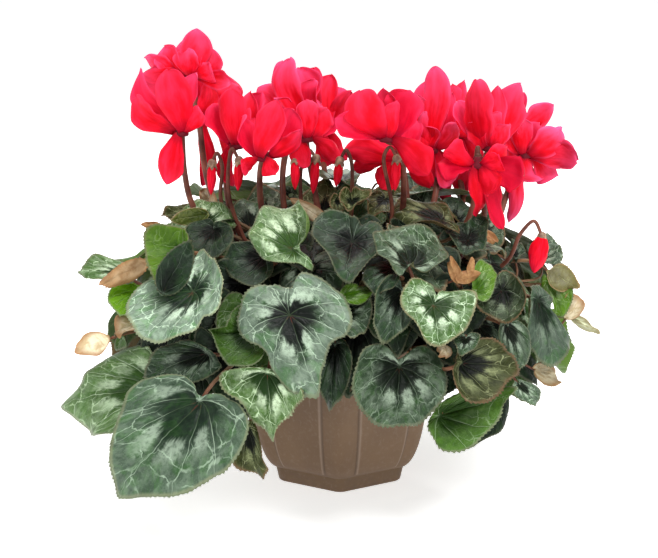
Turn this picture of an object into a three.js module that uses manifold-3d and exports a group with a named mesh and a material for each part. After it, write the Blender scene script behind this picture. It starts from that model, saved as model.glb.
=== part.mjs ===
// A potted cyclamen: hexagonal plastic pot, soil, tuber with its petioles, flower stalks and buds, leaf blades and flowers.
// Millimetres, +Z up. The origin is the centre of the pot's underside and -Y is the front, where one corner of the pot points.
import * as THREE from 'three';
import { mergeVertices } from 'three/addons/utils/BufferGeometryUtils.js';
import Module from 'manifold-3d';

const wasm = await Module();
wasm.setup();

// Driving dimensions.
const BLADE_T = 1.2; // thickness of a leaf blade
const PETAL_T = 1.1; // thickness of a petal
const GAP = 0.45; // clearance between neighbouring pieces
const PETIOLE_R = 1.9; // leaf stalk radius
const STALK_R = 2.3; // flower stalk radius
const POT_WALL = 2.6;
const POT_FLOOR = 3.2;
const POT_H = 125;
const POT_PROFILE = [ // corner radius, height
  [59, 0], [62, 12.6], [64.6, 13.8], [71.2, 21.6], [76.4, 33.5], [80, 48], [83.8, 72], [87, 108], [87.4, 114], [92.6, 115], [93.2, POT_H],
];
const PANEL_RISE = 1.0; // the flat panel on each face
const SOIL_TOP = 111;
const TUBER = { r: 29, h: 15, z: 112 };

const COLOURS = {
  pot: 0x7d6a5b, soil: 0x2c1f17, stems: 0x7c4136, leaf: 0x3f6650, petal: 0xe3143c,
};
const material = (color, roughness = 0.6) => new THREE.MeshStandardMaterial({ color, roughness, metalness: 0 });

// Leaf blades: name, attachment, vectors to the tip, to the right and to the left edge,
// [bend, droop, cup, wave, waves, phase], outline as x,y pairs along those vectors.
const LEAVES = [
  ["leaf_01",[-101.4,-192.9,122.4],[-62.3,-20.0,-65.9],[26.7,-20.5,-41.0],[-50.4,19.1,-3.2],[8.0,0,0,1.8,5,0.0],[1.0,0.0,0.869,0.268,0.749,0.46,0.556,0.691,0.373,0.822,0.118,0.981,-0.15,0.874,-0.222,0.667,-0.193,0.369,-0.138,0.15,-0.033,-0.083,-0.146,-0.362,-0.193,-0.583,-0.179,-0.883,-0.11,-1.099,0.122,-1.017,0.342,-0.811,0.505,-0.655,0.711,-0.433,0.853,-0.258]],
  ["leaf_02",[-37.7,-177.5,181.9],[21.0,-38.4,-49.4],[42.3,-11.9,0.7],[-36.4,1.7,-2.8],[10.0,4.0,0,1.8,5,0.0],[0.993,-0.013,0.743,0.207,0.542,0.36,0.302,0.593,0.233,0.835,0.002,1.074,-0.328,1.068,-0.494,0.877,-0.593,0.559,-0.497,0.335,-0.384,0.086,-0.424,-0.216,-0.383,-0.466,-0.253,-0.775,-0.092,-0.971,0.194,-1.081,0.366,-0.802,0.559,-0.702,0.849,-0.575,0.943,-0.343]],
  ["leaf_03",[66.8,-168.7,187.2],[2.1,-25.7,-23.6],[31.0,9.5,-0.5],[-24.2,-3.5,5.6],[3.0,0,0,1.8,5,0.0],[1.0,-0.0,0.896,0.312,0.768,0.527,0.554,0.78,0.335,0.9,0.025,1.022,-0.295,0.971,-0.408,0.756,-0.427,0.423,-0.34,0.199,-0.38,0.085,-0.642,-0.068,-0.627,-0.315,-0.516,-0.628,-0.346,-0.81,-0.054,-0.965,0.26,-0.873,0.467,-0.735,0.685,-0.482,0.846,-0.291]],
  ["leaf_04",[-121.8,-94.7,211.7],[-12.5,-31.4,-25.7],[9.5,-12.6,-9.4],[-23.0,6.1,-8.8],[3.0,0,9.0,1.8,5,0.0],[0.957,-0.082,0.791,0.143,0.623,0.28,0.388,0.447,0.184,0.515,-0.092,0.45,-0.266,0.226,-0.339,0.022,-0.409,-0.258,-0.435,-0.473,-0.467,-0.76,-0.507,-1.045,-0.492,-1.26,-0.278,-1.364,-0.101,-1.239,0.124,-1.059,0.337,-0.864,0.484,-0.705,0.678,-0.491,0.824,-0.332]],
  ["leaf_05",[-112.3,-120.8,186.3],[-31.3,-35.2,-32.5],[21.6,-41.4,-11.7],[-43.5,12.5,-8.3],[5.0,0,6.0,1.8,5,0.0],[0.986,-0.015,0.862,0.327,0.721,0.566,0.467,0.831,0.204,0.833,-0.057,1.033,-0.333,0.791,-0.414,0.527,-0.491,0.165,-0.575,-0.098,-0.762,-0.417,-0.647,-0.52,-0.402,-0.388,-0.313,-0.431,-0.439,-0.668,-0.176,-0.922,0.172,-0.987,0.399,-0.829,0.658,-0.566,0.824,-0.344]],
  ["leaf_06",[87.1,-177.5,146.2],[44.3,11.0,-7.7],[21.0,20.0,12.8],[14.8,-19.3,-26.1],[4.0,0,0,1.8,5,0.0],[0.982,-0.034,0.856,0.209,0.715,0.363,0.522,0.566,0.367,0.706,0.126,0.843,-0.102,0.734,-0.162,0.535,-0.142,0.258,-0.095,0.055,-0.195,-0.199,-0.293,-0.457,-0.302,-0.666,-0.263,-0.942,-0.11,-1.053,0.148,-0.952,0.369,-0.782,0.518,-0.635,0.7,-0.423,0.841,-0.268]],
  ["leaf_07",[-69.5,-163.8,166.5],[-25.9,-5.8,-9.7],[-1.3,-30.3,-23.7],[-11.9,6.9,9.4],[3.0,0,6.0,1.8,5,0.0],[0.998,-0.121,0.875,0.18,0.73,0.384,0.522,0.643,0.366,0.837,0.103,1.04,-0.215,1.127,-0.45,1.056,-0.62,0.783,-0.593,0.537,-0.482,0.223,-0.392,-0.097,-0.357,-0.344,-0.348,-0.676,-0.313,-0.922,-0.032,-0.951,0.151,-0.678,0.258,-0.453,0.472,-0.2,0.68,-0.065]],
  ["leaf_08",[-54.1,-187.9,141.7],[7.4,-16.9,-47.6],[29.1,-13.9,-7.5],[-29.8,9.3,-7.1],[5.0,0,0,1.8,5,0.0],[0.998,0.025,0.81,0.239,0.655,0.393,0.447,0.596,0.319,0.772,0.176,1.025,-0.003,0.889,-0.035,0.674,-0.048,0.383,-0.056,0.165,-0.07,-0.125,-0.085,-0.415,-0.084,-0.633,-0.075,-0.924,0.017,-1.107,0.249,-0.965,0.348,-0.693,0.521,-0.572,0.747,-0.411,0.84,-0.214]],
  ["leaf_09",[51.4,-142.7,210.4],[-26.2,16.1,21.6],[-18.7,-12.1,-1.1],[25.2,33.4,13.7],[3.0,0,0,1.8,5,0.0],[0.999,0.073,0.816,0.298,0.646,0.437,0.41,0.613,0.22,0.723,-0.065,0.76,-0.129,0.508,-0.061,0.298,0.018,0.016,-0.147,-0.028,-0.375,-0.165,-0.412,-0.454,-0.388,-0.673,-0.223,-0.905,-0.017,-0.982,0.268,-0.962,0.513,-0.801,0.671,-0.648,0.832,-0.403,0.93,-0.206]],
  ["leaf_10",[-36.6,-124.2,219.3],[-32.4,21.7,8.0],[-3.2,-8.7,-15.7],[-1.9,37.7,25.3],[3.0,0,3.0,1.8,5,0.0],[1.024,0.01,0.932,0.341,0.818,0.573,0.598,0.837,0.359,0.916,0.044,0.784,-0.238,0.585,-0.473,0.483,-0.448,0.157,-0.224,0.032,-0.297,-0.232,-0.502,-0.508,-0.611,-0.743,-0.533,-1.03,-0.288,-1.112,0.05,-1.112,0.338,-0.923,0.549,-0.772,0.793,-0.529,0.947,-0.322]],
  ["leaf_11",[8.3,-114.7,223.5],[-5.7,-45.0,-23.6],[20.1,9.3,0.1],[-29.8,7.6,-4.2],[3.0,0,7.0,1.8,5,0.0],[1.076,0.244,1.021,0.577,0.91,0.806,0.693,1.067,0.488,1.217,0.159,1.231,-0.109,1.027,-0.248,0.814,-0.337,0.489,-0.308,0.235,-0.388,-0.089,-0.519,-0.401,-0.533,-0.655,-0.389,-0.955,-0.156,-1.049,0.163,-0.958,0.413,-0.727,0.582,-0.536,0.797,-0.272,0.95,-0.068]],
  ["leaf_12",[121.0,-124.6,187.2],[-19.6,-11.6,-14.1],[14.3,-18.2,-16.0],[-7.9,15.3,3.7],[3.0,0,5.0,1.8,5,0.0],[0.979,0.028,0.929,0.318,0.832,0.52,0.687,0.781,0.561,0.967,0.336,1.159,0.045,1.21,-0.163,1.132,-0.343,0.897,-0.414,0.685,-0.442,0.388,-0.484,0.093,-0.537,-0.125,-0.541,-0.422,-0.416,-0.597,-0.123,-0.642,0.173,-0.608,0.375,-0.513,0.618,-0.338,0.797,-0.203]],
  ["leaf_13",[44.9,-142.8,191.5],[-11.7,-41.4,-25.5],[7.6,-23.4,-13.2],[-23.6,-24.3,-5.5],[3.0,0,0,1.8,5,0.0],[1.0,0.0,0.891,0.265,0.765,0.44,0.577,0.659,0.428,0.815,0.173,0.929,-0.021,0.736,-0.046,0.523,-0.03,0.235,-0.075,0.025,-0.207,-0.232,-0.299,-0.504,-0.309,-0.719,-0.211,-0.986,-0.026,-1.078,0.241,-0.972,0.496,-0.838,0.656,-0.694,0.826,-0.461,0.939,-0.277]],
  ["leaf_14",[42.2,-181.0,144.2],[-5.4,-33.7,-37.0],[34.2,-0.5,-12.0],[-35.9,-15.8,-4.4],[8.0,0,0,1.8,5,0.0],[1.0,-0.0,0.905,0.301,0.786,0.51,0.56,0.735,0.379,0.892,0.082,1.005,-0.23,0.972,-0.396,0.805,-0.432,0.491,-0.347,0.269,-0.145,0.023,-0.289,-0.249,-0.394,-0.463,-0.374,-0.777,-0.24,-0.959,0.076,-1.005,0.374,-0.897,0.554,-0.74,0.764,-0.498,0.901,-0.301]],
  ["leaf_15",[2.7,-155.7,178.0],[4.7,-30.8,-14.4],[18.1,2.9,-3.9],[-12.7,-8.8,-2.5],[3.0,0,6.0,1.8,5,0.0],[1.0,-0.0,0.912,0.281,0.806,0.474,0.618,0.7,0.441,0.833,0.175,0.958,-0.114,1.008,-0.328,0.957,-0.544,0.762,-0.606,0.552,-0.57,0.26,-0.47,-0.017,-0.378,-0.218,-0.222,-0.468,-0.076,-0.634,0.163,-0.804,0.449,-0.818,0.632,-0.696,0.823,-0.473,0.937,-0.283]],
  ["leaf_16",[78.0,-65.4,231.3],[-37.2,30.4,2.6],[-13.8,-9.3,-6.7],[-11.0,40.4,8.5],[4.0,0,0,1.8,5,0.0],[1.0,0.0,0.939,0.312,0.834,0.528,0.648,0.787,0.468,0.945,0.159,0.965,-0.148,0.877,-0.384,0.914,-0.485,0.655,-0.449,0.418,-0.376,0.106,-0.323,-0.209,-0.328,-0.449,-0.331,-0.769,-0.231,-0.981,0.074,-1.032,0.356,-0.887,0.53,-0.723,0.747,-0.487,0.896,-0.299]],
  ["leaf_17",[98.8,-81.5,216.9],[-1.1,-14.6,-11.2],[18.9,1.6,-4.2],[-14.4,12.6,-3.3],[3.0,0,6.0,1.8,5,0.0],[1.006,-0.091,0.855,0.313,0.643,0.561,0.277,0.795,-0.033,0.898,-0.464,0.959,-0.9,0.95,-1.221,0.888,-1.536,0.614,-1.421,0.329,-1.044,0.11,-1.024,-0.21,-1.262,-0.435,-1.21,-0.831,-0.929,-0.991,-0.499,-1.058,-0.066,-1.017,0.247,-0.922,0.632,-0.719,0.87,-0.496]],
  ["leaf_18",[-100.4,-154.9,147.4],[-45.9,14.7,-23.6],[-7.5,-14.0,-19.2],[-23.5,18.6,6.8],[3.0,0,0,1.8,5,0.0],[1.0,0.0,0.91,0.255,0.789,0.421,0.618,0.636,0.471,0.78,0.242,0.93,-0.009,1.038,-0.201,0.983,-0.313,0.745,-0.252,0.549,-0.162,0.29,-0.086,0.026,-0.048,-0.176,-0.033,-0.45,-0.013,-0.655,0.19,-0.805,0.458,-0.772,0.61,-0.634,0.78,-0.419,0.902,-0.253]],
  ["leaf_19",[-170.2,-49.1,183.5],[-44.9,27.6,-5.3],[-13.7,-1.8,-9.5],[-20.7,32.2,3.7],[3.0,0,0,1.8,5,0.0],[1.0,0.0,0.87,0.262,0.757,0.445,0.574,0.673,0.418,0.825,0.168,0.972,-0.108,0.938,-0.202,0.733,-0.234,0.448,-0.201,0.232,-0.025,0.0,-0.201,-0.232,-0.234,-0.448,-0.202,-0.733,-0.108,-0.938,0.168,-0.972,0.418,-0.825,0.574,-0.673,0.757,-0.445,0.87,-0.262]],
  ["leaf_20",[-142.7,-134.8,115.9],[-86.9,74.8,-38.8],[-28.0,5.3,-44.8],[-35.1,68.5,14.4],[6.0,0,0,1.8,5,0.0],[1.0,0.0,0.844,0.235,0.712,0.405,0.546,0.641,0.399,0.799,0.155,0.949,-0.115,1.046,-0.236,0.891,-0.248,0.604,-0.203,0.393,-0.079,0.133,-0.057,-0.145,-0.129,-0.349,-0.171,-0.633,-0.171,-0.849,0.079,-0.895,0.306,-0.72,0.461,-0.571,0.664,-0.366,0.82,-0.217]],
  ["leaf_21",[37.1,-5.2,236.9],[-11.3,-24.5,-10.6],[20.6,-12.6,-5.2],[-13.5,-6.0,0.3],[3.0,0,0,1.8,5,0.0],[1.0,0.0,0.864,0.273,0.745,0.462,0.551,0.697,0.385,0.852,0.113,0.986,-0.17,0.917,-0.29,0.718,-0.325,0.42,-0.266,0.203,-0.035,0.0,-0.266,-0.203,-0.325,-0.42,-0.29,-0.718,-0.17,-0.917,0.113,-0.986,0.385,-0.852,0.551,-0.697,0.745,-0.462,0.864,-0.273]],
  ["leaf_22",[-60.0,-104.8,209.1],[-30.7,2.2,-5.1],[-6.4,-22.6,-21.0],[-9.4,12.6,7.0],[3.0,0,0,1.8,5,0.0],[1.0,0.0,0.864,0.273,0.745,0.462,0.551,0.697,0.385,0.852,0.113,0.986,-0.17,0.917,-0.29,0.718,-0.325,0.42,-0.266,0.203,-0.035,0.0,-0.266,-0.203,-0.325,-0.42,-0.29,-0.718,-0.17,-0.917,0.113,-0.986,0.385,-0.852,0.551,-0.697,0.745,-0.462,0.864,-0.273]],
  ["leaf_23",[-101.0,-44.1,219.2],[-12.1,-31.4,-21.1],[16.7,-24.8,-6.4],[-20.9,0.7,-5.0],[3.0,0,3.0,1.8,5,0.0],[1.0,0.0,0.87,0.262,0.757,0.445,0.574,0.673,0.418,0.825,0.168,0.972,-0.108,0.938,-0.202,0.733,-0.234,0.448,-0.201,0.232,-0.025,0.0,-0.201,-0.232,-0.234,-0.448,-0.202,-0.733,-0.108,-0.938,0.168,-0.972,0.418,-0.825,0.574,-0.673,0.757,-0.445,0.87,-0.262]],
  ["leaf_24",[124.6,-137.8,163.5],[7.2,-20.6,-30.4],[18.2,9.1,-11.9],[-7.6,-11.7,-10.1],[3.0,0,0,1.8,5,0.0],[1.0,0.0,0.872,0.258,0.762,0.437,0.583,0.662,0.432,0.813,0.192,0.965,-0.082,0.947,-0.159,0.739,-0.187,0.459,-0.164,0.245,-0.02,0.0,-0.164,-0.245,-0.187,-0.459,-0.159,-0.739,-0.082,-0.947,0.192,-0.965,0.432,-0.813,0.583,-0.662,0.762,-0.437,0.872,-0.258]],
  ["leaf_25",[72.6,-167.9,102.9],[57.2,13.0,12.1],[25.1,10.0,19.8],[12.2,-12.3,-23.8],[5.0,0,0,1.8,5,0.0],[0.988,0.07,0.868,0.304,0.732,0.449,0.525,0.616,0.353,0.717,0.096,0.763,-0.121,0.626,-0.173,0.436,-0.127,0.175,-0.125,-0.023,-0.174,-0.284,-0.156,-0.549,-0.143,-0.748,-0.037,-0.981,0.146,-1.054,0.363,-0.919,0.549,-0.729,0.668,-0.569,0.817,-0.349,0.927,-0.183]],
  ["leaf_26",[154.4,-93.3,171.9],[5.8,-33.6,-43.4],[26.6,14.1,-24.6],[-15.3,-21.8,-15.1],[4.0,0,0,1.8,5,0.0],[1.0,0.0,0.889,0.276,0.754,0.456,0.563,0.687,0.403,0.847,0.228,0.987,0.156,0.736,0.109,0.541,0.07,0.276,-0.123,0.36,-0.265,0.145,-0.243,-0.155,-0.257,-0.38,-0.248,-0.679,-0.153,-0.88,0.124,-0.962,0.391,-0.831,0.558,-0.679,0.756,-0.453,0.895,-0.276]],
  ["leaf_27",[70.1,35.0,235.5],[71.8,26.4,-10.8],[-20.1,23.3,9.0],[10.3,-29.9,4.8],[5.3,2.5,-0.8,2.2,4,2.15],[1.023,0.0,0.813,0.263,0.678,0.44,0.517,0.708,0.359,0.902,0.061,1.016,-0.227,0.89,-0.363,0.698,-0.391,0.39,-0.299,0.175,-0.042,0.0,-0.319,-0.187,-0.415,-0.413,-0.363,-0.698,-0.22,-0.861,0.058,-0.971,0.347,-0.873,0.517,-0.708,0.72,-0.468,0.87,-0.281]],
  ["leaf_28",[-69.7,58.4,234.3],[-61.0,26.7,-15.5],[-15.6,-36.9,4.5],[24.2,3.5,2.1],[6.2,2.3,5.8,2.2,4,1.93],[1.026,0.0,0.899,0.288,0.74,0.471,0.516,0.68,0.355,0.841,0.084,0.99,-0.2,0.897,-0.331,0.707,-0.378,0.42,-0.301,0.197,-0.038,0.0,-0.275,-0.18,-0.36,-0.399,-0.342,-0.731,-0.207,-0.927,0.084,-0.992,0.367,-0.869,0.534,-0.704,0.703,-0.447,0.823,-0.264]],
  ["leaf_29",[38.0,104.7,223.4],[55.8,50.1,-30.4],[-38.8,16.9,2.6],[42.2,-15.2,3.2],[7.7,1.4,-1.9,2.2,6,1.02],[1.03,0.0,0.861,0.277,0.727,0.466,0.534,0.714,0.356,0.863,0.071,0.949,-0.208,0.881,-0.354,0.726,-0.395,0.419,-0.3,0.187,-0.04,0.0,-0.294,-0.184,-0.375,-0.398,-0.339,-0.695,-0.213,-0.902,0.077,-1.035,0.364,-0.883,0.511,-0.683,0.689,-0.442,0.843,-0.271]],
  ["leaf_30",[-61.7,84.9,213.8],[-51.5,80.7,-27.4],[-44.2,-12.9,2.3],[37.6,32.7,9.7],[5.6,0.5,6.3,2.2,4,5.66],[1.012,0.0,0.866,0.277,0.716,0.459,0.496,0.665,0.343,0.834,0.077,1.028,-0.221,0.938,-0.343,0.705,-0.367,0.391,-0.294,0.184,-0.04,-0.0,-0.29,-0.182,-0.377,-0.402,-0.36,-0.74,-0.219,-0.93,0.071,-0.955,0.34,-0.827,0.523,-0.7,0.736,-0.471,0.855,-0.274]],
  ["leaf_31",[139.8,62.7,198.3],[63.8,-13.4,-41.4],[-4.9,21.1,-2.6],[17.2,-52.7,-1.4],[5.6,1.5,0.3,2.2,6,5.18],[0.958,0.0,0.866,0.287,0.745,0.494,0.52,0.728,0.337,0.881,0.042,1.004,-0.247,0.874,-0.376,0.665,-0.418,0.379,-0.337,0.179,-0.048,0.0,-0.317,-0.169,-0.407,-0.369,-0.39,-0.69,-0.252,-0.891,0.041,-0.986,0.343,-0.897,0.538,-0.753,0.727,-0.482,0.815,-0.27]],
  ["leaf_32",[-141.6,63.9,193.1],[-56.3,2.5,-42.6],[-15.9,-44.6,-1.5],[9.6,20.1,-3.0],[8.2,1.7,5.7,2.2,6,4.67],[1.014,0.0,0.871,0.287,0.725,0.478,0.519,0.722,0.344,0.888,0.046,0.977,-0.234,0.852,-0.379,0.687,-0.433,0.404,-0.333,0.182,-0.045,-0.0,-0.31,-0.17,-0.41,-0.382,-0.382,-0.692,-0.242,-0.881,0.048,-1.012,0.355,-0.917,0.523,-0.727,0.684,-0.451,0.811,-0.267]],
  ["leaf_33",[122.1,103.9,182.7],[76.6,-3.2,-58.5],[-31.3,41.4,-4.7],[31.8,-57.8,-1.3],[8.1,0.8,1.0,2.2,6,2.59],[0.96,0.0,0.842,0.277,0.724,0.477,0.515,0.715,0.343,0.884,0.05,1.032,-0.244,0.897,-0.366,0.667,-0.395,0.37,-0.321,0.176,-0.047,0.0,-0.32,-0.176,-0.409,-0.384,-0.384,-0.699,-0.241,-0.885,0.046,-0.958,0.339,-0.872,0.539,-0.748,0.749,-0.493,0.841,-0.277]],
  ["leaf_34",[-11.5,164.1,178.0],[-21.2,54.1,-64.6],[-47.9,6.7,-6.2],[60.4,12.6,-15.1],[5.9,2.4,-1.3,2.2,5,5.05],[0.995,0.0,0.822,0.259,0.703,0.444,0.541,0.716,0.377,0.898,0.084,0.989,-0.19,0.862,-0.317,0.688,-0.362,0.41,-0.289,0.193,-0.039,0.0,-0.294,-0.196,-0.365,-0.414,-0.314,-0.683,-0.189,-0.857,0.084,-0.99,0.375,-0.893,0.537,-0.711,0.709,-0.448,0.835,-0.263]],
  ["leaf_35",[-135.7,99.2,173.4],[-48.6,42.0,-57.6],[-43.4,-48.6,-5.3],[33.9,38.2,11.3],[5.4,0.5,-2.8,2.2,5,1.07],[0.977,0.0,0.832,0.271,0.705,0.464,0.497,0.696,0.332,0.867,0.046,1.037,-0.255,0.921,-0.377,0.681,-0.393,0.365,-0.313,0.171,-0.046,0.0,-0.322,-0.176,-0.416,-0.386,-0.393,-0.71,-0.248,-0.898,0.042,-0.952,0.323,-0.844,0.518,-0.725,0.745,-0.49,0.855,-0.279]],
  ["leaf_36",[169.7,42.6,143.9],[19.4,19.4,-46.7],[-13.3,36.8,-1.0],[6.1,-4.4,-3.6],[8.8,0.0,3.8,2.2,4,3.55],[0.98,0.0,0.815,0.261,0.713,0.457,0.526,0.706,0.352,0.861,0.073,1.006,-0.223,0.934,-0.349,0.71,-0.359,0.379,-0.285,0.177,-0.042,0.0,-0.31,-0.192,-0.382,-0.403,-0.344,-0.699,-0.215,-0.902,0.071,-0.978,0.34,-0.83,0.517,-0.695,0.756,-0.485,0.885,-0.284]],
  ["leaf_37",[172.2,58.2,113.1],[25.5,24.0,-56.2],[-29.3,92.3,14.5],[23.1,-10.2,3.1],[6.7,0.1,2.8,2.2,6,0.42],[1.021,0.0,0.814,0.258,0.686,0.435,0.531,0.701,0.376,0.891,0.087,1.01,-0.198,0.899,-0.326,0.706,-0.357,0.402,-0.278,0.185,-0.038,0.0,-0.299,-0.199,-0.378,-0.426,-0.325,-0.703,-0.192,-0.868,0.083,-0.971,0.364,-0.862,0.528,-0.697,0.729,-0.462,0.875,-0.278]],
  ["leaf_38",[106.0,158.2,116.0],[18.7,24.4,-75.5],[-58.3,36.8,3.9],[41.8,-19.0,-10.1],[5.7,1.8,2.1,2.2,4,5.42],[1.05,0.0,0.843,0.278,0.695,0.46,0.506,0.71,0.334,0.877,0.04,0.982,-0.255,0.9,-0.409,0.723,-0.431,0.391,-0.314,0.167,-0.044,0.0,-0.325,-0.173,-0.434,-0.394,-0.398,-0.703,-0.253,-0.893,0.041,-1.008,0.332,-0.87,0.491,-0.689,0.7,-0.464,0.871,-0.288]],
  ["leaf_39",[-39.2,188.5,110.4],[-15.7,11.2,-80.6],[-66.8,-6.1,-9.4],[38.3,15.3,-7.8],[8.4,2.3,0.2,2.2,6,1.14],[0.99,0.0,0.846,0.271,0.715,0.458,0.531,0.713,0.368,0.897,0.074,1.006,-0.204,0.857,-0.329,0.672,-0.382,0.405,-0.308,0.192,-0.041,0.0,-0.298,-0.186,-0.38,-0.402,-0.34,-0.693,-0.205,-0.864,0.072,-0.978,0.371,-0.904,0.547,-0.734,0.71,-0.455,0.818,-0.262]],
  ["leaf_40",[-144.6,137.7,114.3],[-33.7,-10.3,-74.9],[-33.7,-23.4,-8.4],[35.2,39.3,-3.3],[7.3,2.6,-0.1,2.2,5,3.64],[1.014,0.0,0.82,0.269,0.673,0.447,0.498,0.707,0.341,0.912,0.037,1.036,-0.253,0.874,-0.386,0.672,-0.421,0.377,-0.323,0.17,-0.046,0.0,-0.331,-0.174,-0.444,-0.397,-0.401,-0.698,-0.246,-0.852,0.034,-0.955,0.333,-0.891,0.517,-0.734,0.711,-0.472,0.843,-0.276]],
  ["leaf_41",[-176.5,75.6,124.7],[-20.7,-10.3,-64.9],[-18.8,-34.7,-4.5],[17.4,33.7,-5.2],[7.8,1.4,-4.0,2.2,4,1.81],[1.006,0.0,0.857,0.277,0.712,0.465,0.487,0.674,0.325,0.833,0.053,1.02,-0.249,0.937,-0.378,0.705,-0.393,0.379,-0.308,0.174,-0.044,0.0,-0.306,-0.173,-0.401,-0.387,-0.39,-0.728,-0.247,-0.93,0.05,-0.968,0.322,-0.827,0.504,-0.698,0.728,-0.475,0.853,-0.276]],
];

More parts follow.
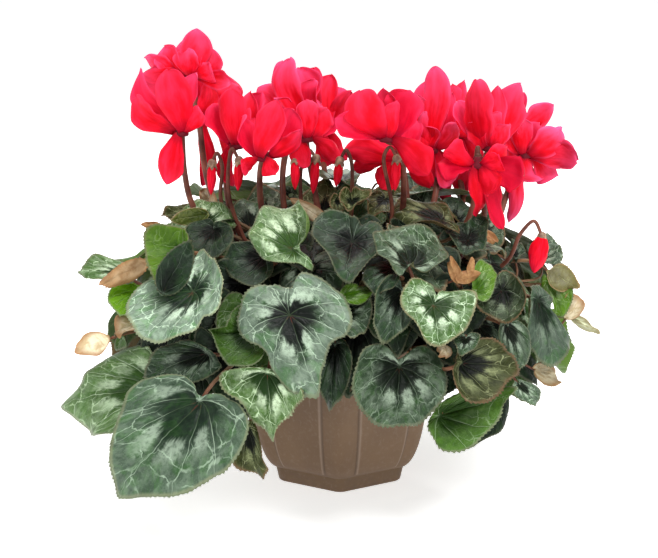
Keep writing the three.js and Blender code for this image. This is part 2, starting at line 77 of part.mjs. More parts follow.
// Flowers: name, mouth, petals [tip x,y,z, width, turn, bow, twist, place round the mouth], two points that the stalk passes.
const FLOWERS = [
  ["flower_01",[-126.1,-40.0,295.7],[[-135.1,-55.0,346.5,36.4,-21,8.0,10,302],[-159.7,-49.0,324.3,28.9,21,6.0,15,195],[-159.4,-16.0,344.1,26.4,-10,5.0,-10,118],[-116.7,-28.0,341.9,25.0,60,5.0,10,51],[-135.7,-48.0,255.4,23.6,13,4.0,8,253]],[[-118.3,-27.0,232.4],[-124.6,-31.0,260.0]]],
  ["flower_02",[-123.2,24.0,334.3],[[-117.5,24.0,372.7,30.2,-6,5.0,10,279],[-146.3,28.0,358.6,27.4,33,5.0,0,204],[-104.3,30.0,355.2,25.0,-38,5.0,0,341],[-134.4,51.0,362.1,27.1,-17,5.0,10,121],[-110.9,51.0,360.4,26.8,14,5.0,0,63]],[[-106.3,8.2,237.2],[-118.2,33.0,295.1]]],
  ["flower_03",[-115.5,42.0,299.1],[[-85.2,36.0,324.9,30.7,-12,5.0,10,294],[-99.5,51.0,335.3,28.9,26,5.0,0,13],[-118.8,60.0,339.6,27.6,-20,5.0,10,120],[-130.1,51.0,326.9,22.8,-16,5.0,0,176],[-100.9,66.0,311.8,27.9,31,5.0,0,64]],[[-105.5,18.1,231.3],[-113.4,51.0,269.0]]],
  ["flower_04",[-84.5,-12.0,281.7],[[-86.5,-21.0,328.6,32.0,1,7.0,10,269],[-63.2,-6.0,323.2,33.4,33,6.0,-10,27],[-103.1,-6.0,314.3,31.6,-35,6.0,10,155],[-69.1,-24.0,302.6,13.0,-16,4.0,25,327],[-90.1,-9.0,249.2,24.1,30,4.0,8,216]],[[-90.2,-11.6,229.7],[-90.9,-3.0,276.4]]],
  ["flower_05",[-60.7,-56.0,278.1],[[-49.7,-68.0,323.1,36.6,17,7.0,10,244],[-36.3,-52.0,314.4,30.4,31,6.0,-10,39],[-31.5,-60.0,299.8,23.3,-19,5.0,0,349],[-76.4,-48.0,309.3,31.0,-33,6.0,10,167],[-51.2,-62.0,264.8,21.3,-10,3.5,10,291]],[[-62.8,-35.8,232.4],[-62.7,-47.0,270.4]]],
  ["flower_06",[-33.8,12.0,298.4],[[-42.4,8.0,350.2,29.0,-2,7.0,10,273],[-67.6,18.0,324.9,24.3,19,6.0,0,208],[-24.7,21.0,332.9,29.9,36,6.0,0,24],[-50.0,39.0,344.6,28.1,-22,6.0,0,131],[-33.3,42.0,341.0,28.3,8,6.0,0,77]],[[-46.3,1.6,229.9],[-44.9,21.0,273.1]]],
  ["flower_07",[-16.7,50.0,286.2],[[-20.8,47.0,339.8,31.9,25,7.0,10,232],[-7.3,58.0,333.0,22.1,-6,6.0,0,301],[10.4,44.0,319.1,23.8,-22,5.0,20,348],[-33.8,62.0,324.2,28.6,-33,5.0,0,138],[-2.9,77.0,322.8,26.5,11,6.0,0,74]],[[-9.8,22.5,226.2],[-15.0,59.0,267.9]]],
  ["flower_08",[-27.4,-26.0,289.2],[[-27.2,-32.0,320.2,24.4,-11,5.0,0,286],[-44.2,-23.0,309.7,26.2,-33,5.0,0,174],[-11.4,-23.0,312.9,23.3,-19,5.0,0,351],[-2.6,-17.0,301.0,21.5,22,5.0,0,67],[-29.9,-26.0,265.7,20.5,22,3.5,8,236]],[[-18.0,-19.3,229.4],[-24.4,-17.0,266.0]]],
  ["flower_09",[36.1,-62.0,293.8],[[14.7,-74.0,332.1,39.0,23,8.0,12,235],[33.9,-50.0,331.4,26.3,8,6.0,0,93],[54.6,-56.0,329.6,34.1,35,6.0,-10,4],[68.3,-74.0,267.4,35.6,-26,10.0,15,312],[-3.6,-65.0,309.7,24.9,-22,5.0,15,179]],[[50.3,-39.1,237.0],[44.3,-53.0,287.1]]],
  ["flower_10",[47.8,-16.0,271.6],[[3.1,-19.0,278.5,27.0,22,5.0,0,249],[9.7,-13.0,263.0,23.7,40,4.0,0,201],[27.9,2.0,297.1,28.4,-24,5.0,0,127],[58.9,2.0,302.0,27.3,18,5.0,0,63],[65.6,-4.0,264.1,29.9,36,5.0,0,11]],[[54.0,-13.8,228.4],[51.6,-7.0,260.4]]],
  ["flower_11",[76.9,8.0,275.7],[[77.1,2.0,344.2,26.6,12,7.0,10,251],[62.5,11.0,320.7,22.8,16,6.0,0,187],[90.8,16.0,321.8,31.0,33,6.0,0,5],[75.4,35.0,330.0,26.0,-3,6.0,0,95],[81.0,11.0,240.9,21.1,-18,3.5,0,304]],[[77.0,-0.6,230.3],[81.0,17.0,265.2]]],
  ["flower_12",[100.2,50.0,279.4],[[94.9,47.0,325.6,24.8,14,6.0,10,248],[110.9,54.0,318.1,23.3,-19,5.0,0,315],[87.5,59.0,314.3,26.2,-33,5.0,0,153],[106.1,77.0,319.4,28.9,26,5.0,0,48],[93.4,74.0,292.0,24.0,4,5.0,0,101]],[[101.6,22.5,217.7],[103.3,59.0,250.5]]],
  ["flower_13",[119.6,-24.0,281.6],[[108.4,-36.0,337.1,37.8,26,8.0,12,227],[127.6,-21.0,330.2,22.0,-2,6.0,0,293],[140.6,-18.0,333.1,27.1,-22,6.0,-10,351],[95.8,-12.0,318.1,31.0,-33,6.0,0,139],[136.6,-3.0,310.7,28.4,24,6.0,0,70]],[[104.6,-18.2,220.9],[112.3,-15.0,253.4]]],
  ["flower_14",[141.8,34.0,282.3],[[177.9,34.0,310.1,24.9,-22,5.0,12,328],[169.7,37.0,291.2,22.0,0,5.0,0,281],[156.0,48.0,318.7,24.0,-2,5.0,0,93],[136.3,52.0,313.3,27.6,-30,5.0,0,151],[163.4,61.0,300.4,29.9,36,5.0,0,45]],[[124.5,13.7,210.8],[134.0,43.0,261.5]]],
  ["flower_15",[151.9,6.0,271.8],[[181.2,3.0,295.3,30.2,-16,7.0,10,295],[196.0,2.0,269.0,31.8,-24,7.0,-10,344],[180.0,12.0,251.7,31.0,33,6.0,0,33],[167.7,18.0,295.2,26.5,-12,6.0,0,108],[165.0,12.0,250.9,23.8,22,4.0,0,246]],[[126.2,-1.7,209.4],[142.2,15.0,244.5]]],
  ["flower_16",[106.6,-68.0,274.3],[[81.0,-80.0,263.7,36.7,-26,7.0,-10,178],[129.2,-71.0,287.2,26.9,-15,6.0,0,304],[141.4,-77.0,266.3,41.2,-26,8.0,10,352],[126.9,-65.0,222.4,24.9,28,4.0,10,40],[108.3,-68.0,232.5,24.0,24,4.0,0,242]],[[112.7,-42.4,221.3],[112.0,-59.0,248.5]]],
];

// Buds: calyx, tip, points that the stalk passes.
const BUDS = [
  [[-103.1,-26.0,269.0],[-104.3,-27.0,243.1],[[-95.9,-22.8,234.2],[-95.2,-25.0,267.2],[-99.0,-26.0,277.1]]],
  [[-80.9,-34.0,272.6],[-82.0,-35.0,247.7],[[-88.1,-29.2,235.3],[-88.9,-33.0,272.4],[-86.3,-34.0,281.4]]],
  [[-36.3,-26.0,273.0],[-36.4,-27.0,247.2],[[-45.5,-22.8,235.0],[-43.6,-25.0,272.9],[-40.3,-26.0,281.1]]],
  [[-19.5,-20.0,272.2],[-22.0,-21.0,242.9],[[-31.8,-18.0,237.5],[-30.9,-19.0,266.3],[-25.1,-20.0,278.7]]],
  [[-0.1,-24.0,271.1],[-3.3,-25.0,249.3],[[9.7,-21.2,242.1],[8.7,-23.0,271.0],[4.7,-24.0,279.2]]],
  [[44.5,-52.0,276.7],[43.1,-53.0,250.6],[[41.3,-43.6,229.7],[34.3,-51.0,278.2],[38.9,-52.0,285.4]]],
  [[154.1,-95.0,222.7],[148.7,-96.0,193.9],[[129.2,-78.0,198.7],[138.1,-94.0,224.9],[147.6,-95.0,234.4]]],
];

const v3 = (a) => new THREE.Vector3(a[0], a[1], a[2]);

// A closed geometry as a solid.
function solid(geometry) {
  const g = geometry.clone();
  for (const name of Object.keys(g.attributes)) if (name !== 'position') g.deleteAttribute(name);
  const m = mergeVertices(g, 1e-3);
  const tri = [];
  const ix = m.index.array;
  for (let i = 0; i < ix.length; i += 3)
    if (ix[i] !== ix[i + 1] && ix[i + 1] !== ix[i + 2] && ix[i] !== ix[i + 2]) tri.push(ix[i], ix[i + 1], ix[i + 2]);
  const s = new wasm.Manifold(new wasm.Mesh({ numProp: 3, vertProperties: m.attributes.position.array, triVerts: new Uint32Array(tri) }));
  if (s.volume() < 0) {
    for (let i = 0; i < tri.length; i += 3) [tri[i + 1], tri[i + 2]] = [tri[i + 2], tri[i + 1]];
    return new wasm.Manifold(new wasm.Mesh({ numProp: 3, vertProperties: m.attributes.position.array, triVerts: new Uint32Array(tri) }));
  }
  return s;
}

function geometryOf(s) {
  const mesh = s.getMesh();
  const n = mesh.numProp;
  const pos = new Float32Array((mesh.vertProperties.length / n) * 3);
  for (let i = 0; i < pos.length / 3; i++) for (let k = 0; k < 3; k++) pos[3 * i + k] = mesh.vertProperties[n * i + k];
  const g = new THREE.BufferGeometry();
  g.setAttribute('position', new THREE.BufferAttribute(pos, 3));
  g.setIndex(new THREE.BufferAttribute(new Uint32Array(mesh.triVerts), 1));
  g.computeVertexNormals();
  return g;
}

const largest = (s) => s.decompose().reduce((a, b) => (Math.abs(b.volume()) > Math.abs(a.volume()) ? b : a));
const clash = (a, b) => {
  const p = a.boundingBox(), q = b.boundingBox();
  return [0, 1, 2].every((k) => p.min[k] <= q.max[k] && q.min[k] <= p.max[k]);
};

// A leaf blade: a flattened sphere whose rim follows the outline and whose two halves are the faces.
function blade(row, thick, grow = 0) {
  const [, a, t, r, l, [bend, droop, cup, wave, waves, phase], out] = row;
  const A = v3(a), eT = v3(t), eR = v3(r), eL = v3(l);
  const n = new THREE.Vector3().crossVectors(eT, eR.clone().sub(eL)).normalize();
  const half = eR.clone().sub(eL).multiplyScalar(0.5), fold = eR.clone().add(eL).multiplyScalar(0.5);
  const N = out.length / 2, RINGS = 4, cx = 0.05;
  const size = eT.length();
  const g = new THREE.SphereGeometry(1, N, RINGS);
  const p = g.attributes.position;
  const cols = N + 1;
  for (let i = 0; i < p.count; i++) {
    const row_ = Math.floor(i / cols), col = (i % cols) % N;
    const lat = (Math.PI * row_) / RINGS;
    const rho0 = Math.sin(lat) < 1e-6 ? 0 : Math.sin(lat);
    const side = Math.cos(lat);
    const rho = rho0 * (1 + grow / (0.8 * size));
    const ox = out[2 * col], oy = out[2 * col + 1];
    const x = cx + (ox - cx) * rho, y = oy * rho;
    const sm = Math.sqrt(y * y + 0.03) - Math.sqrt(0.03);
    let h = bend * -(x * (x - 1)) - droop * 4 * Math.max(x - 0.5, 0) ** 2;
    h += cup * rho * rho + wave * Math.sin(waves * Math.atan2(oy, ox - cx) + phase) * rho ** 3;
    h += side * thick * 0.5 * (rho0 > 0.9 ? 0 : 1) + (rho0 > 0.9 ? 0 : 0);
    const q = A.clone().addScaledVector(eT, x).addScaledVector(half, y).addScaledVector(fold, sm).addScaledVector(n, h);
    p.setXYZ(i, q.x, q.y, q.z);
  }
  // The squares of the lower side are split along the same diagonals as those of the upper side.
  const index = Array.from(g.index.array), at = (i, j) => i * cols + j;
  const low = (RINGS / 2) * 2 * N - N; // the top fan, then two triangles for each square above the rim
  for (let j = 0; j < N; j++) {
    const i = RINGS / 2, k = 3 * (low + 2 * j);
    index.splice(k, 6, at(i, j + 1), at(i, j), at(i + 1, j), at(i, j + 1), at(i + 1, j), at(i + 1, j + 1));
  }
  g.setIndex(index);
  return solid(g);
}

// A petal: a box bent along its length, narrow at the mouth, broad near the tip.
const PETAL_W = [[0, 0.14], [0.08, 0.24], [0.22, 0.52], [0.4, 0.84], [0.58, 1], [0.74, 0.94], [0.88, 0.72], [0.96, 0.45], [1, 0.22]];
function petalWidth(u) {
  for (let i = 1; i < PETAL_W.length; i++)
    if (u <= PETAL_W[i][0]) {
      const [a, b] = PETAL_W[i - 1], [c, d] = PETAL_W[i];
      return b + ((u - a) / (c - a)) * (d - b);
    }
  return PETAL_W.at(-1)[1];
}
const FRONT = new THREE.Vector3(0, -0.97, 0.243);
const MOUTH_R = 4.4;
function petal(mouth, spec, thick, grow = 0) {
  const [tx, ty, tz, width, turn, bow, twist, place] = spec;
  const c = THREE.MathUtils.degToRad(place);
  const out = new THREE.Vector3(Math.cos(c), Math.sin(c), 0);
  const M = v3(mouth).addScaledVector(out, MOUTH_R), T = new THREE.Vector3(tx, ty, tz);
  const eT = T.clone().sub(M), a = eT.clone().normalize();
  const lat = new THREE.Vector3().crossVectors(a, FRONT).normalize();
  const nn = new THREE.Vector3().crossVectors(lat, a);
  const g = new THREE.BoxGeometry(1, 1, 1, 2, 3, 1);
  const p = g.attributes.position;
  for (let i = 0; i < p.count; i++) {
    const v = p.getX(i) * 2, u0 = p.getY(i) + 0.5, k = p.getZ(i) * 2;
    const u = 1 - (1 - u0) ** 1.4;
    const th = THREE.MathUtils.degToRad(turn + twist * (u - 0.2));
    const l = lat.clone().multiplyScalar(Math.cos(th)).addScaledVector(nn, Math.sin(th));
    const n = new THREE.Vector3().crossVectors(l, a);
    if (n.dot(out) < 0) n.negate();
    const w = (width / 2) * petalWidth(u) + grow;
    const q = M.clone().addScaledVector(eT, u + (grow * (u0 - 0.5) * 2) / eT.length())
      .addScaledVector(out, bow * 2.4 * Math.pow(Math.max(u, 0), 0.7) * Math.pow(1 - u, 1.3))
      .addScaledVector(n, -0.22 * (width / 2) * petalWidth(u) * v * v + (k * thick) / 2)
      .addScaledVector(l, v * w);
    p.setXYZ(i, q.x, q.y, q.z);
  }
  return solid(g);
}

// A stem: a small polygon drawn along a curve, with its sections spread evenly over the points of the curve.
class StemCurve extends THREE.CatmullRomCurve3 {
  getUtoTmapping(u) {
    return u;
  }
}
function stem(path, radius, steps, longer = 0, sides = 4) {
  const points = path.slice();
  if (longer) {
    const end = points.at(-1);
    points[points.length - 1] = end.clone().add(end.clone().sub(points.at(-2)).setLength(longer));
  }
  const shape = new THREE.Shape();
  for (let i = 0; i < sides; i++) {
    const a = (2 * Math.PI * (i + 0.5)) / sides;
    shape[i ? 'lineTo' : 'moveTo'](radius * Math.cos(a), radius * Math.sin(a));
  }
  shape.closePath();
  const curve = new StemCurve(points, false, 'centripetal');
  return solid(new THREE.ExtrudeGeometry(shape, { steps, extrudePath: curve }));
}

function ellipsoid(centre, rx, ry, rz, w = 8, h = 5, axis = null) {
  const g = new THREE.SphereGeometry(1, w, h).rotateX(Math.PI / 2).scale(rx, ry, rz);
  if (axis) g.applyQuaternion(new THREE.Quaternion().setFromUnitVectors(new THREE.Vector3(0, 0, 1), axis));
  return solid(g.translate(centre.x, centre.y, centre.z));
}

// Pot: a six-sided turned profile, with the flat panels standing proud of its faces.
const hexagon = (points, grow = 0) => {
  const pts = points.map(([r, z]) => new THREE.Vector2(Math.max(r + (r > 0 ? grow : 0), 0), z));
  return new THREE.LatheGeometry(pts, 6).rotateX(Math.PI / 2);
};
const closed = (outer, inner) => [...outer, ...inner.slice().reverse(), outer[0]];
const innerProfile = POT_PROFILE.map(([r, z]) => [r - POT_WALL / Math.cos(Math.PI / 6), Math.max(z, POT_FLOOR)]);
const body = solid(hexagon([[0, 0], ...POT_PROFILE, [POT_PROFILE.at(-1)[0] - 6, POT_H], ...innerProfile.filter(([, z]) => z <= 108 && z > POT_FLOOR).reverse(), [innerProfile[0][0] + 0.5, POT_FLOOR], [0, POT_FLOOR]]));
const panelRing = solid(hexagon([[0, 15.5], ...POT_PROFILE.filter(([, z]) => z > 14 && z < 110).map(([r, z]) => [r + PANEL_RISE / Math.cos(Math.PI / 6), z]), [0, 108]]));
let panels = null;
for (let i = 0; i < 6; i++) {
  const a = ((i + 0.5) * Math.PI) / 3 - Math.PI / 2;
  const wedge = new THREE.Shape([new THREE.Vector2(60, -18), new THREE.Vector2(100, -30), new THREE.Vector2(100, 30), new THREE.Vector2(60, 18)]);
  const cut = solid(new THREE.ExtrudeGeometry(wedge, { depth: 90, bevelEnabled: false }).translate(0, 0, 17).rotateZ(a));
  const one = panelRing.intersect(cut);
  panels = panels ? panels.add(one) : one;
}
const cavity = solid(hexagon([[0, POT_FLOOR], [innerProfile[0][0] + 0.5, POT_FLOOR], ...innerProfile.filter(([, z]) => z <= 108 && z > POT_FLOOR), [87, POT_H + 2], [0, POT_H + 2]]));
let pot = body.add(panels).subtract(cavity);
for (let i = 0; i < 4; i++) {
  const a = (i * Math.PI) / 2;
  pot = pot.subtract(solid(new THREE.CylinderGeometry(5, 5, 12, 6).rotateX(Math.PI / 2).translate(38 * Math.cos(a), 38 * Math.sin(a), 2)));
}

// Tuber, leaf stalks, flower stalks and buds grow as one.
const up = (z) => new THREE.Vector3(0, 0, z);
function petiolePath(row, i) {
  const start = 12 + 13 * THREE.MathUtils.clamp((250 - row[1][2]) / 140, 0, 1) + (i % 3);
  const A = v3(row[1]), eT = v3(row[2]), eR = v3(row[3]), eL = v3(row[4]);
  const n = new THREE.Vector3().crossVectors(eT, eR.clone().sub(eL)).normalize();
  const end = A.clone().addScaledVector(n, -2.2);
  const r = Math.hypot(end.x, end.y), ux = end.x / r, uy = end.y / r;
  const before = end.clone().addScaledVector(n, -12).addScaledVector(eT.clone().normalize(), -10);
  before.z = Math.max(before.z, r > 70 ? 132 : before.z);
  const s = new THREE.Vector3(ux * start, uy * start, TUBER.z + 7);
  const mid = new THREE.Vector3(ux * r * 0.42, uy * r * 0.42, Math.max(TUBER.z + 30, TUBER.z + 14 + 0.55 * (end.z - TUBER.z)));
  return [s, mid, before, end];
}
function stalkPath(row) {
  const [, m, , [lo, hi]] = row;
  const M = v3(m), low = v3(lo), high = v3(hi);
  const r = Math.hypot(low.x, low.y) || 1;
  const s = new THREE.Vector3((low.x / r) * Math.min(11, r * 0.12), (low.y / r) * Math.min(11, r * 0.12), TUBER.z + 9);
  const bend = new THREE.Vector3(low.x * 0.55, low.y * 0.55, TUBER.z + 42);
  return [s, bend, low, high, M.clone().add(new THREE.Vector3(0, 10.5, 2)), M.clone().add(new THREE.Vector3(0, 10, 17)), M.clone().add(new THREE.Vector3(0, 4.5, 25)), M.clone().add(new THREE.Vector3(0, 0, 20)), M.clone().add(new THREE.Vector3(0, 0, 11.5))];
}
function budPath(row) {
  const [c, , [lo, hi, hook]] = row;
  const C = v3(c), low = v3(lo), high = v3(hi), H = v3(hook);
  const r = Math.hypot(low.x, low.y) || 1;
  const s = new THREE.Vector3((low.x / r) * Math.min(11, r * 0.12), (low.y / r) * Math.min(11, r * 0.12), TUBER.z + 9);
  const bend = new THREE.Vector3(low.x * 0.55, low.y * 0.55, Math.min(TUBER.z + 42, low.z - 20));
  return [s, bend, low, high, H, C];
}
function growth(extra) {
  let s = ellipsoid(up(TUBER.z), TUBER.r + extra, TUBER.r + extra, TUBER.h + extra, 12, 6);
  const parts = [s];
  LEAVES.forEach((row, i) => parts.push(stem(petiolePath(row, i), PETIOLE_R * 1.3 + extra * 2, 5, extra, 3)));
  for (const row of FLOWERS) parts.push(stem(stalkPath(row), STALK_R * 1.05 + extra * 1.42, 11, extra));
  for (const row of BUDS) {
    parts.push(stem(budPath(row), STALK_R * 0.85 + extra * 1.42, 8));
    const C = v3(row[0]), T = v3(row[1]);
    const axis = T.clone().sub(C), len = axis.length();
    parts.push(ellipsoid(C.clone().lerp(T, 0.5), 5.2 + extra, 5.2 + extra, len * 0.52 + extra, 6, 4, axis.normalize()));
  }
  return wasm.Manifold.union ? wasm.Manifold.union(parts) : parts.reduce((a, b) => a.add(b));
}
const crown = largest(growth(0));
const crownRoom = growth(GAP);

// Soil fills the pot, and the tuber sits half in it.
const soilProfile = [[0, POT_FLOOR + 0.4], ...innerProfile.filter(([, z]) => z > POT_FLOOR && z < 106).map(([r, z]) => [r - 0.5, z + 0.2])];
soilProfile.splice(1, 0, [innerProfile[0][0] - 0.2, POT_FLOOR + 0.4]);
const soil = largest(solid(hexagon([...soilProfile, [innerProfile[7][0] - 1.5, SOIL_TOP - 4], [56, SOIL_TOP - 1], [0, SOIL_TOP]])).subtract(crownRoom));

const group = new THREE.Group();
const addMesh = (name, s, color, roughness) => {
  const m = new THREE.Mesh(geometryOf(s), material(color, roughness));
  m.name = name;
  group.add(m);
};
addMesh('pot', pot, COLOURS.pot, 0.55);
addMesh('soil', soil, COLOURS.soil, 0.95);
addMesh('tuber_and_stems', crown, COLOURS.stems, 0.5);

// Each blade is trimmed clear of the stems and of the blades that lie over it.
const placed = [];
for (const row of LEAVES) {
  let s = blade(row, BLADE_T);
  if (clash(s, crownRoom)) s = s.subtract(crownRoom).subtract(crown);
  for (const room of placed) if (clash(s, room)) s = s.subtract(room);
  addMesh(row[0], largest(s), COLOURS.leaf, 0.45);
  placed.push(blade(row, BLADE_T + 2 * GAP + 0.5, GAP));
}

// Each flower is five petals that join in a short tube round the mouth.
function flower(row, extra) {
  const [, m, petals] = row;
  const M = v3(m);
  const parts = [ellipsoid(M.clone().add(up(4)), 5.2 + extra, 5.2 + extra, 6.5 + extra, 5, 3)];
  for (const p of petals) parts.push(petal(m, p, PETAL_T + 2 * extra, extra));
  return parts.reduce((a, b) => a.add(b));
}
for (const row of FLOWERS) {
  let s = flower(row, 0);
  if (clash(s, crownRoom)) s = s.subtract(crownRoom).subtract(crown);
  for (const room of placed) if (clash(s, room)) s = s.subtract(room);
  addMesh(row[0], largest(s), COLOURS.petal, 0.5);
  placed.push(flower(row, GAP));
}

export default group;
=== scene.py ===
"""Potted cyclamen: leaves, flowers, buds, stems, tuber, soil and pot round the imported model."""
import math

import bpy
import numpy as np
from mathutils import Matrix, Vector


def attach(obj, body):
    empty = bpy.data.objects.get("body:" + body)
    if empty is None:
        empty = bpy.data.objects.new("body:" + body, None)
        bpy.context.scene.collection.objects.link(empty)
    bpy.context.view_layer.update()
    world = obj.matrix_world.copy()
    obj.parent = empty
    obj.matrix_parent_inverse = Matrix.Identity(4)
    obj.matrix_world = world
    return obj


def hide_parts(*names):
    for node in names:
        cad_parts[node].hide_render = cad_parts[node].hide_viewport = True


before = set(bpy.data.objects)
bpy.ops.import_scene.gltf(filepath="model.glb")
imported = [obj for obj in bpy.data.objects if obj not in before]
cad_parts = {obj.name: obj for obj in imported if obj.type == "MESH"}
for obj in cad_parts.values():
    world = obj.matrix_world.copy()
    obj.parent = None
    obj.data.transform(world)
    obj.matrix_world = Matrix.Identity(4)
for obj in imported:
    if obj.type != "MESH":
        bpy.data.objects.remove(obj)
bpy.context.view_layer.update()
rng = np.random.default_rng(11)

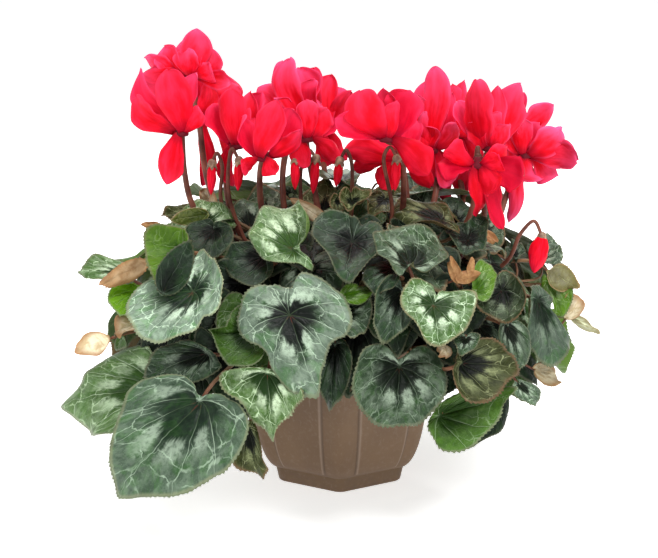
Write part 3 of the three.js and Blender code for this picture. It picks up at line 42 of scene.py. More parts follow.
# ---------------------------------------------------------------- layout, in millimetres
# Leaf: name, attachment, vectors to tip, right and left edge, [bend, droop, cup, wave, waves, phase], outline.
LEAVES = [
    ["leaf_01",[-101.4,-192.9,122.4],[-62.3,-20.0,-65.9],[26.7,-20.5,-41.0],[-50.4,19.1,-3.2],[8.0,0,0,1.8,5,0.0],[1.0,0.0,0.95,0.14,0.869,0.268,0.791,0.397,0.706,0.522,0.61,0.638,0.498,0.739,0.373,0.822,0.246,0.904,0.118,0.981,-0.031,0.96,-0.15,0.874,-0.216,0.742,-0.224,0.591,-0.214,0.441,-0.169,0.297,-0.138,0.15,-0.066,0.026,-0.033,-0.083,-0.098,-0.219,-0.146,-0.362,-0.183,-0.508,-0.196,-0.658,-0.191,-0.809,-0.158,-0.956,-0.11,-1.099,0.012,-1.121,0.122,-1.017,0.229,-0.911,0.342,-0.811,0.452,-0.708,0.558,-0.601,0.661,-0.49,0.759,-0.376,0.853,-0.258,0.945,-0.138]],
    ["leaf_02",[-37.7,-177.5,181.9],[21.0,-38.4,-49.4],[42.3,-11.9,0.7],[-36.4,1.7,-2.8],[10.0,4.0,0,1.8,5,0.0],[0.993,-0.013,0.879,0.107,0.743,0.207,0.611,0.311,0.473,0.409,0.349,0.523,0.275,0.673,0.233,0.835,0.136,0.973,0.002,1.074,-0.164,1.094,-0.328,1.068,-0.439,0.941,-0.537,0.805,-0.582,0.642,-0.587,0.475,-0.497,0.335,-0.373,0.221,-0.384,0.086,-0.46,-0.051,-0.424,-0.216,-0.398,-0.383,-0.362,-0.548,-0.297,-0.703,-0.204,-0.844,-0.092,-0.971,0.035,-1.081,0.194,-1.081,0.309,-0.96,0.366,-0.802,0.475,-0.691,0.642,-0.712,0.788,-0.632,0.896,-0.505,0.943,-0.343,0.987,-0.18]],
    ["leaf_03",[66.8,-168.7,187.2],[2.1,-25.7,-23.6],[31.0,9.5,-0.5],[-24.2,-3.5,5.6],[3.0,0,0,1.8,5,0.0],[1.0,-0.0,0.97,0.162,0.896,0.312,0.813,0.456,0.722,0.596,0.616,0.725,0.484,0.826,0.335,0.9,0.182,0.966,0.025,1.022,-0.141,1.031,-0.295,0.971,-0.388,0.836,-0.418,0.673,-0.424,0.506,-0.423,0.34,-0.34,0.199,-0.217,0.089,-0.38,0.085,-0.543,0.06,-0.642,-0.068,-0.642,-0.233,-0.608,-0.397,-0.555,-0.555,-0.467,-0.695,-0.346,-0.81,-0.209,-0.904,-0.054,-0.965,0.109,-0.945,0.26,-0.873,0.402,-0.787,0.525,-0.675,0.631,-0.546,0.739,-0.419,0.846,-0.291,0.943,-0.155]],
    ["leaf_04",[-121.8,-94.7,211.7],[-12.5,-31.4,-25.7],[9.5,-12.6,-9.4],[-23.0,6.1,-8.8],[3.0,0,9.0,1.8,5,0.0],[0.957,-0.082,0.897,0.046,0.791,0.143,0.678,0.234,0.566,0.325,0.45,0.41,0.322,0.478,0.184,0.515,0.04,0.507,-0.092,0.45,-0.195,0.351,-0.266,0.226,-0.317,0.091,-0.359,-0.047,-0.395,-0.187,-0.42,-0.329,-0.435,-0.473,-0.448,-0.617,-0.467,-0.76,-0.49,-0.902,-0.507,-1.045,-0.506,-1.19,-0.464,-1.326,-0.345,-1.389,-0.216,-1.326,-0.101,-1.239,0.012,-1.15,0.124,-1.059,0.233,-0.964,0.337,-0.864,0.435,-0.758,0.532,-0.651,0.628,-0.544,0.727,-0.439,0.824,-0.332,0.911,-0.216]],
    ["leaf_05",[-112.3,-120.8,186.3],[-31.3,-35.2,-32.5],[21.6,-41.4,-11.7],[-43.5,12.5,-8.3],[5.0,0,6.0,1.8,5,0.0],[0.986,-0.015,0.949,0.164,0.862,0.327,0.77,0.487,0.669,0.642,0.541,0.775,0.38,0.853,0.204,0.833,0.093,0.979,-0.057,1.033,-0.208,0.925,-0.333,0.791,-0.394,0.617,-0.433,0.437,-0.472,0.256,-0.513,0.076,-0.575,-0.098,-0.663,-0.261,-0.762,-0.417,-0.819,-0.58,-0.647,-0.52,-0.484,-0.433,-0.321,-0.345,-0.252,-0.362,-0.373,-0.502,-0.439,-0.668,-0.321,-0.808,-0.176,-0.922,-0.008,-0.999,0.172,-0.987,0.328,-0.888,0.467,-0.767,0.597,-0.635,0.716,-0.494,0.824,-0.344,0.923,-0.188]],
    ["small_leaf_01",[90.1,-172.2,162.7],[-3.6,-10.5,-10.5],[10.7,3.4,-1.6],[-8.3,1.7,-1.2],[3.0,0,0,1.8,5,0.0],[1.0,0.0,0.941,0.142,0.86,0.278,0.782,0.408,0.691,0.533,0.591,0.653,0.485,0.765,0.366,0.866,0.233,0.946,0.083,0.992,-0.073,0.984,-0.205,0.906,-0.3,0.779,-0.361,0.635,-0.377,0.482,-0.352,0.328,-0.293,0.189,-0.163,0.079,-0.04,0.0,-0.163,-0.079,-0.293,-0.189,-0.352,-0.328,-0.377,-0.482,-0.361,-0.635,-0.3,-0.779,-0.205,-0.906,-0.073,-0.984,0.083,-0.992,0.233,-0.946,0.366,-0.866,0.485,-0.765,0.591,-0.653,0.691,-0.533,0.782,-0.408,0.86,-0.278,0.941,-0.142]],
    ["leaf_06",[87.1,-177.5,146.2],[44.3,11.0,-7.7],[21.0,20.0,12.8],[14.8,-19.3,-26.1],[4.0,0,0,1.8,5,0.0],[0.982,-0.034,0.94,0.097,0.856,0.209,0.762,0.312,0.667,0.415,0.571,0.516,0.472,0.614,0.367,0.706,0.252,0.786,0.126,0.843,-0.01,0.837,-0.102,0.734,-0.15,0.604,-0.168,0.465,-0.158,0.326,-0.124,0.191,-0.095,0.055,-0.121,-0.08,-0.195,-0.199,-0.261,-0.322,-0.293,-0.457,-0.303,-0.596,-0.298,-0.736,-0.28,-0.874,-0.234,-1.005,-0.11,-1.053,0.025,-1.018,0.148,-0.952,0.262,-0.871,0.369,-0.782,0.47,-0.685,0.564,-0.583,0.655,-0.477,0.746,-0.371,0.841,-0.268,0.931,-0.162]],
    ["small_leaf_02",[76.2,-167.5,155.4],[-4.9,-8.8,-6.6],[3.3,0.6,-7.2],[-7.2,-3.2,-0.1],[3.0,0,0,1.8,5,0.0],[1.0,0.0,0.948,0.131,0.872,0.258,0.801,0.378,0.721,0.495,0.631,0.607,0.535,0.714,0.432,0.813,0.32,0.9,0.192,0.965,0.044,0.994,-0.082,0.947,-0.141,0.812,-0.174,0.669,-0.189,0.53,-0.182,0.388,-0.164,0.245,-0.11,0.112,-0.02,0.0,-0.11,-0.112,-0.164,-0.245,-0.182,-0.388,-0.189,-0.53,-0.174,-0.669,-0.141,-0.812,-0.082,-0.947,0.044,-0.994,0.192,-0.965,0.32,-0.9,0.432,-0.813,0.535,-0.714,0.631,-0.607,0.721,-0.495,0.801,-0.378,0.872,-0.258,0.948,-0.131]],
    ["leaf_07",[-69.5,-163.8,166.5],[-25.9,-5.8,-9.7],[-1.3,-30.3,-23.7],[-11.9,6.9,9.4],[3.0,0,6.0,1.8,5,0.0],[0.998,-0.121,0.955,0.035,0.875,0.18,0.782,0.318,0.676,0.447,0.572,0.576,0.473,0.71,0.366,0.837,0.242,0.949,0.103,1.04,-0.051,1.102,-0.215,1.127,-0.377,1.096,-0.514,1.003,-0.603,0.864,-0.623,0.7,-0.593,0.537,-0.54,0.379,-0.482,0.223,-0.431,0.065,-0.392,-0.097,-0.366,-0.261,-0.353,-0.427,-0.35,-0.593,-0.344,-0.759,-0.313,-0.922,-0.185,-1.01,-0.032,-0.951,0.077,-0.827,0.151,-0.678,0.219,-0.526,0.303,-0.383,0.411,-0.257,0.536,-0.147,0.68,-0.065,0.843,-0.071]],
    ["leaf_08",[-54.1,-187.9,141.7],[7.4,-16.9,-47.6],[29.1,-13.9,-7.5],[-29.8,9.3,-7.1],[5.0,0,0,1.8,5,0.0],[0.998,0.025,0.919,0.144,0.81,0.239,0.706,0.341,0.602,0.442,0.496,0.542,0.401,0.652,0.319,0.772,0.248,0.899,0.176,1.025,0.06,1.019,-0.003,0.889,-0.029,0.746,-0.039,0.601,-0.045,0.456,-0.051,0.311,-0.056,0.165,-0.062,0.02,-0.07,-0.125,-0.079,-0.27,-0.085,-0.415,-0.086,-0.561,-0.083,-0.706,-0.079,-0.851,-0.063,-0.996,0.017,-1.107,0.154,-1.073,0.249,-0.965,0.306,-0.831,0.348,-0.693,0.453,-0.596,0.592,-0.556,0.707,-0.472,0.779,-0.346,0.84,-0.214,0.928,-0.098]],
    ["leaf_09",[51.4,-142.7,210.4],[-26.2,16.1,21.6],[-18.7,-12.1,-1.1],[25.2,33.4,13.7],[3.0,0,0,1.8,5,0.0],[0.999,0.073,0.923,0.197,0.816,0.298,0.703,0.391,0.588,0.483,0.471,0.571,0.349,0.653,0.22,0.723,0.08,0.766,-0.065,0.76,-0.149,0.652,-0.129,0.508,-0.085,0.367,-0.037,0.229,0.005,0.088,-0.003,-0.05,-0.147,-0.028,-0.289,-0.049,-0.375,-0.165,-0.406,-0.308,-0.412,-0.454,-0.402,-0.601,-0.365,-0.742,-0.283,-0.863,-0.157,-0.937,-0.017,-0.982,0.128,-1.001,0.268,-0.962,0.395,-0.888,0.513,-0.801,0.622,-0.702,0.717,-0.59,0.796,-0.467,0.866,-0.338,0.93,-0.206,0.989,-0.071]],
    ["leaf_10",[-36.6,-124.2,219.3],[-32.4,21.7,8.0],[-3.2,-8.7,-15.7],[-1.9,37.7,25.3],[3.0,0,3.0,1.8,5,0.0],[1.024,0.01,0.992,0.179,0.932,0.341,0.859,0.498,0.771,0.646,0.662,0.78,0.526,0.884,0.359,0.916,0.193,0.869,0.044,0.784,-0.095,0.68,-0.238,0.585,-0.402,0.531,-0.504,0.404,-0.487,0.234,-0.38,0.106,-0.224,0.032,-0.176,-0.11,-0.297,-0.232,-0.412,-0.361,-0.502,-0.508,-0.577,-0.664,-0.638,-0.825,-0.607,-0.985,-0.453,-1.06,-0.288,-1.112,-0.118,-1.141,0.05,-1.112,0.197,-1.022,0.338,-0.923,0.481,-0.826,0.613,-0.715,0.735,-0.592,0.85,-0.464,0.947,-0.322,1.01,-0.161]],
    ["leaf_11",[8.3,-114.7,223.5],[-5.7,-45.0,-23.6],[20.1,9.3,0.1],[-29.8,7.6,-4.2],[3.0,0,7.0,1.8,5,0.0],[1.076,0.244,1.066,0.413,1.021,0.577,0.952,0.732,0.863,0.877,0.754,1.008,0.629,1.122,0.488,1.217,0.325,1.262,0.159,1.231,0.012,1.146,-0.109,1.027,-0.207,0.889,-0.283,0.737,-0.329,0.573,-0.332,0.404,-0.308,0.235,-0.319,0.067,-0.388,-0.089,-0.465,-0.24,-0.519,-0.401,-0.539,-0.57,-0.516,-0.738,-0.446,-0.892,-0.318,-1.001,-0.156,-1.049,0.013,-1.035,0.163,-0.958,0.294,-0.848,0.413,-0.727,0.526,-0.6,0.636,-0.47,0.744,-0.339,0.85,-0.205,0.95,-0.068,1.034,0.08]],
    ["small_leaf_04",[100.5,-134.0,189.4],[16.9,13.5,10.7],[4.0,23.0,14.0],[8.6,-9.7,-4.6],[3.0,0,0,1.8,5,0.0],[1.0,0.0,0.948,0.131,0.872,0.258,0.801,0.378,0.721,0.495,0.631,0.607,0.535,0.714,0.432,0.813,0.32,0.9,0.192,0.965,0.044,0.994,-0.082,0.947,-0.141,0.812,-0.174,0.669,-0.189,0.53,-0.182,0.388,-0.164,0.245,-0.11,0.112,-0.02,0.0,-0.11,-0.112,-0.164,-0.245,-0.182,-0.388,-0.189,-0.53,-0.174,-0.669,-0.141,-0.812,-0.082,-0.947,0.044,-0.994,0.192,-0.965,0.32,-0.9,0.432,-0.813,0.535,-0.714,0.631,-0.607,0.721,-0.495,0.801,-0.378,0.872,-0.258,0.948,-0.131]],
    ["leaf_12",[121.0,-124.6,187.2],[-19.6,-11.6,-14.1],[14.3,-18.2,-16.0],[-7.9,15.3,3.7],[3.0,0,5.0,1.8,5,0.0],[0.979,0.028,0.976,0.176,0.929,0.318,0.866,0.453,0.797,0.586,0.725,0.717,0.647,0.844,0.561,0.967,0.46,1.076,0.336,1.159,0.194,1.205,0.045,1.21,-0.098,1.169,-0.22,1.084,-0.309,0.964,-0.371,0.828,-0.414,0.685,-0.436,0.537,-0.442,0.388,-0.451,0.239,-0.484,0.093,-0.523,-0.051,-0.547,-0.199,-0.551,-0.348,-0.519,-0.493,-0.416,-0.597,-0.272,-0.635,-0.123,-0.642,0.027,-0.636,0.173,-0.608,0.311,-0.551,0.438,-0.471,0.558,-0.383,0.678,-0.293,0.797,-0.203,0.907,-0.102]],
    ["small_leaf_05",[37.6,-137.4,206.9],[-22.5,-13.8,-7.5],[-4.6,-24.0,-11.9],[-13.1,12.1,2.6],[3.0,0,0,1.8,5,0.0],[1.0,0.0,0.945,0.136,0.867,0.267,0.792,0.392,0.707,0.513,0.613,0.629,0.512,0.738,0.402,0.838,0.281,0.923,0.142,0.98,-0.011,0.993,-0.137,0.928,-0.217,0.797,-0.266,0.654,-0.283,0.509,-0.27,0.361,-0.235,0.217,-0.142,0.094,-0.03,0.0,-0.142,-0.094,-0.235,-0.217,-0.27,-0.361,-0.283,-0.509,-0.266,-0.654,-0.217,-0.797,-0.137,-0.928,-0.011,-0.993,0.142,-0.98,0.281,-0.923,0.402,-0.838,0.512,-0.738,0.613,-0.629,0.707,-0.513,0.792,-0.392,0.867,-0.267,0.945,-0.136]],
    ["leaf_13",[44.9,-142.8,191.5],[-11.7,-41.4,-25.5],[7.6,-23.4,-13.2],[-23.6,-24.3,-5.5],[3.0,0,0,1.8,5,0.0],[1.0,0.0,0.959,0.138,0.891,0.265,0.809,0.383,0.719,0.496,0.625,0.606,0.529,0.713,0.428,0.815,0.312,0.901,0.173,0.929,0.048,0.862,-0.021,0.736,-0.045,0.595,-0.041,0.451,-0.031,0.307,-0.036,0.163,-0.075,0.025,-0.139,-0.105,-0.207,-0.232,-0.263,-0.365,-0.299,-0.504,-0.312,-0.647,-0.298,-0.791,-0.25,-0.926,-0.16,-1.037,-0.026,-1.078,0.111,-1.035,0.241,-0.972,0.371,-0.909,0.496,-0.838,0.607,-0.747,0.702,-0.638,0.786,-0.521,0.865,-0.401,0.939,-0.277,0.992,-0.143]],
    ["leaf_14",[42.2,-181.0,144.2],[-5.4,-33.7,-37.0],[34.2,-0.5,-12.0],[-35.9,-15.8,-4.4],[8.0,0,0,1.8,5,0.0],[1.0,-0.0,0.973,0.157,0.905,0.301,0.828,0.442,0.737,0.573,0.62,0.682,0.501,0.789,0.379,0.892,0.236,0.964,0.082,1.005,-0.077,1.017,-0.23,0.972,-0.355,0.874,-0.42,0.729,-0.437,0.571,-0.416,0.412,-0.347,0.269,-0.24,0.15,-0.145,0.023,-0.188,-0.124,-0.289,-0.249,-0.369,-0.387,-0.408,-0.542,-0.395,-0.7,-0.351,-0.854,-0.24,-0.959,-0.082,-0.982,0.076,-1.005,0.231,-0.968,0.374,-0.897,0.498,-0.797,0.608,-0.68,0.713,-0.56,0.813,-0.435,0.901,-0.301,0.968,-0.156]],
    ["small_leaf_06",[2.6,-159.9,191.0],[24.7,22.9,0.6],[3.9,16.6,4.0],[10.9,0.5,-5.0],[3.0,0,0,1.8,5,0.0],[1.0,0.0,0.948,0.131,0.872,0.258,0.801,0.378,0.721,0.495,0.631,0.607,0.535,0.714,0.432,0.813,0.32,0.9,0.192,0.965,0.044,0.994,-0.082,0.947,-0.141,0.812,-0.174,0.669,-0.189,0.53,-0.182,0.388,-0.164,0.245,-0.11,0.112,-0.02,0.0,-0.11,-0.112,-0.164,-0.245,-0.182,-0.388,-0.189,-0.53,-0.174,-0.669,-0.141,-0.812,-0.082,-0.947,0.044,-0.994,0.192,-0.965,0.32,-0.9,0.432,-0.813,0.535,-0.714,0.631,-0.607,0.721,-0.495,0.801,-0.378,0.872,-0.258,0.948,-0.131]],
    ["leaf_15",[2.7,-155.7,178.0],[4.7,-30.8,-14.4],[18.1,2.9,-3.9],[-12.7,-8.8,-2.5],[3.0,0,6.0,1.8,5,0.0],[1.0,-0.0,0.967,0.143,0.912,0.281,0.844,0.411,0.764,0.535,0.67,0.649,0.562,0.749,0.441,0.833,0.311,0.902,0.175,0.958,0.032,0.996,-0.114,1.008,-0.259,0.983,-0.393,0.921,-0.502,0.823,-0.575,0.695,-0.606,0.552,-0.6,0.405,-0.57,0.26,-0.524,0.12,-0.47,-0.017,-0.411,-0.152,-0.343,-0.283,-0.265,-0.408,-0.177,-0.526,-0.076,-0.634,0.036,-0.729,0.163,-0.804,0.304,-0.843,0.449,-0.818,0.575,-0.744,0.684,-0.644,0.78,-0.532,0.864,-0.411,0.937,-0.283,0.992,-0.146]],
    ["leaf_16",[78.0,-65.4,231.3],[-37.2,30.4,2.6],[-13.8,-9.3,-6.7],[-11.0,40.4,8.5],[4.0,0,0,1.8,5,0.0],[1.0,0.0,0.985,0.159,0.939,0.312,0.873,0.458,0.792,0.596,0.699,0.726,0.593,0.846,0.468,0.945,0.316,0.99,0.159,0.965,0.007,0.914,-0.148,0.877,-0.306,0.895,-0.456,0.89,-0.488,0.735,-0.476,0.576,-0.449,0.418,-0.414,0.262,-0.376,0.106,-0.343,-0.05,-0.323,-0.209,-0.323,-0.369,-0.333,-0.529,-0.337,-0.689,-0.313,-0.847,-0.231,-0.981,-0.085,-1.042,0.074,-1.032,0.223,-0.975,0.356,-0.887,0.475,-0.78,0.585,-0.664,0.693,-0.546,0.8,-0.426,0.896,-0.299,0.968,-0.156]],
    ["leaf_17",[98.8,-81.5,216.9],[-1.1,-14.6,-11.2],[18.9,1.6,-4.2],[-14.4,12.6,-3.3],[3.0,0,6.0,1.8,5,0.0],[1.006,-0.091,0.956,0.12,0.855,0.313,0.721,0.484,0.56,0.631,0.376,0.748,0.176,0.836,-0.033,0.898,-0.247,0.938,-0.464,0.959,-0.682,0.963,-0.9,0.95,-1.115,0.917,-1.322,0.847,-1.49,0.712,-1.54,0.506,-1.421,0.329,-1.237,0.213,-1.044,0.11,-0.897,-0.04,-1.024,-0.21,-1.19,-0.353,-1.307,-0.533,-1.275,-0.744,-1.126,-0.9,-0.929,-0.991,-0.716,-1.039,-0.499,-1.058,-0.281,-1.05,-0.066,-1.017,0.144,-0.959,0.348,-0.879,0.541,-0.779,0.719,-0.653,0.87,-0.496,0.975,-0.306]],
    ["leaf_18",[-100.4,-154.9,147.4],[-45.9,14.7,-23.6],[-7.5,-14.0,-19.2],[-23.5,18.6,6.8],[3.0,0,0,1.8,5,0.0],[1.0,0.0,0.975,0.134,0.91,0.255,0.83,0.366,0.747,0.476,0.662,0.584,0.572,0.687,0.471,0.78,0.359,0.859,0.242,0.93,0.121,0.995,-0.009,1.038,-0.143,1.019,-0.25,0.935,-0.311,0.814,-0.298,0.678,-0.252,0.549,-0.205,0.42,-0.162,0.29,-0.122,0.159,-0.086,0.026,-0.059,-0.108,-0.041,-0.244,-0.034,-0.382,-0.03,-0.519,-0.013,-0.655,0.059,-0.767,0.19,-0.805,0.327,-0.809,0.458,-0.772,0.564,-0.685,0.653,-0.581,0.738,-0.473,0.822,-0.365,0.902,-0.253,0.967,-0.133]],
    ["leaf_19",[-170.2,-49.1,183.5],[-44.9,27.6,-5.3],[-13.7,-1.8,-9.5],[-20.7,32.2,3.7],[3.0,0,0,1.8,5,0.0],[1.0,0.0,0.947,0.134,0.87,0.262,0.797,0.385,0.714,0.504,0.622,0.618,0.524,0.726,0.418,0.825,0.301,0.911,0.168,0.972,0.018,0.994,-0.108,0.938,-0.178,0.805,-0.22,0.662,-0.236,0.52,-0.226,0.375,-0.201,0.232,-0.128,0.103,-0.025,0.0,-0.128,-0.103,-0.201,-0.232,-0.226,-0.375,-0.236,-0.52,-0.22,-0.662,-0.178,-0.805,-0.108,-0.938,0.018,-0.994,0.168,-0.972,0.301,-0.911,0.418,-0.825,0.524,-0.726,0.622,-0.618,0.714,-0.504,0.797,-0.385,0.87,-0.262,0.947,-0.134]],
    ["small_leaf_07",[-160.2,-55.0,170.8],[-14.1,-17.7,-17.0],[4.2,-15.9,-12.9],[-26.0,8.8,-2.4],[3.0,0,0,1.8,5,0.0],[1.0,0.0,0.943,0.139,0.864,0.273,0.787,0.4,0.699,0.523,0.602,0.641,0.499,0.752,0.385,0.852,0.258,0.935,0.113,0.986,-0.041,0.989,-0.17,0.917,-0.258,0.788,-0.313,0.645,-0.331,0.496,-0.312,0.345,-0.266,0.203,-0.154,0.086,-0.035,0.0,-0.154,-0.086,-0.266,-0.203,-0.312,-0.345,-0.331,-0.496,-0.313,-0.645,-0.258,-0.788,-0.17,-0.917,-0.041,-0.989,0.113,-0.986,0.258,-0.935,0.385,-0.852,0.499,-0.752,0.602,-0.641,0.699,-0.523,0.787,-0.4,0.864,-0.273,0.943,-0.139]],
    ["small_leaf_08",[-158.9,-70.5,148.4],[-21.6,-5.9,-8.3],[-4.8,-15.8,-9.9],[-11.1,9.9,1.3],[3.0,0,0,1.8,5,0.0],[1.0,0.0,0.948,0.131,0.872,0.258,0.801,0.378,0.721,0.495,0.631,0.607,0.535,0.714,0.432,0.813,0.32,0.9,0.192,0.965,0.044,0.994,-0.082,0.947,-0.141,0.812,-0.174,0.669,-0.189,0.53,-0.182,0.388,-0.164,0.245,-0.11,0.112,-0.02,0.0,-0.11,-0.112,-0.164,-0.245,-0.182,-0.388,-0.189,-0.53,-0.174,-0.669,-0.141,-0.812,-0.082,-0.947,0.044,-0.994,0.192,-0.965,0.32,-0.9,0.432,-0.813,0.535,-0.714,0.631,-0.607,0.721,-0.495,0.801,-0.378,0.872,-0.258,0.948,-0.131]],
    ["leaf_20",[-142.7,-134.8,115.9],[-86.9,74.8,-38.8],[-28.0,5.3,-44.8],[-35.1,68.5,14.4],[6.0,0,0,1.8,5,0.0],[1.0,0.0,0.94,0.128,0.844,0.235,0.754,0.347,0.671,0.465,0.589,0.583,0.501,0.697,0.399,0.799,0.282,0.882,0.155,0.949,0.024,1.009,-0.115,1.046,-0.217,0.96,-0.246,0.819,-0.251,0.676,-0.239,0.532,-0.203,0.393,-0.144,0.262,-0.079,0.133,-0.037,-0.004,-0.057,-0.145,-0.107,-0.281,-0.146,-0.419,-0.166,-0.562,-0.176,-0.705,-0.171,-0.849,-0.063,-0.913,0.079,-0.895,0.201,-0.819,0.306,-0.72,0.41,-0.621,0.513,-0.52,0.614,-0.417,0.715,-0.315,0.82,-0.217,0.928,-0.121]],
    ["small_leaf_10",[9.2,-49.0,242.8],[-0.2,-18.2,-11.2],[15.8,-1.6,-0.5],[-9.5,-4.4,-3.2],[3.0,0,8.0,1.8,5,0.0],[1.0,0.0,0.941,0.142,0.86,0.278,0.782,0.408,0.691,0.533,0.591,0.653,0.485,0.765,0.366,0.866,0.233,0.946,0.083,0.992,-0.073,0.984,-0.205,0.906,-0.3,0.779,-0.361,0.635,-0.377,0.482,-0.352,0.328,-0.293,0.189,-0.163,0.079,-0.04,0.0,-0.163,-0.079,-0.293,-0.189,-0.352,-0.328,-0.377,-0.482,-0.361,-0.635,-0.3,-0.779,-0.205,-0.906,-0.073,-0.984,0.083,-0.992,0.233,-0.946,0.366,-0.866,0.485,-0.765,0.591,-0.653,0.691,-0.533,0.782,-0.408,0.86,-0.278,0.941,-0.142]],
    ["small_leaf_11",[-1.8,-38.4,241.0],[-0.8,-10.3,-11.1],[5.6,-2.1,-5.4],[-7.2,-2.7,-3.6],[3.0,0,4.0,1.8,5,0.0],[1.0,0.0,0.943,0.139,0.864,0.273,0.787,0.4,0.699,0.523,0.602,0.641,0.499,0.752,0.385,0.852,0.258,0.935,0.113,0.986,-0.041,0.989,-0.17,0.917,-0.258,0.788,-0.313,0.645,-0.331,0.496,-0.312,0.345,-0.266,0.203,-0.154,0.086,-0.035,0.0,-0.154,-0.086,-0.266,-0.203,-0.312,-0.345,-0.331,-0.496,-0.313,-0.645,-0.258,-0.788,-0.17,-0.917,-0.041,-0.989,0.113,-0.986,0.258,-0.935,0.385,-0.852,0.499,-0.752,0.602,-0.641,0.699,-0.523,0.787,-0.4,0.864,-0.273,0.943,-0.139]],
    ["leaf_21",[37.1,-5.2,236.9],[-11.3,-24.5,-10.6],[20.6,-12.6,-5.2],[-13.5,-6.0,0.3],[3.0,0,0,1.8,5,0.0],[1.0,0.0,0.943,0.139,0.864,0.273,0.787,0.4,0.699,0.523,0.602,0.641,0.499,0.752,0.385,0.852,0.258,0.935,0.113,0.986,-0.041,0.989,-0.17,0.917,-0.258,0.788,-0.313,0.645,-0.331,0.496,-0.312,0.345,-0.266,0.203,-0.154,0.086,-0.035,0.0,-0.154,-0.086,-0.266,-0.203,-0.312,-0.345,-0.331,-0.496,-0.313,-0.645,-0.258,-0.788,-0.17,-0.917,-0.041,-0.989,0.113,-0.986,0.258,-0.935,0.385,-0.852,0.499,-0.752,0.602,-0.641,0.699,-0.523,0.787,-0.4,0.864,-0.273,0.943,-0.139]],
    ["small_leaf_12",[23.7,-104.0,221.4],[-7.9,-16.3,-13.6],[7.8,-9.1,-6.4],[-10.2,-3.0,-1.5],[3.0,0,0,1.8,5,0.0],[1.0,0.0,0.947,0.134,0.87,0.262,0.797,0.385,0.714,0.504,0.622,0.618,0.524,0.726,0.418,0.825,0.301,0.911,0.168,0.972,0.018,0.994,-0.108,0.938,-0.178,0.805,-0.22,0.662,-0.236,0.52,-0.226,0.375,-0.201,0.232,-0.128,0.103,-0.025,0.0,-0.128,-0.103,-0.201,-0.232,-0.226,-0.375,-0.236,-0.52,-0.22,-0.662,-0.178,-0.805,-0.108,-0.938,0.018,-0.994,0.168,-0.972,0.301,-0.911,0.418,-0.825,0.524,-0.726,0.622,-0.618,0.714,-0.504,0.797,-0.385,0.87,-0.262,0.947,-0.134]],
    ["small_leaf_13",[-4.7,-171.5,157.3],[-3.6,-23.4,-41.8],[12.5,-7.5,-13.7],[-12.1,-6.1,-14.2],[3.0,0,0,1.8,5,0.0],[1.0,0.0,0.948,0.131,0.872,0.258,0.801,0.378,0.721,0.495,0.631,0.607,0.535,0.714,0.432,0.813,0.32,0.9,0.192,0.965,0.044,0.994,-0.082,0.947,-0.141,0.812,-0.174,0.669,-0.189,0.53,-0.182,0.388,-0.164,0.245,-0.11,0.112,-0.02,0.0,-0.11,-0.112,-0.164,-0.245,-0.182,-0.388,-0.189,-0.53,-0.174,-0.669,-0.141,-0.812,-0.082,-0.947,0.044,-0.994,0.192,-0.965,0.32,-0.9,0.432,-0.813,0.535,-0.714,0.631,-0.607,0.721,-0.495,0.801,-0.378,0.872,-0.258,0.948,-0.131]],
    ["leaf_22",[-60.0,-104.8,209.1],[-30.7,2.2,-5.1],[-6.4,-22.6,-21.0],[-9.4,12.6,7.0],[3.0,0,0,1.8,5,0.0],[1.0,0.0,0.943,0.139,0.864,0.273,0.787,0.4,0.699,0.523,0.602,0.641,0.499,0.752,0.385,0.852,0.258,0.935,0.113,0.986,-0.041,0.989,-0.17,0.917,-0.258,0.788,-0.313,0.645,-0.331,0.496,-0.312,0.345,-0.266,0.203,-0.154,0.086,-0.035,0.0,-0.154,-0.086,-0.266,-0.203,-0.312,-0.345,-0.331,-0.496,-0.313,-0.645,-0.258,-0.788,-0.17,-0.917,-0.041,-0.989,0.113,-0.986,0.258,-0.935,0.385,-0.852,0.499,-0.752,0.602,-0.641,0.699,-0.523,0.787,-0.4,0.864,-0.273,0.943,-0.139]],
    ["leaf_23",[-101.0,-44.1,219.2],[-12.1,-31.4,-21.1],[16.7,-24.8,-6.4],[-20.9,0.7,-5.0],[3.0,0,3.0,1.8,5,0.0],[1.0,0.0,0.947,0.134,0.87,0.262,0.797,0.385,0.714,0.504,0.622,0.618,0.524,0.726,0.418,0.825,0.301,0.911,0.168,0.972,0.018,0.994,-0.108,0.938,-0.178,0.805,-0.22,0.662,-0.236,0.52,-0.226,0.375,-0.201,0.232,-0.128,0.103,-0.025,0.0,-0.128,-0.103,-0.201,-0.232,-0.226,-0.375,-0.236,-0.52,-0.22,-0.662,-0.178,-0.805,-0.108,-0.938,0.018,-0.994,0.168,-0.972,0.301,-0.911,0.418,-0.825,0.524,-0.726,0.622,-0.618,0.714,-0.504,0.797,-0.385,0.87,-0.262,0.947,-0.134]],
    ["small_leaf_14",[-131.6,3.1,200.0],[-27.4,-9.9,-6.5],[-9.1,-34.3,-12.5],[-11.6,-4.6,14.9],[3.0,0,0,1.8,5,0.0],[1.0,0.0,0.945,0.136,0.867,0.267,0.792,0.392,0.707,0.513,0.613,0.629,0.512,0.738,0.402,0.838,0.281,0.923,0.142,0.98,-0.011,0.993,-0.137,0.928,-0.217,0.797,-0.266,0.654,-0.283,0.509,-0.27,0.361,-0.235,0.217,-0.142,0.094,-0.03,0.0,-0.142,-0.094,-0.235,-0.217,-0.27,-0.361,-0.283,-0.509,-0.266,-0.654,-0.217,-0.797,-0.137,-0.928,-0.011,-0.993,0.142,-0.98,0.281,-0.923,0.402,-0.838,0.512,-0.738,0.613,-0.629,0.707,-0.513,0.792,-0.392,0.867,-0.267,0.945,-0.136]],
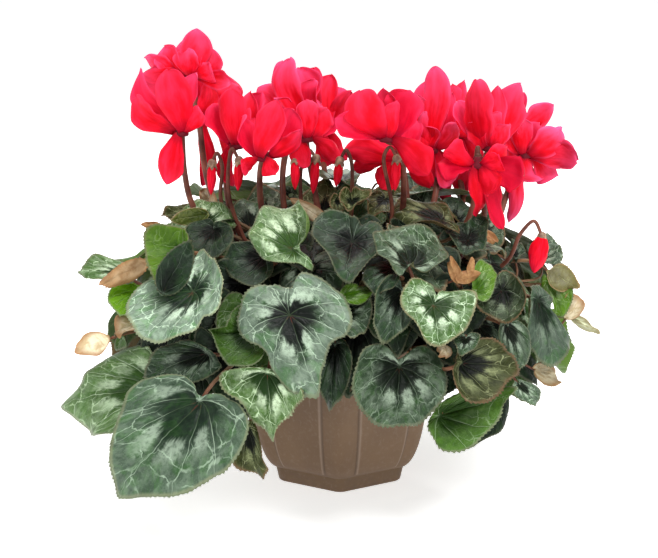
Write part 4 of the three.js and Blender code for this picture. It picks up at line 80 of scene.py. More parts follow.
    ["small_leaf_16",[113.3,-14.0,213.5],[15.3,-11.8,-7.7],[-4.9,11.6,5.1],[4.4,-14.5,-11.5],[3.0,0,0,1.8,5,0.0],[1.0,0.0,0.948,0.131,0.872,0.258,0.801,0.378,0.721,0.495,0.631,0.607,0.535,0.714,0.432,0.813,0.32,0.9,0.192,0.965,0.044,0.994,-0.082,0.947,-0.141,0.812,-0.174,0.669,-0.189,0.53,-0.182,0.388,-0.164,0.245,-0.11,0.112,-0.02,0.0,-0.11,-0.112,-0.164,-0.245,-0.182,-0.388,-0.189,-0.53,-0.174,-0.669,-0.141,-0.812,-0.082,-0.947,0.044,-0.994,0.192,-0.965,0.32,-0.9,0.432,-0.813,0.535,-0.714,0.631,-0.607,0.721,-0.495,0.801,-0.378,0.872,-0.258,0.948,-0.131]],
    ["leaf_24",[124.6,-137.8,163.5],[7.2,-20.6,-30.4],[18.2,9.1,-11.9],[-7.6,-11.7,-10.1],[3.0,0,0,1.8,5,0.0],[1.0,0.0,0.948,0.131,0.872,0.258,0.801,0.378,0.721,0.495,0.631,0.607,0.535,0.714,0.432,0.813,0.32,0.9,0.192,0.965,0.044,0.994,-0.082,0.947,-0.141,0.812,-0.174,0.669,-0.189,0.53,-0.182,0.388,-0.164,0.245,-0.11,0.112,-0.02,0.0,-0.11,-0.112,-0.164,-0.245,-0.182,-0.388,-0.189,-0.53,-0.174,-0.669,-0.141,-0.812,-0.082,-0.947,0.044,-0.994,0.192,-0.965,0.32,-0.9,0.432,-0.813,0.535,-0.714,0.631,-0.607,0.721,-0.495,0.801,-0.378,0.872,-0.258,0.948,-0.131]],
    ["leaf_25",[72.6,-167.9,102.9],[57.2,13.0,12.1],[25.1,10.0,19.8],[12.2,-12.3,-23.8],[5.0,0,0,1.8,5,0.0],[0.988,0.07,0.942,0.194,0.868,0.304,0.779,0.403,0.682,0.493,0.579,0.577,0.47,0.653,0.353,0.717,0.228,0.759,0.096,0.763,-0.029,0.72,-0.121,0.626,-0.167,0.502,-0.167,0.37,-0.14,0.24,-0.118,0.109,-0.125,-0.023,-0.153,-0.153,-0.174,-0.284,-0.17,-0.417,-0.156,-0.549,-0.146,-0.682,-0.135,-0.814,-0.084,-0.935,0.019,-1.017,0.146,-1.054,0.268,-1.011,0.363,-0.919,0.458,-0.825,0.549,-0.729,0.631,-0.624,0.705,-0.514,0.779,-0.403,0.855,-0.294,0.927,-0.183,0.98,-0.062]],
    ["leaf_26",[154.4,-93.3,171.9],[5.8,-33.6,-43.4],[26.6,14.1,-24.6],[-15.3,-21.8,-15.1],[4.0,0,0,1.8,5,0.0],[1.0,0.0,0.963,0.145,0.889,0.276,0.801,0.397,0.707,0.515,0.612,0.631,0.511,0.743,0.403,0.847,0.308,0.934,0.283,0.975,0.227,0.872,0.172,0.733,0.129,0.604,0.095,0.473,0.07,0.327,0.013,0.297,-0.123,0.36,-0.245,0.292,-0.265,0.145,-0.248,-0.005,-0.243,-0.155,-0.252,-0.305,-0.261,-0.455,-0.258,-0.605,-0.229,-0.752,-0.153,-0.88,-0.025,-0.956,0.124,-0.962,0.265,-0.912,0.391,-0.831,0.505,-0.732,0.609,-0.624,0.708,-0.511,0.803,-0.395,0.895,-0.276,0.97,-0.146]],
    ["small_leaf_17",[133.5,-147.8,120.6],[12.4,-0.7,-16.9],[13.8,6.4,-7.2],[-2.6,-4.8,-8.4],[3.0,0,0,1.8,5,0.0],[1.0,0.0,0.945,0.136,0.867,0.267,0.792,0.392,0.707,0.513,0.613,0.629,0.512,0.738,0.402,0.838,0.281,0.923,0.142,0.98,-0.011,0.993,-0.137,0.928,-0.217,0.797,-0.266,0.654,-0.283,0.509,-0.27,0.361,-0.235,0.217,-0.142,0.094,-0.03,0.0,-0.142,-0.094,-0.235,-0.217,-0.27,-0.361,-0.283,-0.509,-0.266,-0.654,-0.217,-0.797,-0.137,-0.928,-0.011,-0.993,0.142,-0.98,0.281,-0.923,0.402,-0.838,0.512,-0.738,0.613,-0.629,0.707,-0.513,0.792,-0.392,0.867,-0.267,0.945,-0.136]],
    ["small_leaf_18",[148.4,-125.2,124.9],[21.8,11.2,-9.7],[6.4,6.3,3.3],[7.8,-4.0,-12.7],[3.0,0,0,1.8,5,0.0],[1.0,0.0,0.949,0.129,0.874,0.254,0.805,0.373,0.726,0.488,0.638,0.598,0.544,0.704,0.444,0.802,0.335,0.889,0.213,0.957,0.068,0.992,-0.059,0.954,-0.105,0.818,-0.129,0.674,-0.141,0.538,-0.137,0.398,-0.125,0.257,-0.088,0.122,-0.015,0.0,-0.088,-0.122,-0.125,-0.257,-0.137,-0.398,-0.141,-0.538,-0.129,-0.674,-0.105,-0.818,-0.059,-0.954,0.068,-0.992,0.213,-0.957,0.335,-0.889,0.444,-0.802,0.544,-0.704,0.638,-0.598,0.726,-0.488,0.805,-0.373,0.874,-0.254,0.949,-0.129]],
    ["small_leaf_19",[140.4,-38.4,195.1],[3.2,15.2,9.3],[-5.5,9.7,2.2],[9.3,4.8,3.2],[3.0,0,0,1.8,5,0.0],[1.0,0.0,0.941,0.142,0.86,0.278,0.782,0.408,0.691,0.533,0.591,0.653,0.485,0.765,0.366,0.866,0.233,0.946,0.083,0.992,-0.073,0.984,-0.205,0.906,-0.3,0.779,-0.361,0.635,-0.377,0.482,-0.352,0.328,-0.293,0.189,-0.163,0.079,-0.04,0.0,-0.163,-0.079,-0.293,-0.189,-0.352,-0.328,-0.377,-0.482,-0.361,-0.635,-0.3,-0.779,-0.205,-0.906,-0.073,-0.984,0.083,-0.992,0.233,-0.946,0.366,-0.866,0.485,-0.765,0.591,-0.653,0.691,-0.533,0.782,-0.408,0.86,-0.278,0.941,-0.142]],
    ["small_leaf_20",[167.0,-0.5,185.4],[9.9,14.0,15.9],[-10.5,14.4,7.9],[16.8,-6.6,2.0],[3.0,0,0,1.8,5,0.0],[1.0,0.0,0.947,0.134,0.87,0.262,0.797,0.385,0.714,0.504,0.622,0.618,0.524,0.726,0.418,0.825,0.301,0.911,0.168,0.972,0.018,0.994,-0.108,0.938,-0.178,0.805,-0.22,0.662,-0.236,0.52,-0.226,0.375,-0.201,0.232,-0.128,0.103,-0.025,0.0,-0.128,-0.103,-0.201,-0.232,-0.226,-0.375,-0.236,-0.52,-0.22,-0.662,-0.178,-0.805,-0.108,-0.938,0.018,-0.994,0.168,-0.972,0.301,-0.911,0.418,-0.825,0.524,-0.726,0.622,-0.618,0.714,-0.504,0.797,-0.385,0.87,-0.262,0.947,-0.134]],
    ["small_leaf_22",[174.8,-8.6,166.8],[5.9,-31.8,-22.8],[17.9,-4.2,-2.3],[-6.3,-11.6,-2.3],[3.0,0,0,1.8,5,0.0],[1.0,0.0,0.945,0.136,0.867,0.267,0.792,0.392,0.707,0.513,0.613,0.629,0.512,0.738,0.402,0.838,0.281,0.923,0.142,0.98,-0.011,0.993,-0.137,0.928,-0.217,0.797,-0.266,0.654,-0.283,0.509,-0.27,0.361,-0.235,0.217,-0.142,0.094,-0.03,0.0,-0.142,-0.094,-0.235,-0.217,-0.27,-0.361,-0.283,-0.509,-0.266,-0.654,-0.217,-0.797,-0.137,-0.928,-0.011,-0.993,0.142,-0.98,0.281,-0.923,0.402,-0.838,0.512,-0.738,0.613,-0.629,0.707,-0.513,0.792,-0.392,0.867,-0.267,0.945,-0.136]],
    ["small_leaf_23",[185.7,-29.5,141.2],[16.6,13.4,12.0],[1.3,16.5,12.0],[11.4,4.4,-0.4],[3.0,0,0,1.8,5,0.0],[1.0,0.0,0.949,0.129,0.874,0.254,0.805,0.373,0.726,0.488,0.638,0.598,0.544,0.704,0.444,0.802,0.335,0.889,0.213,0.957,0.068,0.992,-0.059,0.954,-0.105,0.818,-0.129,0.674,-0.141,0.538,-0.137,0.398,-0.125,0.257,-0.088,0.122,-0.015,0.0,-0.088,-0.122,-0.125,-0.257,-0.137,-0.398,-0.141,-0.538,-0.129,-0.674,-0.105,-0.818,-0.059,-0.954,0.068,-0.992,0.213,-0.957,0.335,-0.889,0.444,-0.802,0.544,-0.704,0.638,-0.598,0.726,-0.488,0.805,-0.373,0.874,-0.254,0.949,-0.129]],
    ["small_leaf_24",[190.4,-20.8,139.0],[25.6,0.9,-13.9],[10.0,9.1,-1.5],[13.1,5.5,-10.9],[3.0,0,0,1.8,5,0.0],[1.0,0.0,0.951,0.127,0.876,0.25,0.808,0.368,0.731,0.481,0.645,0.591,0.552,0.696,0.454,0.793,0.348,0.881,0.231,0.951,0.089,0.99,-0.039,0.959,-0.071,0.821,-0.083,0.676,-0.094,0.543,-0.092,0.406,-0.084,0.266,-0.062,0.129,-0.01,0.0,-0.062,-0.129,-0.084,-0.266,-0.092,-0.406,-0.094,-0.543,-0.083,-0.676,-0.071,-0.821,-0.039,-0.959,0.089,-0.99,0.231,-0.951,0.348,-0.881,0.454,-0.793,0.552,-0.696,0.645,-0.591,0.731,-0.481,0.808,-0.368,0.876,-0.25,0.951,-0.127]],
    ["small_leaf_25",[-69.4,-156.0,87.3],[10.4,-7.3,-36.7],[10.2,-10.1,-9.8],[-17.7,5.8,-15.4],[3.0,0,0,1.8,5,0.0],[1.0,0.0,0.945,0.136,0.867,0.267,0.792,0.392,0.707,0.513,0.613,0.629,0.512,0.738,0.402,0.838,0.281,0.923,0.142,0.98,-0.011,0.993,-0.137,0.928,-0.217,0.797,-0.266,0.654,-0.283,0.509,-0.27,0.361,-0.235,0.217,-0.142,0.094,-0.03,0.0,-0.142,-0.094,-0.235,-0.217,-0.27,-0.361,-0.283,-0.509,-0.266,-0.654,-0.217,-0.797,-0.137,-0.928,-0.011,-0.993,0.142,-0.98,0.281,-0.923,0.402,-0.838,0.512,-0.738,0.613,-0.629,0.707,-0.513,0.792,-0.392,0.867,-0.267,0.945,-0.136]],
    ["small_leaf_26",[-117.5,18.5,221.0],[-33.8,0.6,-3.5],[-12.1,-11.2,-4.6],[-16.5,1.7,6.7],[3.0,0,0,1.8,5,0.0],[1.0,0.0,0.948,0.131,0.872,0.258,0.801,0.378,0.721,0.495,0.631,0.607,0.535,0.714,0.432,0.813,0.32,0.9,0.192,0.965,0.044,0.994,-0.082,0.947,-0.141,0.812,-0.174,0.669,-0.189,0.53,-0.182,0.388,-0.164,0.245,-0.11,0.112,-0.02,0.0,-0.11,-0.112,-0.164,-0.245,-0.182,-0.388,-0.189,-0.53,-0.174,-0.669,-0.141,-0.812,-0.082,-0.947,0.044,-0.994,0.192,-0.965,0.32,-0.9,0.432,-0.813,0.535,-0.714,0.631,-0.607,0.721,-0.495,0.801,-0.378,0.872,-0.258,0.948,-0.131]],
    ["small_leaf_27",[-96.4,29.4,224.2],[-16.7,-3.9,-1.0],[-9.2,-1.4,-9.1],[-8.0,-2.9,5.7],[3.0,0,0,1.8,5,0.0],[1.0,0.0,0.948,0.131,0.872,0.258,0.801,0.378,0.721,0.495,0.631,0.607,0.535,0.714,0.432,0.813,0.32,0.9,0.192,0.965,0.044,0.994,-0.082,0.947,-0.141,0.812,-0.174,0.669,-0.189,0.53,-0.182,0.388,-0.164,0.245,-0.11,0.112,-0.02,0.0,-0.11,-0.112,-0.164,-0.245,-0.182,-0.388,-0.189,-0.53,-0.174,-0.669,-0.141,-0.812,-0.082,-0.947,0.044,-0.994,0.192,-0.965,0.32,-0.9,0.432,-0.813,0.535,-0.714,0.631,-0.607,0.721,-0.495,0.801,-0.378,0.872,-0.258,0.948,-0.131]],
    ["small_leaf_28",[10.5,31.0,241.1],[-15.2,-0.3,-3.4],[9.0,-18.6,-2.7],[-0.8,0.8,6.9],[3.0,0,0,1.8,5,0.0],[1.0,0.0,0.943,0.139,0.864,0.273,0.787,0.4,0.699,0.523,0.602,0.641,0.499,0.752,0.385,0.852,0.258,0.935,0.113,0.986,-0.041,0.989,-0.17,0.917,-0.258,0.788,-0.313,0.645,-0.331,0.496,-0.312,0.345,-0.266,0.203,-0.154,0.086,-0.035,0.0,-0.154,-0.086,-0.266,-0.203,-0.312,-0.345,-0.331,-0.496,-0.313,-0.645,-0.258,-0.788,-0.17,-0.917,-0.041,-0.989,0.113,-0.986,0.258,-0.935,0.385,-0.852,0.499,-0.752,0.602,-0.641,0.699,-0.523,0.787,-0.4,0.864,-0.273,0.943,-0.139]],
    ["small_leaf_29",[-40.2,23.3,233.8],[-25.2,-1.6,-3.1],[-8.0,-20.6,-4.7],[-11.9,1.0,10.3],[3.0,0,0,1.8,5,0.0],[1.0,0.0,0.945,0.136,0.867,0.267,0.792,0.392,0.707,0.513,0.613,0.629,0.512,0.738,0.402,0.838,0.281,0.923,0.142,0.98,-0.011,0.993,-0.137,0.928,-0.217,0.797,-0.266,0.654,-0.283,0.509,-0.27,0.361,-0.235,0.217,-0.142,0.094,-0.03,0.0,-0.142,-0.094,-0.235,-0.217,-0.27,-0.361,-0.283,-0.509,-0.266,-0.654,-0.217,-0.797,-0.137,-0.928,-0.011,-0.993,0.142,-0.98,0.281,-0.923,0.402,-0.838,0.512,-0.738,0.613,-0.629,0.707,-0.513,0.792,-0.392,0.867,-0.267,0.945,-0.136]],
    ["small_leaf_30",[-23.5,36.6,236.7],[-10.2,0.2,6.9],[7.4,-0.3,-5.5],[-4.5,0.4,8.1],[3.0,0,0,1.8,5,0.0],[1.0,0.0,0.945,0.136,0.867,0.267,0.792,0.392,0.707,0.513,0.613,0.629,0.512,0.738,0.402,0.838,0.281,0.923,0.142,0.98,-0.011,0.993,-0.137,0.928,-0.217,0.797,-0.266,0.654,-0.283,0.509,-0.27,0.361,-0.235,0.217,-0.142,0.094,-0.03,0.0,-0.142,-0.094,-0.235,-0.217,-0.27,-0.361,-0.283,-0.509,-0.266,-0.654,-0.217,-0.797,-0.137,-0.928,-0.011,-0.993,0.142,-0.98,0.281,-0.923,0.402,-0.838,0.512,-0.738,0.613,-0.629,0.707,-0.513,0.792,-0.392,0.867,-0.267,0.945,-0.136]],
    ["small_leaf_31",[71.7,32.8,231.3],[13.5,-1.2,2.8],[-0.9,0.6,5.8],[-0.8,-0.3,-4.4],[3.0,0,0,1.8,5,0.0],[1.0,0.0,0.945,0.136,0.867,0.267,0.792,0.392,0.707,0.513,0.613,0.629,0.512,0.738,0.402,0.838,0.281,0.923,0.142,0.98,-0.011,0.993,-0.137,0.928,-0.217,0.797,-0.266,0.654,-0.283,0.509,-0.27,0.361,-0.235,0.217,-0.142,0.094,-0.03,0.0,-0.142,-0.094,-0.235,-0.217,-0.27,-0.361,-0.283,-0.509,-0.266,-0.654,-0.217,-0.797,-0.137,-0.928,-0.011,-0.993,0.142,-0.98,0.281,-0.923,0.402,-0.838,0.512,-0.738,0.613,-0.629,0.707,-0.513,0.792,-0.392,0.867,-0.267,0.945,-0.136]],
    ["small_leaf_32",[39.4,36.0,242.0],[11.0,-0.5,2.7],[-0.7,0.4,6.6],[-0.6,-0.2,-3.6],[3.0,0,0,1.8,5,0.0],[1.0,0.0,0.943,0.139,0.864,0.273,0.787,0.4,0.699,0.523,0.602,0.641,0.499,0.752,0.385,0.852,0.258,0.935,0.113,0.986,-0.041,0.989,-0.17,0.917,-0.258,0.788,-0.313,0.645,-0.331,0.496,-0.312,0.345,-0.266,0.203,-0.154,0.086,-0.035,0.0,-0.154,-0.086,-0.266,-0.203,-0.312,-0.345,-0.331,-0.496,-0.313,-0.645,-0.258,-0.788,-0.17,-0.917,-0.041,-0.989,0.113,-0.986,0.258,-0.935,0.385,-0.852,0.499,-0.752,0.602,-0.641,0.699,-0.523,0.787,-0.4,0.864,-0.273,0.943,-0.139]],
    ["small_leaf_33",[-110.0,32.0,228.9],[-8.1,-1.9,10.6],[-7.1,0.0,-0.6],[2.3,0.4,7.9],[3.0,0,0,1.8,5,0.0],[1.0,0.0,0.948,0.131,0.872,0.258,0.801,0.378,0.721,0.495,0.631,0.607,0.535,0.714,0.432,0.813,0.32,0.9,0.192,0.965,0.044,0.994,-0.082,0.947,-0.141,0.812,-0.174,0.669,-0.189,0.53,-0.182,0.388,-0.164,0.245,-0.11,0.112,-0.02,0.0,-0.11,-0.112,-0.164,-0.245,-0.182,-0.388,-0.189,-0.53,-0.174,-0.669,-0.141,-0.812,-0.082,-0.947,0.044,-0.994,0.192,-0.965,0.32,-0.9,0.432,-0.813,0.535,-0.714,0.631,-0.607,0.721,-0.495,0.801,-0.378,0.872,-0.258,0.948,-0.131]],
    ["small_leaf_34",[0.0,33.6,245.9],[0.4,66.9,-5.1],[-19.4,-2.2,6.0],[18.4,-4.0,6.9],[6.0,2.8,3.8,2.2,6,4.22],[1.041,0.0,0.974,0.146,0.869,0.279,0.758,0.396,0.645,0.503,0.543,0.61,0.45,0.728,0.349,0.854,0.225,0.964,0.073,1.023,-0.087,1.007,-0.219,0.913,-0.313,0.777,-0.374,0.632,-0.392,0.481,-0.365,0.326,-0.299,0.185,-0.16,0.076,-0.039,0.0,-0.157,-0.074,-0.292,-0.18,-0.365,-0.326,-0.405,-0.496,-0.393,-0.664,-0.325,-0.805,-0.218,-0.91,-0.084,-0.963,0.069,-0.961,0.215,-0.922,0.348,-0.852,0.468,-0.756,0.572,-0.643,0.667,-0.52,0.757,-0.396,0.848,-0.272,0.953,-0.142]],
    ["leaf_27",[70.1,35.0,235.5],[71.8,26.4,-10.8],[-20.1,23.3,9.0],[10.3,-29.9,4.8],[5.3,2.5,-0.8,2.2,4,2.15],[1.023,0.0,0.925,0.139,0.813,0.263,0.721,0.38,0.638,0.503,0.559,0.638,0.471,0.777,0.359,0.902,0.22,0.988,0.061,1.016,-0.098,0.981,-0.227,0.89,-0.326,0.766,-0.39,0.626,-0.404,0.47,-0.369,0.312,-0.299,0.175,-0.161,0.073,-0.042,0.0,-0.168,-0.076,-0.319,-0.187,-0.395,-0.333,-0.423,-0.492,-0.396,-0.636,-0.321,-0.756,-0.22,-0.861,-0.093,-0.94,0.058,-0.971,0.211,-0.948,0.347,-0.873,0.465,-0.767,0.568,-0.648,0.669,-0.528,0.772,-0.407,0.87,-0.281,0.964,-0.145]],
    ["leaf_28",[-69.7,58.4,234.3],[-61.0,26.7,-15.5],[-15.6,-36.9,4.5],[24.2,3.5,2.1],[6.2,2.3,5.8,2.2,4,1.93],[1.026,0.0,0.985,0.147,0.899,0.288,0.798,0.414,0.682,0.525,0.569,0.628,0.464,0.733,0.355,0.841,0.231,0.936,0.084,0.99,-0.072,0.98,-0.2,0.897,-0.294,0.773,-0.359,0.64,-0.383,0.496,-0.363,0.343,-0.301,0.197,-0.163,0.081,-0.038,0.0,-0.153,-0.076,-0.275,-0.18,-0.338,-0.319,-0.374,-0.484,-0.366,-0.652,-0.307,-0.805,-0.207,-0.927,-0.073,-0.992,0.084,-0.992,0.234,-0.948,0.367,-0.869,0.483,-0.764,0.58,-0.641,0.664,-0.511,0.741,-0.385,0.823,-0.264,0.928,-0.139]],
    ["leaf_29",[38.0,104.7,223.4],[55.8,50.1,-30.4],[-38.8,16.9,2.6],[42.2,-15.2,3.2],[7.7,1.4,-1.9,2.2,6,1.02],[1.03,0.0,0.958,0.143,0.861,0.277,0.772,0.403,0.681,0.529,0.585,0.655,0.479,0.77,0.356,0.863,0.219,0.924,0.071,0.949,-0.078,0.938,-0.208,0.881,-0.313,0.785,-0.385,0.659,-0.406,0.503,-0.372,0.336,-0.3,0.187,-0.161,0.077,-0.04,0.0,-0.16,-0.076,-0.294,-0.184,-0.357,-0.323,-0.383,-0.475,-0.365,-0.623,-0.305,-0.765,-0.213,-0.902,-0.084,-1.005,0.077,-1.035,0.234,-0.988,0.364,-0.883,0.467,-0.751,0.553,-0.619,0.641,-0.498,0.74,-0.386,0.843,-0.271,0.952,-0.143]],
    ["leaf_30",[-61.7,84.9,213.8],[-51.5,80.7,-27.4],[-44.2,-12.9,2.3],[37.6,32.7,9.7],[5.6,0.5,6.3,2.2,4,5.66],[1.012,0.0,0.952,0.142,0.866,0.277,0.771,0.402,0.659,0.512,0.549,0.614,0.446,0.719,0.343,0.834,0.224,0.949,0.077,1.028,-0.086,1.031,-0.221,0.938,-0.312,0.786,-0.364,0.625,-0.376,0.467,-0.351,0.318,-0.294,0.184,-0.162,0.078,-0.04,-0.0,-0.16,-0.076,-0.29,-0.182,-0.355,-0.322,-0.392,-0.487,-0.385,-0.659,-0.324,-0.814,-0.219,-0.93,-0.082,-0.978,0.071,-0.955,0.212,-0.898,0.34,-0.827,0.463,-0.746,0.58,-0.65,0.687,-0.534,0.779,-0.406,0.855,-0.274,0.937,-0.14]],
    ["leaf_31",[139.8,62.7,198.3],[63.8,-13.4,-41.4],[-4.9,21.1,-2.6],[17.2,-52.7,-1.4],[5.6,1.5,0.3,2.2,6,5.18],[0.958,0.0,0.923,0.142,0.866,0.287,0.793,0.428,0.692,0.557,0.578,0.673,0.461,0.78,0.337,0.881,0.199,0.965,0.042,1.004,-0.117,0.975,-0.247,0.874,-0.341,0.737,-0.403,0.594,-0.424,0.451,-0.403,0.309,-0.337,0.179,-0.181,0.076,-0.048,0.0,-0.174,-0.073,-0.317,-0.169,-0.385,-0.296,-0.421,-0.448,-0.414,-0.611,-0.354,-0.764,-0.252,-0.891,-0.116,-0.969,0.041,-0.986,0.198,-0.959,0.343,-0.897,0.477,-0.808,0.593,-0.691,0.688,-0.554,0.76,-0.41,0.815,-0.27,0.883,-0.136]],
    ["leaf_32",[-141.6,63.9,193.1],[-56.3,2.5,-42.6],[-15.9,-44.6,-1.5],[9.6,20.1,-3.0],[8.2,1.7,5.7,2.2,6,4.67],[1.014,0.0,0.961,0.147,0.871,0.287,0.776,0.416,0.673,0.539,0.571,0.661,0.465,0.781,0.344,0.888,0.202,0.96,0.046,0.977,-0.107,0.937,-0.234,0.852,-0.337,0.745,-0.413,0.624,-0.441,0.482,-0.413,0.326,-0.333,0.182,-0.173,0.074,-0.045,-0.0,-0.165,-0.071,-0.31,-0.17,-0.386,-0.304,-0.423,-0.462,-0.41,-0.619,-0.343,-0.759,-0.242,-0.881,-0.111,-0.972,0.048,-1.012,0.21,-0.994,0.355,-0.917,0.474,-0.796,0.566,-0.656,0.645,-0.516,0.724,-0.388,0.811,-0.267,0.918,-0.14]],
    ["leaf_33",[122.1,103.9,182.7],[76.6,-3.2,-58.5],[-31.3,41.4,-4.7],[31.8,-57.8,-1.3],[8.1,0.8,1.0,2.2,6,2.59],[0.96,0.0,0.908,0.139,0.842,0.277,0.77,0.412,0.675,0.539,0.569,0.658,0.46,0.772,0.343,0.884,0.208,0.981,0.05,1.032,-0.113,1.006,-0.244,0.897,-0.335,0.745,-0.388,0.59,-0.402,0.441,-0.38,0.302,-0.321,0.176,-0.176,0.076,-0.047,0.0,-0.174,-0.075,-0.32,-0.176,-0.388,-0.308,-0.421,-0.463,-0.41,-0.623,-0.346,-0.769,-0.241,-0.885,-0.107,-0.95,0.046,-0.958,0.197,-0.927,0.339,-0.872,0.475,-0.796,0.599,-0.693,0.705,-0.564,0.786,-0.421,0.841,-0.277,0.901,-0.138]],
    ["leaf_34",[-11.5,164.1,178.0],[-21.2,54.1,-64.6],[-47.9,6.7,-6.2],[60.4,12.6,-15.1],[5.9,2.4,-1.3,2.2,5,5.05],[0.995,0.0,0.915,0.134,0.822,0.259,0.742,0.381,0.664,0.51,0.585,0.647,0.493,0.782,0.377,0.898,0.239,0.972,0.084,0.989,-0.069,0.951,-0.19,0.862,-0.281,0.748,-0.344,0.625,-0.368,0.485,-0.347,0.335,-0.289,0.193,-0.16,0.081,-0.039,0.0,-0.162,-0.082,-0.294,-0.196,-0.351,-0.339,-0.369,-0.487,-0.343,-0.622,-0.279,-0.742,-0.189,-0.857,-0.068,-0.95,0.084,-0.99,0.238,-0.971,0.375,-0.893,0.489,-0.776,0.582,-0.644,0.667,-0.512,0.752,-0.386,0.835,-0.263,0.926,-0.136]],
    ["leaf_35",[-135.7,99.2,173.4],[-48.6,42.0,-57.6],[-43.4,-48.6,-5.3],[33.9,38.2,11.3],[5.4,0.5,-2.8,2.2,5,1.07],[0.977,0.0,0.909,0.138,0.832,0.271,0.753,0.402,0.655,0.525,0.55,0.64,0.444,0.752,0.332,0.867,0.202,0.973,0.046,1.037,-0.119,1.024,-0.255,0.921,-0.347,0.764,-0.397,0.598,-0.403,0.439,-0.375,0.295,-0.313,0.171,-0.171,0.073,-0.046,0.0,-0.173,-0.074,-0.322,-0.176,-0.393,-0.31,-0.429,-0.468,-0.419,-0.632,-0.355,-0.781,-0.248,-0.898,-0.111,-0.957,0.042,-0.952,0.188,-0.908,0.323,-0.844,0.454,-0.769,0.58,-0.675,0.695,-0.557,0.788,-0.421,0.855,-0.279,0.918,-0.139]],
    ["leaf_36",[169.7,42.6,143.9],[19.4,19.4,-46.7],[-13.3,36.8,-1.0],[6.1,-4.4,-3.6],[8.8,0.0,3.8,2.2,4,3.55],[0.98,0.0,0.895,0.133,0.815,0.261,0.75,0.391,0.671,0.523,0.577,0.648,0.471,0.761,0.352,0.861,0.222,0.947,0.073,1.006,-0.087,1.011,-0.223,0.934,-0.318,0.792,-0.369,0.626,-0.372,0.458,-0.34,0.305,-0.285,0.177,-0.161,0.077,-0.042,0.0,-0.17,-0.081,-0.31,-0.192,-0.367,-0.329,-0.388,-0.477,-0.369,-0.626,-0.31,-0.771,-0.215,-0.902,-0.084,-0.98,0.071,-0.978,0.215,-0.917,0.34,-0.83,0.458,-0.74,0.578,-0.649,0.699,-0.544,0.808,-0.421,0.885,-0.284,0.945,-0.141]],
    ["leaf_37",[172.2,58.2,113.1],[25.5,24.0,-56.2],[-29.3,92.3,14.5],[23.1,-10.2,3.1],[6.7,0.1,2.8,2.2,6,0.42],[1.021,0.0,0.924,0.136,0.814,0.258,0.726,0.374,0.648,0.497,0.572,0.632,0.486,0.769,0.376,0.891,0.241,0.977,0.087,1.01,-0.071,0.984,-0.198,0.899,-0.292,0.774,-0.351,0.635,-0.367,0.481,-0.338,0.325,-0.278,0.185,-0.155,0.078,-0.038,0.0,-0.162,-0.081,-0.299,-0.199,-0.362,-0.348,-0.383,-0.503,-0.355,-0.642,-0.286,-0.761,-0.192,-0.868,-0.068,-0.946,0.083,-0.971,0.232,-0.94,0.364,-0.862,0.477,-0.755,0.578,-0.638,0.678,-0.521,0.78,-0.402,0.875,-0.278,0.966,-0.143]],
    ["leaf_38",[106.0,158.2,116.0],[18.7,24.4,-75.5],[-58.3,36.8,3.9],[41.8,-19.0,-10.1],[5.7,1.8,2.1,2.2,4,5.42],[1.05,0.0,0.957,0.147,0.843,0.278,0.743,0.4,0.648,0.522,0.555,0.647,0.454,0.77,0.334,0.877,0.195,0.951,0.04,0.982,-0.117,0.966,-0.255,0.9,-0.367,0.791,-0.439,0.648,-0.45,0.479,-0.402,0.308,-0.314,0.167,-0.163,0.068,-0.044,0.0,-0.167,-0.07,-0.325,-0.173,-0.409,-0.314,-0.447,-0.476,-0.428,-0.632,-0.357,-0.771,-0.253,-0.893,-0.118,-0.982,0.041,-1.008,0.198,-0.966,0.332,-0.87,0.442,-0.75,0.54,-0.63,0.643,-0.518,0.758,-0.408,0.871,-0.288,0.98,-0.151]],
    ["leaf_39",[-39.2,188.5,110.4],[-15.7,11.2,-80.6],[-66.8,-6.1,-9.4],[38.3,15.3,-7.8],[8.4,2.3,0.2,2.2,6,1.14],[0.99,0.0,0.932,0.139,0.846,0.271,0.76,0.397,0.668,0.52,0.577,0.647,0.482,0.778,0.368,0.897,0.231,0.982,0.074,1.006,-0.082,0.96,-0.204,0.857,-0.293,0.733,-0.358,0.61,-0.386,0.477,-0.368,0.332,-0.308,0.192,-0.168,0.08,-0.041,0.0,-0.164,-0.078,-0.298,-0.186,-0.361,-0.326,-0.389,-0.48,-0.368,-0.627,-0.302,-0.754,-0.205,-0.864,-0.08,-0.944,0.072,-0.978,0.227,-0.966,0.371,-0.904,0.494,-0.798,0.593,-0.665,0.674,-0.524,0.746,-0.389,0.818,-0.262,0.908,-0.135]],
    ["leaf_40",[-144.6,137.7,114.3],[-33.7,-10.3,-74.9],[-33.7,-23.4,-8.4],[35.2,39.3,-3.3],[7.3,2.6,-0.1,2.2,5,3.64],[1.014,0.0,0.927,0.141,0.82,0.269,0.721,0.388,0.627,0.507,0.541,0.637,0.452,0.777,0.341,0.912,0.201,1.01,0.037,1.036,-0.124,0.984,-0.253,0.874,-0.349,0.74,-0.414,0.601,-0.432,0.453,-0.4,0.302,-0.323,0.17,-0.169,0.07,-0.046,0.0,-0.171,-0.071,-0.331,-0.174,-0.418,-0.316,-0.457,-0.48,-0.435,-0.633,-0.356,-0.756,-0.246,-0.852,-0.116,-0.921,0.034,-0.955,0.188,-0.947,0.333,-0.891,0.461,-0.793,0.569,-0.671,0.665,-0.538,0.756,-0.406,0.843,-0.276,0.937,-0.142]],
